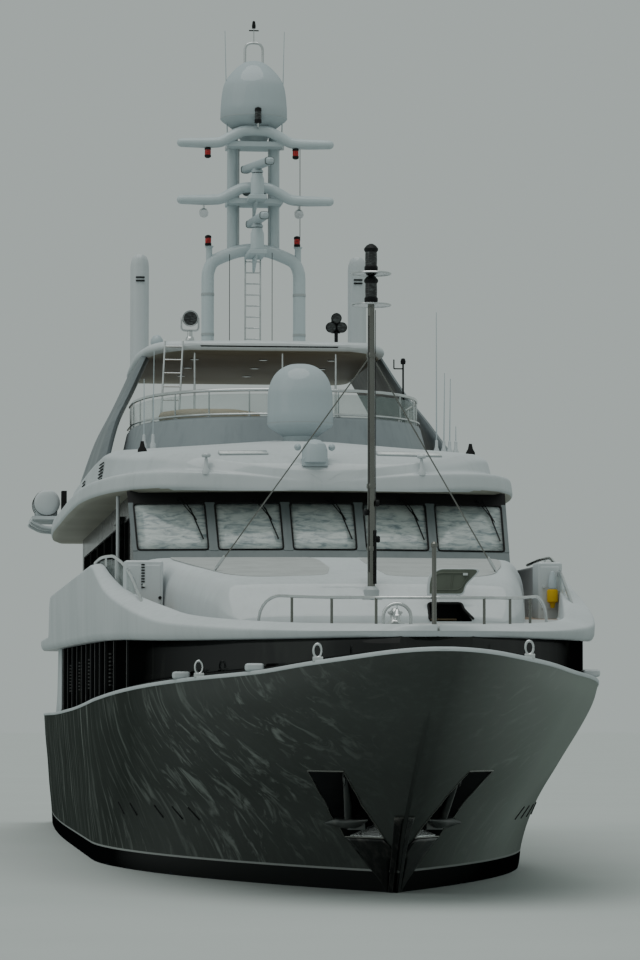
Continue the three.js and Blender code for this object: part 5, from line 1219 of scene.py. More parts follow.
def make_bow_fittings():
    """Bow rail, jackstaff, the hoop with its bell over the small winch, and the low deck hatch."""
    sizes, _ = settings()
    line = flow(RAIL_LINE, 40)
    forms, posts = [tube(np.concatenate([line, (line * MIRROR)[::-1][1:]]), sizes.rail, 10, True)], []
    for x, y in RAIL_POSTS + [RAIL_LINE[0][:2]]:
        top, foot = float(np.interp(-y, -line[:, 1], line[:, 2])), float(smooth(UPPER_FLOOR, y))
        forms += both_sides(turned(POST_FOOT, (x, y, foot), sides=16))
        if (x, y) in RAIL_POSTS:
            posts += both_sides(rod((x, y, foot), (x, y, top), 0.022))
    build("bow_rail", forms, ["steel"], replaces=["foredeck_rail"], angle=40)
    # The posts take the darker steel: painted shade.
    build("bow_rail_posts", posts, ["steel_painted_dark"], angle=40)
    foot = float(smooth(UPPER_FLOOR, STAFF_Y))
    staff = [(0, foot), (0.09, foot), (0.085, foot + 0.03), (0.045, foot + 0.06), (0.036, foot + 0.1),
             (0.034, 5.27), (0.05, 5.29), (0.05, 5.33), (0.03, 5.36), (0, 5.36)]
    # The jackstaff takes the darker steel: painted shade.
    build("jackstaff_finished", [turned(staff, (0, STAFF_Y, 0), sides=20)], ["steel_painted_dark"],
          replaces=["jackstaff"])
    y, base = HOOP_Y, float(smooth(UPPER_FLOOR, HOOP_Y))
    a = np.linspace(0, np.pi, 25)
    arc = np.column_stack([0.22 * np.cos(a), np.full(25, y), base + 0.18 + 0.21 * np.sin(a)])
    winch = [(0, 0), (0.17, 0), (0.165, 0.04), (0.1, 0.08), (0.075, 0.13), (0.08, 0.18), (0.12, 0.21),
             (0.125, 0.235), (0.07, 0.25), (0.05, 0.29), (0, 0.3)]
    bell = [(0, 0.1), (0.02, 0.1), (0.045, 0.07), (0.055, 0.03), (0.075, 0.0), (0.06, 0.0), (0, 0.05)]
    forms = [tube(np.concatenate([[(0.22, y, base)], arc, [(-0.22, y, base)]]), 0.028, 12),
             turned(winch, (0, y + 0.25, base + 0.03), sides=24), turned(bell, (0, y, base + 0.2), sides=20),
             rod((0, y, base + 0.3), (0, y, base + 0.39), 0.008)]
    forms += both_sides(turned(POST_FOOT, (0.22, y, base), sides=16))
    build("bow_hoop_finished", forms, ["steel"], replaces=["bow_hoop"], angle=40)
    build("winch_seat", [block(-0.3, 0.3, y - 0.08, y + 0.45, base - 0.02, base + 0.03)], ["white"],
          bevel=0.015)
    loop = fillet(np.array(DECK_HATCH + DECK_HATCH[:1]), 0.15, 4)[:-1]
    rings = []
    for grow, lift in ((1.0, 0.0), (1.0, 0.035), (0.97, 0.05), (0.02, 0.055)):
        flat = loop.mean(0) + (loop - loop.mean(0)) * grow
        rings.append(np.column_stack([flat, smooth(UPPER_FLOOR, flat[:, 1]) + lift]))
    build("foredeck_hatch", [skin(np.array(rings))], ["grip_grey"], angle=40)


FOREMAST_Y = -16.1
STAY = ((2.46, -13.9), 8.85)  # foot x, y and the height on the mast
LAMP_TIERS = (9.72, 10.25)


def make_foremast():
    """Polished pole with two lamp tiers over discs, cleats and blocks at its foot, and two stays."""
    y = FOREMAST_Y
    foot = float(trunk_top(y)) - 0.1
    at = (0, y, 0)
    forms = [turned([(0, foot), (0.066, foot), (0.064, 7.0), (0.058, 9.66), (0, 9.66)], at, sides=24)]
    collar = np.array([(0, 0), (0.075, 0), (0.08, 0.02), (0.08, 0.06), (0.075, 0.08), (0, 0.08)])
    forms += [turned(collar + np.array([0, z]), at, sides=24) for z in (5.55, 6.6, 8.8)]
    disc = np.array([(0, -0.02), (0.08, -0.02), (0.33, 0), (0.345, 0.015), (0.33, 0.03), (0.08, 0.05),
                     (0, 0.05)])
    bright = [turned(disc + np.array([0, z]), at, sides=36) for z in (9.67, 10.2)]
    (sx, sy), head = STAY
    low, high = np.array([sx, sy, float(trunk_top(sy))]), np.array([0, y, head])
    w = (high - low) / np.linalg.norm(high - low)
    forms += both_sides(rod(low - np.array([0, 0, 0.02]), high, 0.012, 6))
    bright += both_sides(rod(low + w * 0.08, low + w * 0.34, 0.03, 10))
    bright += both_sides(rod(low, low + w * 0.08, 0.018, 8))
    # The pole takes the darker steel: painted shade.
    build("foremast_pole", forms, ["steel_painted_dark"], replaces=["foremast"], angle=40)
    build("foremast_discs", bright, ["steel"], angle=40)
    lamp = [(0, 0), (0.1, 0), (0.115, 0.03), (0.115, 0.08), (0.1, 0.1), (0, 0.1)]
    hood = [(0, 0.33), (0.1, 0.33), (0.12, 0.36), (0.12, 0.39), (0.08, 0.44), (0.03, 0.47), (0, 0.47)]
    pane = [(0, 0.1), (0.1, 0.1), (0.104, 0.2), (0.1, 0.33), (0, 0.33)]
    caps = [turned(rows, (0, y, z), sides=24) for z in LAMP_TIERS for rows in (lamp, hood)]
    build("foremast_lamp_caps", caps, ["black"])
    build("foremast_lamp_lenses", [turned(pane, (0, y, z), sides=24) for z in LAMP_TIERS], ["lamp_glass"])
    socket = [(0, foot), (0.13, foot), (0.13, foot + 0.16), (0.1, foot + 0.2), (0.07, foot + 0.22),
              (0, foot + 0.22)]
    build("foremast_socket",
          [turned(socket, at, sides=28), block(-0.17, 0.17, y - 0.12, y + 0.2, foot - 0.05, foot + 0.05)],
          ["soft_white"], bevel=0.01)
    wheel = [(0, -0.03), (0.05, -0.03), (0.06, 0), (0.05, 0.03), (0, 0.03)]
    blocks = []
    for x, z in ((0.11, 5.75), (-0.1, 6.2), (0.1, 6.35)):
        blocks += [turned(wheel, (x, y - 0.02, z), (1, 0, 0), 16), rod((0, y, z), (x, y - 0.02, z), 0.015, 8)]
    for x, dy, z0, z1, radius in ((0.06, 0.07, 5.0, 5.9, 0.02), (-0.05, 0.06, 5.2, 9.5, 0.006),
                                  (0.07, 0.03, 5.2, 9.6, 0.006)):
        blocks.append(rod((x, y - dy, z0), (x, y - dy, z1), radius, 8))
    build("foremast_blocks", blocks, ["black"])


# Roof of the bridge house and the fittings on it

ROOF = [  # y, brow half, brow low, ledge, tier half, tier top, crown
    (-9.09, 0.06, 7.09, 7.1, 0.04, 7.11, 7.12), (-9.08, 0.4, 7.02, 7.14, 0.3, 7.2, 7.22),
    (-9.05, 0.9, 6.98, 7.2, 0.6, 7.3, 7.33), (-8.95, 1.9, 6.98, 7.3, 1.5, 7.45, 7.48),
    (-8.6, 2.9, 7.0, 7.36, 2.5, 7.62, 7.66), (-7.9, 3.5, 7.0, 7.38, 3.05, 7.76, 7.8),
    (-6.5, 3.95, 7.0, 7.38, 3.5, 7.86, 8.02), (-4.6, 4.2, 7.0, 7.38, 3.75, 8.0, 8.24),
    (-2.4, 4.32, 7.0, 7.38, 3.85, 8.15, 8.36), (2, 4.36, 7.0, 7.38, 3.9, 8.15, 8.2),
    (8, 4.36, 7.0, 7.38, 3.9, 8.15, 8.2), (12.6, 4.2, 7.0, 7.38, 3.75, 8.1, 8.15),
    (14.4, 3.9, 7.05, 7.4, 3.5, 7.98, 8.05), (15, 3.4, 7.15, 7.45, 3.1, 7.8, 7.85)]
ROOF_FLOW = flow(ROOF, 130)
SUN_DECK_Z = 7.95
COCKPIT = [(-2.9, -1.9), (-1.6, -2.7), (1.6, -2.7), (2.9, -1.9), (3.2, 0), (3.2, 13.6), (-3.2, 13.6),
           (-3.2, 0)]


def roof_z(x, y):
    """Height of the roof: falls from the crown to the edge of the tier in proportion to the half-width."""
    half, top, crown = (np.interp(y, ROOF_FLOW[:, 0], ROOF_FLOW[:, k]) for k in (4, 5, 6))
    return crown - (crown - top) * np.clip(np.abs(x) / np.maximum(half - 0.3, 0.1), 0, 1)


def make_roof():
    """Brow, ledge and tier in one section, carried from the point of the brow to the aft overhang."""
    y, brow, low, ledge, tier, top, crown = ROOF_FLOW.T

    def at(x, z):
        return np.stack([np.maximum(x, 0.01), y, z], -1)
    lift = np.minimum(0.06, (ledge - low) * 0.3)
    rise = np.minimum(0.02, (top - ledge) * 0.1)
    corners = np.stack([at(brow - 0.16, low), at(brow, low + lift), at(brow - 0.04, ledge - lift / 2),
                        at(brow - 0.1, ledge), at(tier + 0.04, ledge + rise), at(tier - 0.06, top - rise * 6),
                        at(tier - 0.3, top), at(tier * 0.5, (top + crown) / 2),
                        at(np.minimum(0.3, tier * 0.3), crown)], 1)
    roof = build("bridge_roof", [skin(mirrored(fillet(corners, 0.07, 4)))],
                 ["white", "soffit", "teak", "soft_white"], replaces=["sun_deck"], angle=38)
    carve(roof, [prism(fillet(np.array(COCKPIT + COCKPIT[:1], float), 0.3, 4)[:-1], SUN_DECK_Z, 9)], 2)
    centre, normal = face_places(roof)
    paint_faces(roof, 1, (normal[:, 2] < -0.8) & (centre[:, 2] < 7.2))
    paint_faces(roof, 3, (np.abs(normal[:, 2]) < 0.3) & (np.abs(centre[:, 0]) < 3.25)
                & (centre[:, 2] > SUN_DECK_Z))
    resharpen(roof, 38)


SKYLIGHTS = [(-1.9, -1.0, -8.45, -8.1), (1.08, 2.28, -8.45, -8.1)]  # x from and to, y from and to
CAMERA_UNIT = (-0.17, -8.92)
PEDESTALS = [(-2.19, -8.83), (1.84, -8.9)]
LOUVRES = [(-3.4, -2.5), (2.6, 3.6), (10.2, 11.4)]  # y from and to


def make_roof_fittings():
    """Skylights, camera, lamp pedestals, louvres, aerial bases and small domes at the front of the roof."""
    lids, rims = [], []
    for x0, x1, y0, y1 in SKYLIGHTS:
        xs, ys = np.meshgrid(np.linspace(x0, x1, 8), np.linspace(y0, y1, 6))
        top = np.stack([xs, ys, roof_z(xs, ys) + 0.03], -1)
        lids.append(skin(top, closed=False, caps=False))
        loop = np.concatenate([top[0], top[1:, -1], top[-1, ::-1][1:], top[::-1, 0][1:]])
        rims.append(tube(loop - np.array([0, 0, 0.012]), 0.018, 8))
    thicken(build("roof_skylights", lids, ["skylight"]), 0.03)
    build("skylight_rims", rims, ["soft_white"])
    x, y = CAMERA_UNIT
    z = float(roof_z(x, y))
    whites = [block(x - 0.24, x + 0.24, y - 0.12, y + 0.16, z - 0.06, z + 0.1),
              turned([(0, z), (0.24, z), (0.24, z + 0.24), (0.2, z + 0.36), (0.1, z + 0.43), (0, z + 0.45)],
                     (x, y, 0), sides=24)]
    ball = [(0, -0.07), (0.05, -0.05), (0.07, 0), (0.05, 0.05), (0, 0.07)]
    whites += [turned(ball, (x + dx, y, z + 0.3), sides=16) for dx in (-0.32, 0.32)]
    knob = [(0, 10.84), (0.12, 10.84), (0.14, 10.9), (0.13, 10.98), (0.07, 11.06), (0, 11.08)]
    whites.append(turned(knob, (-2.32, 3.0, 0), sides=24))
    build("camera_and_balls", whites, ["dome"], bevel=0.02)
    posts, blacks = [], []
    for x, y in PEDESTALS:
        foot = [(0, 7.28), (0.075, 7.28), (0.075, 7.36), (0.04, 7.42), (0.028, 7.6), (0, 7.6)]
        head = [(0, 7.6), (0.08, 7.61), (0.09, 7.65), (0.06, 7.69), (0, 7.7)]
        posts += [turned(foot, (x, y, 0), sides=18), turned(head, (x, y, 0), sides=18)]
    build("roof_pedestals", posts, ["white"], bevel=0.015)
    for y0, y1 in LOUVRES:
        for z in 7.47 + 0.065 * np.arange(7):
            x0, x1 = (float(np.interp(v, ROOF_FLOW[:, 0], ROOF_FLOW[:, 4])) + 0.05 - (z - 7.4) * 0.13
                      for v in (y0, y1))
            blacks += both_sides(rod((x0, y0, z), (x1, y1, z), 0.014, 5))
    base = [(0, 0), (0.09, 0), (0.09, 0.05), (0.05, 0.12), (0.03, 0.22), (0, 0.22)]
    blacks += both_sides(turned(base, (3.2, -6.0, float(roof_z(3.2, -6.0)) - 0.02), sides=18))
    build("louvres", blacks, ["rubber"])


WHIPS = [  # foot x, y, height of the foot or None for the roof, lean outwards, height of the head
    (-2.99, -3.2, None, 0.0, 9.56), (-2.81, -3.2, None, 0.02, 10.13), (3.1, -2.0, None, 0.0, 11.1),
    (3.25, -2.0, None, 0.02, 9.85), (3.37, -2.0, None, 0.02, 9.73), (3.5, -2.0, None, 0.0, 8.75),
    (-0.6, 5.2, 15.6, -0.06, 18.18), (0.62, 5.2, 15.6, 0.06, 18.18)]
LINES = [(1.01, 13.42, 15.5), (-0.57, 10.88, 13.1), (0.385, 10.88, 13.15)]  # x, foot, head
SIDE_AERIAL = (2.94, 2.0)
BROW_POST = (3.7, -6.6)


def make_whips():
    """Whip aerials, each on a turned foot, the lines beside the mast and the side aerial."""
    rods, feet = [], []
    for x, y, z, lean, top in WHIPS:
        foot = np.array([x, y, float(roof_z(x, y)) + 0.08 if z is None else z])
        head = np.array([x + lean, y, top])
        rods.append(tube(foot + (head - foot) * np.linspace(0, 1, 12)[:, None],
                         np.linspace(0.014, 0.007, 12), 8))
        feet.append(turned([(0, -0.1), (0.06, -0.1), (0.06, 0.0), (0.035, 0.06), (0.03, 0.2), (0, 0.22)],
                           foot, head - foot, 16))
    build("whip_aerials", rods, ["dome"])
    build("whip_feet", feet, ["white"])
    lines = [rod((x, SPREADER_Y + 0.1, z0), (x, SPREADER_Y + 0.1, z1), 0.008, 5) for x, z0, z1 in LINES]
    build("halyards", lines, ["rubber"])
    x, y = SIDE_AERIAL
    build("side_aerial", [
        rod((x, y, 8.3), (x, y, 9.6), 0.03), rod((x, y, 9.6), (x, y, 10.4), 0.02),
        turned([(0, 0), (0.05, 0), (0.06, 0.06), (0.04, 0.12), (0, 0.13)], (x, y, 10.4), sides=20),
        rod((x - 0.2, y, 10.3), (x, y, 10.3), 0.014), rod((x - 0.2, y, 10.3), (x - 0.2, y, 10.5), 0.014)],
        ["black"])
    x, y = BROW_POST
    build("brow_posts", both_sides(rod((x, y, UPPER_FLOOR_Z), (x, y, 7.02), 0.035)), ["white"])


# Windscreen and bridge house

SCREEN = [(-3.53, -8.7, -7.75), (-2.05, -9.05, -8.1), (-0.68, -9.28, -8.33), (0.68, -9.28, -8.33),
          (2.05, -9.05, -8.1), (3.53, -8.7, -7.75)]  # x, y at the sill, y at the head
SCREEN_SILL, SCREEN_HEAD, PANE_LOW, PANE_HIGH = 5.76, 7.0, 5.88, 6.78
MULLION = 0.09


def on_screen(facet, across, z, out):
    """A point on a raked facet: across is the share of its width, out the distance along its normal."""
    (xa, sa, ha), (xb, sb, hb) = SCREEN[facet], SCREEN[facet + 1]
    share = (z - SCREEN_SILL) / (SCREEN_HEAD - SCREEN_SILL)
    spread = 1 + 0.06 * share / 3.53
    a = np.array([xa * spread, sa + (ha - sa) * share, z])
    b = np.array([xb * spread, sb + (hb - sb) * share, z])
    rise = np.array([0, (ha + hb - sa - sb) / 2, SCREEN_HEAD - SCREEN_SILL])
    normal = np.cross(b - a, rise)
    return a + (b - a) * across + normal / np.linalg.norm(normal) * out


def screen_slab(facet, u0, u1, z0, z1, low, high):
    """A flat strip of a facet between two depths."""
    corners = ((u0, z0), (u1, z0), (u1, z1), (u0, z1))
    return skin(np.array([[on_screen(facet, u, z, out) for u, z in corners] for out in (low, high)]))


def pane_loop(facet, out):
    """The rounded outline of a facet's pane, in points, from the middle of its foot."""
    u = MULLION / abs(SCREEN[facet + 1][0] - SCREEN[facet][0])
    corners = [(0.5, PANE_LOW), (1 - u, PANE_LOW), (1 - u, PANE_HIGH), (u, PANE_HIGH), (u, PANE_LOW),
               (0.5, PANE_LOW)]
    return fillet(np.array([on_screen(facet, a, z, out) for a, z in corners]), 0.07, 4)


def make_windscreen():
    """Five raked panes: grey frame, black gaskets and header, wipers hung from the header."""
    posts, header, panes, sills, arms = [], [], [], [], []
    for facet in range(5):
        width = abs(SCREEN[facet + 1][0] - SCREEN[facet][0])
        u = MULLION / width
        posts += [screen_slab(facet, a, b, PANE_LOW - 0.02, PANE_HIGH + 0.02, -0.2, 0.012)
                  for a, b in ((-0.004, u), (1 - u, 1.004))]
        sills.append(screen_slab(facet, -0.004, 1.004, SCREEN_SILL - 0.16, PANE_LOW, -0.2, 0.0))
        header += [screen_slab(facet, -0.004, 1.004, PANE_HIGH, SCREEN_HEAD + 0.03, -0.2, 0.004),
                   tube(pane_loop(facet, 0.006), 0.017, 8)]
        across, up = np.linspace(u * 0.8, 1 - u * 0.8, 6), np.linspace(PANE_LOW - 0.02, PANE_HIGH + 0.02, 5)
        grid = [[on_screen(facet, a, z, -0.03) for a in across] for z in up]
        panes.append(skin(np.array(grid), closed=False, caps=False))
        pivot, hub = (on_screen(facet, 1 - k / width, z, out) for k, z, out in
                      ((0.56, PANE_HIGH + 0.07, 0.0), (0.26, 6.42, 0.06)))
        out = on_screen(facet, 0.5, 6, 1) - on_screen(facet, 0.5, 6, 0)
        arms += [rod(on_screen(facet, 1 - k / width, PANE_HIGH + 0.07, 0.05), hub, 0.011, 6)
                 for k in (0.56, 0.47)]
        arms += [rod(*(on_screen(facet, 1 - k / width, z, 0.035) for k, z in ((0.36, 6.66), (0.17, 6.07))),
                     0.014, 6), turned([(0, 0), (0.035, 0), (0.03, 0.05), (0, 0.055)], pivot, out, 14)]
    build("screen_frame", posts, ["frame_grey"], replaces=["windscreen_frame"], bevel=0.01)
    build("screen_sill", sills, ["frame_grey"], bevel=0.008)
    build("screen_header", header, ["rubber"])
    thicken(build("screen_panes", panes, ["screen_glass"], replaces=["windscreen_glass"]), 0.03)
    build("wipers", arms, ["black"])


HOUSE_HALF = 3.5
SIDE_WINDOWS = [(-7.0, -5.55), (-3.9, -1.3), (-1.0, 1.6), (1.9, 4.5), (4.8, 7.4), (7.7, 10.6)]  # y
GRAB_RAILS = [(-7.9, -5.6), (-3.1, 1.4), (2.0, 7.2)]
HOUSE_LOOKS = {"bridge_house": "house_side", "side_glass_port": "side_glass",
               "side_glass_stbd": "side_glass", "bridge_door_port": "side_glass",
               "bridge_door_stbd": "side_glass", "lounge_door": "side_glass", "saloon_door": "dark_glass",
               "saloon_screen": "white"}


def make_bridge_house():
    """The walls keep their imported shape; gaskets round the openings, handles and grab rails are added."""
    for node, look in HOUSE_LOOKS.items():
        dress(node, look)
    loops, x = [], HOUSE_HALF + 0.004
    for y0, y1 in SIDE_WINDOWS:
        middle = (y0 + y1) / 2
        loop = [(middle, 5.55), (y1, 5.55), (y1, 6.55), (y0, 6.55), (y0, 5.55), (middle, 5.55)]
        loops += both_sides(tube(fillet([(x, y, z) for y, z in loop], 0.08, 4), 0.018, 6))
    build("side_gaskets", loops, ["rubber"])
    rails = []
    for y0, y1 in GRAB_RAILS:
        rail = [(HOUSE_HALF, y0, 5.3), (3.57, y0, 5.3), (3.57, y1, 5.3), (HOUSE_HALF, y1, 5.3)]
        rails += both_sides(tube(bend(rail, 0.05), 0.014, 8))
    build("house_grab_rails", rails, ["steel"])
    for word, side in (("port", 1), ("stbd", -1)):
        lo, hi = (np.array(corner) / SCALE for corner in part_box("bridge_door_" + word))
        x, y = hi[0] if side > 0 else lo[0], hi[1] - 0.12
        grip = [(x, y, 5.5), (x + side * 0.05, y, 5.5), (x + side * 0.05, y, 5.8), (x, y, 5.8)]
        build("bridge_door_handle_" + word, [tube(bend(grip, 0.03), 0.012, 8)], ["steel"],
              body="bridge_door_" + word)


# Sun-deck screen, hardtop and mast

COAMING = [(3.05, 1.6), (3.05, 0.4), (2.9, -0.9), (2.4, -2.1), (1.6, -2.85), (0.6, -3.15), (0.0, -3.2)]
COAMING_TOP, RAIL_TOP = 8.84, 9.4
AWNING_POSTS, AWNING_Y = (-1.59, 0.3, 1.45), 1.8
ROLL = [(-2.3, 0.8, 9.1), (-1.7, 0.7, 9.16), (-1.0, 0.66, 9.16), (-0.4, 0.7, 9.1)]  # stowed cover


def coaming_plan(inset, count=60):
    """Port half of the coaming's plan moved inwards, from aft to the centreline, then its mirror image."""
    x, y = flow(COAMING, count).T
    half = np.stack([x - inset * np.minimum(1, x / 2), y + inset], 1)
    return np.concatenate([half, half[:-1][::-1] * np.array([-1, 1])])


def plan_band(rows):
    """Closed section (inset, height) carried round the coaming's plan."""
    rings = [np.column_stack([coaming_plan(inset), np.full(119, z)]) for inset, z in rows]
    return skin(np.array(rings).transpose(1, 0, 2))


def make_sun_deck_screen():
    """Sloping coaming, the glass on it, and the polished rail over the glass with its posts."""
    section = fillet([(0.06, 8.1), (-0.14, 8.1), (-0.13, 8.25), (0.0, 8.8), (0.04, COAMING_TOP),
                      (0.2, COAMING_TOP), (0.22, 8.78), (0.1, 8.1), (0.06, 8.1)], 0.04, 3)[:-1]
    build("coaming_skin", [plan_band(section)], ["grey"], replaces=["sun_deck_coaming"],
          angle=40)
    pane = [(0.06, COAMING_TOP), (0.06, RAIL_TOP - 0.1), (0.085, RAIL_TOP - 0.1), (0.085, COAMING_TOP)]
    build("coaming_glass", [plan_band(pane)], ["clear_glass"], replaces=["sun_deck_glass"])
    plan = coaming_plan(0.075)
    rails = [tube(np.column_stack([plan, np.full(119, RAIL_TOP - 0.02)]), 0.034, 12, True),
             tube(np.column_stack([coaming_plan(0.02), np.full(119, COAMING_TOP + 0.05)]), 0.02, 8, True)]
    for k in np.linspace(2, 116, 15).astype(int):
        x, y = plan[k]
        rails += [rod((x, y, COAMING_TOP - 0.01), (x, y, RAIL_TOP - 0.02), 0.016, 8),
                  turned([(0, 0), (0.045, 0), (0.04, 0.02), (0, 0.022)], (x, y, COAMING_TOP), sides=12)]
    rails += [rod((x, AWNING_Y, SUN_DECK_Z), (x, AWNING_Y, 10.62), 0.022, 10) for x in AWNING_POSTS]
    build("coaming_rail", rails, ["steel"], replaces=["sun_deck_rail"], angle=40)
    seat = [block(-1.9, 1.9, -2.0, -1.4, SUN_DECK_Z, 8.4), block(-1.9, 1.9, -2.1, -1.95, SUN_DECK_Z, 8.8),
            block(-1.1, 0.9, -0.2, 0.6, SUN_DECK_Z, 8.8)]
    build("helm_and_seats", seat, ["tan"], bevel=0.06)
    build("stowed_cover", [tube(flow(ROLL, 14), 0.13, 14, True)], ["tan"])


HARDTOP = [  # y, half, low, high
    (1.57, 1.5, 10.66, 10.74), (1.6, 1.9, 10.62, 10.78), (1.8, 2.35, 10.58, 10.83), (2.6, 2.62, 10.56, 10.84),
    (5, 2.72, 10.56, 10.88), (8.6, 2.66, 10.56, 10.84), (9.6, 2.3, 10.6, 10.78), (9.63, 2.1, 10.64, 10.74)]
WINGS = [  # height, front, back, outside
    (7.95, -1.3, 8.7, 3.8), (9.0, 0.9, 8.0, 3.45), (9.8, 2.1, 7.8, 3.05), (10.7, 3.0, 8.3, 2.62)]
WING_THICKNESS = 0.22
STACK = {"x": 2.48, "y": 6.5, "radius": 0.21, "bore": 0.18, "top": 13.45, "slope": 0.24}


def stack_top(y):
    """The stacks' tops fall aft in proportion to the distance past y 5.5."""
    return STACK["top"] - (y - 5.5) * STACK["slope"]


def make_hardtop():
    """Rounded slab on two raked wings, with two exhaust stacks and the searchlight's plinth."""
    y, half, low, high = flow(HARDTOP, 50).T

    def at(x, z):
        return np.stack([x, y, z], -1)
    corners = np.stack([at(half - 0.14, low), at(half, low + 0.08), at(half - 0.04, high - 0.06),
                        at(half - 0.2, high), at(half * 0 + 0.4, high + 0.03)], 1)
    slab = build("hardtop_slab", [skin(mirrored(fillet(corners, 0.08, 4)))], ["white", "soffit"],
                 replaces=["hardtop"], angle=38)
    _, normal = face_places(slab)
    paint_faces(slab, 1, normal[:, 2] < -0.9)
    z, front, back, out = flow(WINGS, 26).T
    t = WING_THICKNESS
    half_loop = [(out - t * 0.5, front), (out - 0.02, front + 0.16), (out, front + 0.5), (out, back - 0.5),
                 (out - 0.02, back - 0.14), (out - t * 0.5, back), (out - t + 0.02, back - 0.14),
                 (out - t, back - 0.5), (out - t, front + 0.5), (out - t + 0.02, front + 0.16),
                 (out - t * 0.5, front)]
    wing = skin(fillet(np.stack([np.column_stack([x, yy, z]) for x, yy in half_loop], 1), 0.12, 2)[:, :-1])
    # The wings take the darker grey: painted shade.
    build("hardtop_wings", both_sides(wing), ["wing_grey_painted_shade"], angle=40)
    a = np.linspace(0, 2 * np.pi, 36, endpoint=False)
    x0, y0, r = STACK["x"], STACK["y"], STACK["radius"]
    rings = []
    for share, drop in ((1, None), (1, 0.24), (0.93, 0.12), (0.8, 0.04), (0.66, 0.0), (0.58, 0.03),
                        (0.56, 0.5)):
        y = y0 + r * share * np.sin(a)
        height = y * 0 + 10.7 if drop is None else stack_top(y) - drop
        rings.append(np.column_stack([x0 + r * share * np.cos(a), y, height]))
    plinth = [(0, 10.84), (0.17, 10.84), (0.15, 10.88), (0.12, 10.92), (0.12, 10.95), (0, 10.95)]
    build("exhaust_stacks", both_sides(skin(np.array(rings))) + [turned(plinth, (-1.6, 3, 0), sides=30)],
          ["white"], angle=40)
    lining = [turned([(0, 12.7), (0.125, 12.7), (0.125, 12.9), (0, 12.9)], (x0, y0, 0), sides=24)]
    lining += [block(x0 - 0.1, x0 + 0.1, y0 - 0.23, y0 - 0.2, h, h + 0.035) for h in (12.62, 12.7)]
    build("stack_linings", paired(lining), ["black"])
    disc = [(0, 10.545), (0.09, 10.545), (0.1, 10.565), (0, 10.57)]
    rounds = [turned(disc, (x, y, 0), sides=16) for x in (-1.5, 0, 1.5) for y in (3, 5, 7)]
    build("soffit_lamps", rounds, ["lamp_glass"])


def ladder_forms(foot, head, half, rungs, radius):
    """Two rounded stiles and their rungs, with feet."""
    foot, head = np.array(foot, float), np.array(head, float)
    side = np.array([half, 0, 0])
    forms = [tube([foot - s * side, (foot + head) / 2 - s * side, head - s * side], radius, 12, True)
             for s in (1, -1)]
    for k in range(rungs):
        centre = foot + (head - foot) * (k + 0.6) / rungs
        forms.append(rod(centre - side, centre + side, radius * 0.8, 10))
    return forms


def make_ladders():
    """The ladders up to the hardtop and up the mast: foot, head, half-width, rungs and radius."""
    for name, ends in (("hardtop_ladder", ((-2.2, 1.5, 7.94), (-2.05, 1.54, 10.8), 0.19, 10, 0.022)),
                       ("mast_ladder", ((0, 5.5, 10.86), (0, 5.48, 13.1), 0.17, 9, 0.02))):
        build(name + "_finished", ladder_forms(*ends), ["steel"], replaces=[name], angle=45)


MAST_Y = 5.3
RADAR_Y, SPREADER_Y = MAST_Y - 0.9, MAST_Y - 0.45
ARCH = [(1.03, 10.84), (1.03, 11.6), (1.03, 12.3), (1.03, 12.65), (0.93, 12.95), (0.66, 13.1), (0.3, 13.22),
        (0, 13.26)]  # x, height
SPREADER = [(1.66, 0), (1.2, 0), (0.85, 0.05), (0.5, 0.6), (0.25, 0.95), (0, 1)]  # x, share of the rise
SPREADER_LEVELS = (14.3, 15.58)
DOME_SEAT_Z = 15.98
FRONT_DOME_Y = -4.7
RADARS = [("radar_lower", 13.64, 96, 0.9), ("radar_upper", 14.86, 106, 0.85)]  # name, height, bearing, half


def arc_path(half, y):
    """A line (x, height) and its mirror image as a smooth path at one y."""
    line = flow([(x, h, 0) for x, h in half], 26)[:, :2]
    both = np.concatenate([line, line[:-1][::-1] * np.array([-1, 1])])
    return np.column_stack([both[:, 0], np.full(len(both), float(y)), both[:, 1]])


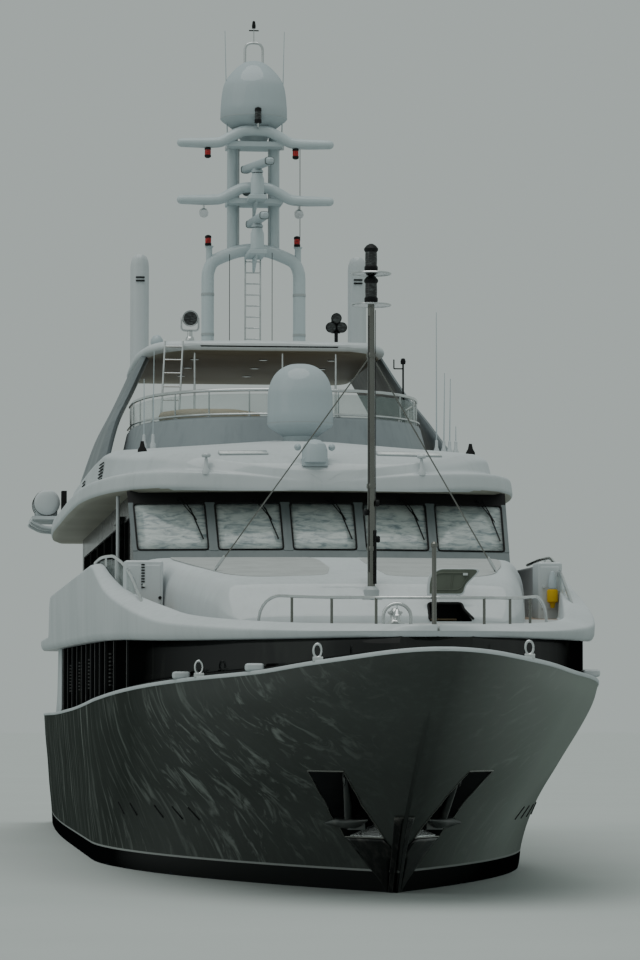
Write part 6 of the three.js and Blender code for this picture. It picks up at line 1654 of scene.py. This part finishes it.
def make_mast():
    """Arch on two legs, twin uprights, two gull-wing spreaders with plates, radar shelves, dome seat."""
    forms = [tube(arc_path(ARCH, MAST_Y), 0.14, 24)]
    post = [(0, 12.9), (0.07, 12.9), (0.07, 13.28), (0.1, 13.3), (0.1, 13.33), (0, 13.33)]
    foot = [(0, 10.84), (0.22, 10.84), (0.21, 10.88), (0.15, 10.93), (0, 10.93)]
    for side in (1, -1):
        x = side * 0.47
        forms += [rod((x, MAST_Y + 0.1, 13.12), (x, MAST_Y + 0.1, 15.9), 0.122, 24),
                  turned(post, (side * 1.0, MAST_Y, 0), sides=20),
                  turned(foot, (side * 1.03, MAST_Y, 0), sides=28)]
    for level in SPREADER_LEVELS:
        line = arc_path([(x, level + 0.3 * rise) for x, rise in SPREADER], SPREADER_Y)
        radius = np.interp(np.abs(line[:, 0]), [0, 0.5, 1.2, 1.66], [0.12, 0.12, 0.115, 0.1])
        forms += [tube(line, radius, 16, True),
                  block(-0.62, 0.62, SPREADER_Y, MAST_Y + 0.35, level - 0.06, level + 0.06)]
    for _, z, _, _ in RADARS:
        forms += [block(-0.2, 0.2, RADAR_Y - 0.18, MAST_Y + 0.1, z - 0.6, z - 0.5),
                  prism([(MAST_Y, z - 0.6), (RADAR_Y + 0.1, z - 0.6), (MAST_Y, z - 0.9)], -0.03, 0.03, "yz"),
                  turned([(0, z - 0.5), (0.15, z - 0.5), (0.15, z - 0.14), (0.12, z - 0.06), (0.12, z - 0.01),
                          (0, z - 0.01)], (0, RADAR_Y, 0), sides=28)]
    seat = [(0.28, 15.66), (0.3, 15.72), (0.34, 15.8), (0.48, 15.93), (0.5, DOME_SEAT_Z - 0.01),
            (0, DOME_SEAT_Z - 0.01), (0, 15.66)]
    forms.append(turned(seat, (0, MAST_Y, 0), sides=40))
    build("mast_finished", forms, ["mast_white"], replaces=["mast"], angle=42, bevel=0.015)
    band = [(0, 0), (0.148, 0), (0.15, 0.03), (0.148, 0.06), (0, 0.06)]
    trims = [turned(band, (s * 1.03, MAST_Y, z), sides=24) for s in (1, -1) for z in (11.3, 12.2)]
    for s in (1, -1):
        run = [(s * 0.34, MAST_Y, 13.3), (s * 0.34, MAST_Y - 0.02, 15.6), (s * 0.2, MAST_Y, 15.75)]
        trims.append(tube(bend(run, 0.2), 0.02, 6))
    build("mast_bands", trims, ["soft_white"])


def make_radars():
    """Open-array radars: turned hub and a rounded bar whose section thins towards its ends."""
    a = np.linspace(0, 2 * np.pi, 20, endpoint=False)
    sx, sz = (np.sign(f(a)) * np.abs(f(a)) ** 0.6 for f in (np.cos, np.sin))
    for name, z, bearing, half in RADARS:
        x = np.concatenate([[-1], np.linspace(-0.97, 0.97, 21), [1]])[:, None] * half
        grow = np.sqrt(np.clip(1 - (np.abs(x) / (half * 1.02)) ** 10, 0.02, 1))
        bar = np.stack([np.repeat(x, 20, 1), 0.108 * grow * sx, 0.17 + 0.088 * grow * sz], -1)
        turn = math.radians(bearing)
        spin = np.array([[math.cos(turn), math.sin(turn), 0], [-math.sin(turn), math.cos(turn), 0],
                         [0, 0, 1]])
        at = np.array([0, RADAR_Y, z])
        points, faces = skin(bar)
        hub = turned([(0, 0.005), (0.13, 0.005), (0.13, 0.05), (0.1, 0.07), (0.1, 0.1), (0, 0.1)], at,
                     sides=28)
        build(name + "_finished", [(points @ spin + at, faces), hub], ["dome"], body=name, replaces=[name],
              angle=45)
        trim = [turned([(0, 0.055), (0.104, 0.055), (0.104, 0.067), (0, 0.067)], at, sides=28)]
        for s in (1, -1):
            edge = s * half * 0.86 + np.array([[-0.02], [0.02]])
            band = np.stack([np.repeat(edge, 20, 1), np.stack([0.109 * sx] * 2),
                             np.stack([0.17 + 0.089 * sz] * 2)], -1)
            trim.append(skin(band @ spin + at))
        build(name + "_trim", trim, ["frame_grey"], body=name)


def make_domes():
    """The dome on the mast with its seam, the hoop and wind sensor over it, and the dome on the roof."""
    sizes, _ = settings()
    r = sizes.main_dome
    crown = flow([(r * 0.993, 16.45), (r * 0.96, 16.72), (r * 0.907, 16.94), (r * 0.8, 17.11),
                  (r * 0.667, 17.24), (r * 0.43, 17.41), (r * 0.2, 17.5), (0.0, 17.52)], 30)
    rows = np.concatenate([[(0, 15.99), (0.5, 15.99), (0.72, 16.16), (r, 16.2)], crown])
    build("main_dome_finished", [turned(rows, (0, MAST_Y, 0), sides=64)], ["dome"], replaces=["main_dome"],
          angle=40)
    y, rf = FRONT_DOME_Y, sizes.front_dome
    foot = float(roof_z(0, y)) - 0.03
    crown = flow([(rf * 0.992, 8.75), (rf * 0.98, 9.15), (rf * 0.91, 9.36), (rf * 0.79, 9.52),
                  (rf * 0.54, 9.67), (rf * 0.26, 9.74), (0.0, 9.755)], 28)
    rows = np.concatenate([[(0, foot), (0.33, foot), (0.33, foot + 0.1), (0.62, 8.5), (rf, 8.55)], crown])
    build("front_dome_finished", [turned(rows, (0, y, 0), sides=64)], ["dome"], replaces=["front_dome"],
          angle=40)
    seams = [turned([(0, z), (radius + 0.004, z), (radius + 0.004, z + 0.014), (0, z + 0.014)], (0, at, 0),
                    sides=64) for z, radius, at in ((16.2, r, MAST_Y), (8.555, rf, y))]
    build("dome_seams", seams, ["soft_white"])
    hoop = [(-0.2, MAST_Y, 17.38), (-0.2, MAST_Y, 17.93), (0.2, MAST_Y, 17.93), (0.2, MAST_Y, 17.38)]
    sensor = rod((0, MAST_Y, 17.93), (0, MAST_Y, 18.3), 0.014, 8)
    build("dome_hoop_finished", [tube(bend(hoop, 0.18, 8), 0.03, 12), sensor], ["steel"],
          replaces=["dome_hoop"])
    cups = [turned([(0, 18.26), (0.04, 18.26), (0.045, 18.32), (0.03, 18.42), (0, 18.44)], (0, MAST_Y, 0),
                   sides=18), block(-0.11, 0.11, MAST_Y - 0.012, MAST_Y + 0.012, 18.2, 18.225)]
    build("wind_sensor", cups, ["black"])


# x, y, height, way that it stands
RED_LIGHTS = [(-1.07, SPREADER_Y, 15.48, -1), (0.9, SPREADER_Y, 15.48, -1), (-1.03, 5.2, 13.32, 1),
              (0.97, 5.2, 13.32, 1)]
FLOODLIGHTS = (-1.16, 0.97)
ALL_ROUND = {"x": 0.03, "y": 4.56}


def make_mast_lights():
    """Red lights on the arch and under the upper spreader, floodlights under the lower one, the all-round
    light below the dome, and the horns."""
    caps, lens, metal = [], [], []
    for x, y, z, up in RED_LIGHTS:
        at, along = (x, y, z), (0, 0, up)
        caps += [turned([(0, 0), (0.07, 0), (0.075, 0.05), (0, 0.055)], at, along, 20),
                 turned([(0, 0.17), (0.075, 0.17), (0.07, 0.22), (0.03, 0.24), (0, 0.24)], at, along, 20)]
        lens.append(turned([(0, 0.05), (0.066, 0.05), (0.07, 0.11), (0.066, 0.175), (0, 0.175)], at, along,
                           20))
    bowl = [(0, 0.1), (0.05, 0.1), (0.1, 0.02), (0.105, -0.06), (0.09, -0.06), (0, -0.05)]
    for x in FLOODLIGHTS:
        metal += [rod((x, SPREADER_Y, 14.2), (x, SPREADER_Y, 14.08), 0.02),
                  turned(bowl, (x, SPREADER_Y - 0.02, 14.02), (0, 0.8, 0.6), 20)]
    x, y = ALL_ROUND["x"], ALL_ROUND["y"]
    caps += [turned([(0, 16.0), (0.08, 16.0), (0.08, 16.08), (0, 16.09)], (x, y, 0), sides=20),
             turned([(0, 16.27), (0.08, 16.27), (0.07, 16.34), (0, 16.37)], (x, y, 0), sides=20)]
    clear = turned([(0, 16.08), (0.07, 16.08), (0.073, 16.18), (0.07, 16.275), (0, 16.275)], (x, y, 0),
                   sides=20)
    metal.append(tube(bend([(x, 4.9, 15.9), (x, y, 15.92), (x, y, 16.01)], 0.06), 0.02, 8))
    horn = [(0, 0.35), (0.03, 0.35), (0.035, 0.1), (0.05, 0.0), (0.1, -0.08), (0.09, -0.08), (0, 0.0)]
    metal += [turned(horn, (x, 5.0, 14.5), (0.0, 1, 0.0), 20) for x in (-0.2, 0.16)]
    build("mast_lamp_caps", caps, ["black"])
    build("red_lenses", lens, ["red_lens"])
    build("white_lens", [clear], ["lamp_glass"])
    build("mast_metalwork", metal, ["steel"])


SEARCHLIGHT = {"x": -1.6, "y": 3.0, "z": 10.96}
LAMP_CLUSTER = [(1.48, 11.28), (1.72, 11.28), (1.6, 11.48)]  # x, height of each lamp


def make_hardtop_lights():
    """Searchlight on its turning post, and the three-lamp cluster beside it."""
    x, y, z = SEARCHLIGHT["x"], SEARCHLIGHT["y"], SEARCHLIGHT["z"]
    post = turned([(0, 0.005), (0.1, 0.005), (0.09, 0.06), (0.06, 0.1), (0.055, 0.2), (0, 0.2)], (x, y, z),
                  sides=24)
    fork = [(x - 0.19, y, z + 0.5), (x - 0.19, y, z + 0.22), (x + 0.19, y, z + 0.22), (x + 0.19, y, z + 0.5)]
    drum = [(0, -0.15), (0.16, -0.15), (0.175, -0.17), (0.178, -0.1), (0.165, -0.02), (0.13, 0.15),
            (0.06, 0.17), (0, 0.175)]
    forms = [post, tube(bend(fork, 0.08), 0.022, 10), turned(drum, (x, y, z + 0.47), (0, 1, 0), 32),
             rod((x - 0.19, y, z + 0.47), (x + 0.19, y, z + 0.47), 0.026)]
    build("searchlight_finished", forms, ["steel"], body="searchlight", replaces=["searchlight"])
    glass = turned([(0, -0.155), (0.15, -0.152), (0.15, -0.14), (0, -0.14)], (x, y, z + 0.47), (0, 1, 0), 32)
    build("searchlight_lens", [glass], ["lamp_glass"], body="searchlight")
    x = 1.6
    stem = [(0, 10.84), (0.1, 10.84), (0.09, 10.88), (0.04, 10.92), (0.04, 11.2), (0, 11.2)]
    cup = [(0, -0.07), (0.1, -0.07), (0.115, -0.09), (0.116, -0.02), (0.09, 0.06), (0.05, 0.09), (0, 0.09)]
    forms = [turned(stem, (x, y, 0), sides=20), block(x - 0.1, x + 0.1, y, y + 0.1, z + 0.2, z + 0.5)]
    forms += [turned(cup, (x0, y, h), (0, 1, 0), 26) for x0, h in LAMP_CLUSTER]
    lens = [turned([(0, -0.078), (0.098, -0.075), (0.098, -0.06), (0, -0.06)], (x0, y, h), (0, 1, 0), 26)
            for x0, h in LAMP_CLUSTER]
    build("lamp_cluster_finished", forms, ["black"], replaces=["lamp_cluster"], bevel=0.015)
    build("lamp_cluster_lenses", lens, ["lamp_glass"])


# Liferafts and the aft decks

RAFT = {"x": 4.4, "y": 10.3, "z": 7.84, "length": 1.8}


def make_rafts():
    """Raft canisters with end caps and straps, on shelves with tubular brackets outboard of the sun deck."""
    x, y, z, length = (RAFT[key] for key in ("x", "y", "z", "length"))
    a = np.linspace(0, np.pi / 2, 6)[1:-1]
    cap = np.stack([0.31 * np.sin(a) ** 0.7, 0.09 * (1 - np.cos(a))], 1)
    rows = np.concatenate([[(0, 0)], cap, [(0.3, 0.1), (0.3, length - 0.1)],
                           (cap * np.array([1, -1]) + np.array([0, length]))[::-1], [(0, length)]])
    strap = [(0.298, 0), (0.311, 0), (0.311, 0.05), (0.298, 0.05), (0.298, 0)]
    shelf = [block(4.05, 4.76, 10.02, 12.38, 7.42, 7.5)]
    for y0 in (10.1, 11.1, 12.3):
        loop = [(3.95, y0, 7.46), (4.72, y0, 7.46), (4.78, y0, 7.38), (4.5, y0, 7.24), (4.1, y0, 7.2),
                (3.95, y0, 7.26)]
        shelf.append(tube(bend(loop, 0.08), 0.035, 10, True))
    for y0 in (10.6, 11.7):
        cradle = [(x - 0.25, 7.5), (x + 0.25, 7.5), (x + 0.25, 7.66), (x + 0.12, 7.56), (x - 0.12, 7.56),
                  (x - 0.25, 7.66)]
        shelf.append(prism(cradle, y0, y0 + 0.1, "xz"))
    canister = turned(rows, (x, y, z), (0, 1, 0), 36)
    straps = [turned(strap, (x, y0, z), (0, 1, 0), 36) for y0 in (10.6, 11.15, 11.72)]
    straps.append(block(3.95, 4.07, 10.1, 10.5, 7.5, 8.1))
    for word, number in (("port", 0), ("stbd", 1)):
        def pick(forms):
            return [both_sides(form)[number] for form in forms]
        build("raft_shelf_finished_" + word, pick(shelf), ["white"], replaces=["raft_shelf_" + word],
              bevel=0.015)
        build("raft_canister_" + word, pick([canister]), ["white"], angle=50)
        build("raft_straps_" + word, pick(straps), ["rubber"])


AFT_LOOKS = {"swim_platform": "white", "transom_door": "hull_paint", "main_deck_stairs": "white",
             "upper_deck_stairs": "white", "upper_deck_rail": "steel", "sun_deck_aft_rail": "steel",
             "ensign_staff": "teak"}
TABLES = [  # half-length, y from and to, height of the top, height of the deck
    (1.1, 12.4, 13.6, 2.62, MAIN_DECK_Z), (1.0, 13.2, 14.4, 5.3, 4.63)]
SOFAS = [  # x from and to, y from and to, foot, top
    (-2.4, 2.4, 15.2, 15.9, MAIN_DECK_Z, 2.4), (-2.4, 2.4, 15.75, 15.95, 2.4, 2.78),
    (2.55, 3.25, 11.6, 14.6, MAIN_DECK_Z, 2.38), (-3.25, -2.55, 11.6, 14.6, MAIN_DECK_Z, 2.38),
    (-2.2, 2.2, 15.6, 16.3, 4.63, 5.05), (-2.2, 2.2, 16.15, 16.35, 5.05, 5.42)]


def make_aft_decks():
    """Nodes whose shape is right get their finish, and the decks get coverings, tables and sofas."""
    for node, look in AFT_LOOKS.items():
        dress(node, look)
    lo, hi = (np.array(corner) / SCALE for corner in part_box("swim_platform"))
    planks = [block(lo[0] + 0.12, hi[0] - 0.12, lo[1] + 0.5, hi[1] - 0.12, hi[2] - 0.002, hi[2] + 0.006),
              block(-3.1, 3.1, 11.9, 16.8, 4.622, 4.628)]
    build("aft_planking", planks, ["teak"])
    forms = []
    for half, y0, y1, top, deck in TABLES:
        middle = (y0 + y1) / 2
        forms += [block(-half, half, y0, y1, top, top + 0.055),
                  block(-0.11, 0.11, middle - 0.1, middle + 0.1, deck, top + 0.01)]
    build("deck_tables", forms, ["teak"], bevel=0.03)
    build("deck_sofas", [block(*sofa) for sofa in SOFAS], ["tan"], bevel=0.07)


# Studio

CAMERA = {"place": (-7.83, -79.2, 2.75), "yaw": 6.3, "pitch": 3.594, "lens": 142.7}
LIGHTS = [  # name, direction that it comes from, strength, spread in degrees, colour
    ("overhead", (-0.1, -0.2, 1.0), 1.3, 60, (1.0, 1.0, 0.98)),
    ("side", (-1.0, -0.5, 0.6), 0.2, 50, (1.0, 0.99, 0.97))]


def make_stage():
    """Floor at the waterline, an even sky, broad soft lamps and the photograph's camera."""
    sizes, colours = settings()
    a = np.linspace(0, 2 * np.pi, 96, endpoint=False)
    mesh = bpy.data.meshes.new("floor")
    points = np.stack([np.cos(a), np.sin(a), np.zeros(96)], 1) * sizes.floor * SCALE
    mesh.from_pydata(points.tolist(), [], [list(range(96))])
    made = bpy.data.materials.new("studio_floor")
    made.use_nodes = True
    g = Graph(made.node_tree)
    shader = made.node_tree.nodes["Principled BSDF"]
    mottle = g.noise(g.place(), 0.4, 3.0)
    shade = g.mix(mottle, tone(178, 184, 182), tone(186, 192, 190))
    made.node_tree.links.new(shade, shader.inputs["Base Color"])
    shader.inputs["Roughness"].default_value = 0.8
    shader.inputs["Specular IOR Level"].default_value = 0.0
    mesh.materials.append(made)
    floor = placed("floor", mesh)
    world = bpy.data.worlds.new("studio")
    bpy.context.scene.world = world
    world.use_nodes = True
    backdrop = world.node_tree.nodes["Background"]
    backdrop.inputs["Color"].default_value = (*colours.sky, 1)
    backdrop.inputs["Strength"].default_value = sizes.light
    for name, place, strength, spread, colour in LIGHTS:
        lamp = bpy.data.lights.new(name, "SUN")
        lamp.energy, lamp.angle, lamp.color = strength, math.radians(spread), colour
        held = placed(name, lamp)
        held.location = np.array(place) * 40 * SCALE
        held.rotation_euler = Matrix(axes_of(place).T.tolist()).to_euler()
    lens = bpy.data.cameras.new("photograph")
    lens.lens, lens.sensor_fit, lens.sensor_width = CAMERA["lens"], "AUTO", 36
    lens.clip_start, lens.clip_end = 0.5, 2000
    camera = placed("photograph", lens)
    camera.location = np.array(CAMERA["place"]) * SCALE
    camera.rotation_euler = (math.radians(90 + CAMERA["pitch"]), 0, math.radians(-CAMERA["yaw"]))
    bpy.context.scene.camera = camera


# Operators, panel and registration

UNDOABLE = {"REGISTER", "UNDO"}


def carry_out(*steps):
    """Makes the pieces in order, and gives what an operator hands back."""
    for make in steps:
        make()
    return {"FINISHED"}


class YACHT_OT_finishes(bpy.types.Operator):
    """Make the materials"""
    bl_idname, bl_label = "yacht.finishes", "Finishes"
    bl_options = UNDOABLE

    def execute(self, context):
        return carry_out(make_finishes)


class YACHT_OT_hull(bpy.types.Operator):
    """Build the hull with its wells, steps and pockets"""
    bl_idname, bl_label = "yacht.hull", "Hull"
    bl_options = UNDOABLE

    def execute(self, context):
        return carry_out(make_hull)


class YACHT_OT_gear(bpy.types.Operator):
    """Build the stem plates, anchors, propellers and fittings of the hull"""
    bl_idname, bl_label = "yacht.gear", "Hull gear"
    bl_options = UNDOABLE

    def execute(self, context):
        return carry_out(make_stem_guard, make_anchors, make_underwater_fittings, make_running_gear,
                         make_hull_fittings)


class YACHT_OT_upper_deck(bpy.types.Operator):
    """Build the upper deck, its bulwark and the dark band below"""
    bl_idname, bl_label = "yacht.upper_deck", "Upper deck"
    bl_options = UNDOABLE

    def execute(self, context):
        return carry_out(make_upper_deck, make_main_house, make_deck_lockers, make_bulwark_rails)


class YACHT_OT_foredeck(bpy.types.Operator):
    """Build the coachroof, its locker, the bow rail and the foremast"""
    bl_idname, bl_label = "yacht.foredeck", "Foredeck"
    bl_options = UNDOABLE

    def execute(self, context):
        return carry_out(make_trunk, make_grip_panels, make_lid, make_bow_fittings, make_foremast)


class YACHT_OT_bridge(bpy.types.Operator):
    """Build the bridge house, its windscreen and its roof"""
    bl_idname, bl_label = "yacht.bridge", "Bridge"
    bl_options = UNDOABLE

    def execute(self, context):
        return carry_out(make_roof, make_roof_fittings, make_windscreen, make_bridge_house)


class YACHT_OT_top(bpy.types.Operator):
    """Build the sun-deck screen, the hardtop and its ladders"""
    bl_idname, bl_label = "yacht.top", "Sun deck and hardtop"
    bl_options = UNDOABLE

    def execute(self, context):
        return carry_out(make_sun_deck_screen, make_hardtop, make_ladders, make_hardtop_lights)


class YACHT_OT_mast(bpy.types.Operator):
    """Build the mast with its radars, domes, lights and aerials"""
    bl_idname, bl_label = "yacht.mast", "Mast"
    bl_options = UNDOABLE

    def execute(self, context):
        return carry_out(make_mast, make_radars, make_domes, make_mast_lights, make_whips)


class YACHT_OT_aft(bpy.types.Operator):
    """Build the liferafts and dress the aft decks"""
    bl_idname, bl_label = "yacht.aft", "Aft decks"
    bl_options = UNDOABLE

    def execute(self, context):
        return carry_out(make_rafts, make_aft_decks)


class YACHT_OT_stage(bpy.types.Operator):
    """Make the floor, the light and the camera"""
    bl_idname, bl_label = "yacht.stage", "Stage"
    bl_options = UNDOABLE

    def execute(self, context):
        return carry_out(make_stage)


STEPS = [YACHT_OT_finishes, YACHT_OT_hull, YACHT_OT_gear, YACHT_OT_upper_deck, YACHT_OT_foredeck,
         YACHT_OT_bridge, YACHT_OT_top, YACHT_OT_mast, YACHT_OT_aft, YACHT_OT_stage]


class YACHT_PT_panel(bpy.types.Panel):
    """Settings of the yacht and the steps that make it"""
    bl_idname = "YACHT_PT_panel"
    bl_label = "Motor yacht"
    bl_space_type, bl_region_type, bl_category = "VIEW_3D", "UI", "Yacht"

    def draw(self, context):
        for held in settings():
            box = self.layout.box()
            for key in held.__annotations__:
                box.prop(held, key)
        column = self.layout.column(align=True)
        for step in STEPS:
            column.operator(step.bl_idname)


CLASSES = [YachtSizes, YachtColours, *STEPS, YACHT_PT_panel]


def register():
    """Registers the classes and gives the scene its settings."""
    for one in CLASSES:
        bpy.utils.register_class(one)
    bpy.types.Scene.yacht_sizes = bpy.props.PointerProperty(type=YachtSizes)
    bpy.types.Scene.yacht_colours = bpy.props.PointerProperty(type=YachtColours)


def unregister():
    """Takes the settings and the classes away again."""
    del bpy.types.Scene.yacht_sizes, bpy.types.Scene.yacht_colours
    for one in reversed(CLASSES):
        bpy.utils.unregister_class(one)


def main():
    """Runs all the steps."""
    register()
    for step in STEPS:
        getattr(bpy.ops.yacht, step.bl_idname.split(".")[1])()


if __name__ == "__main__":
    main()
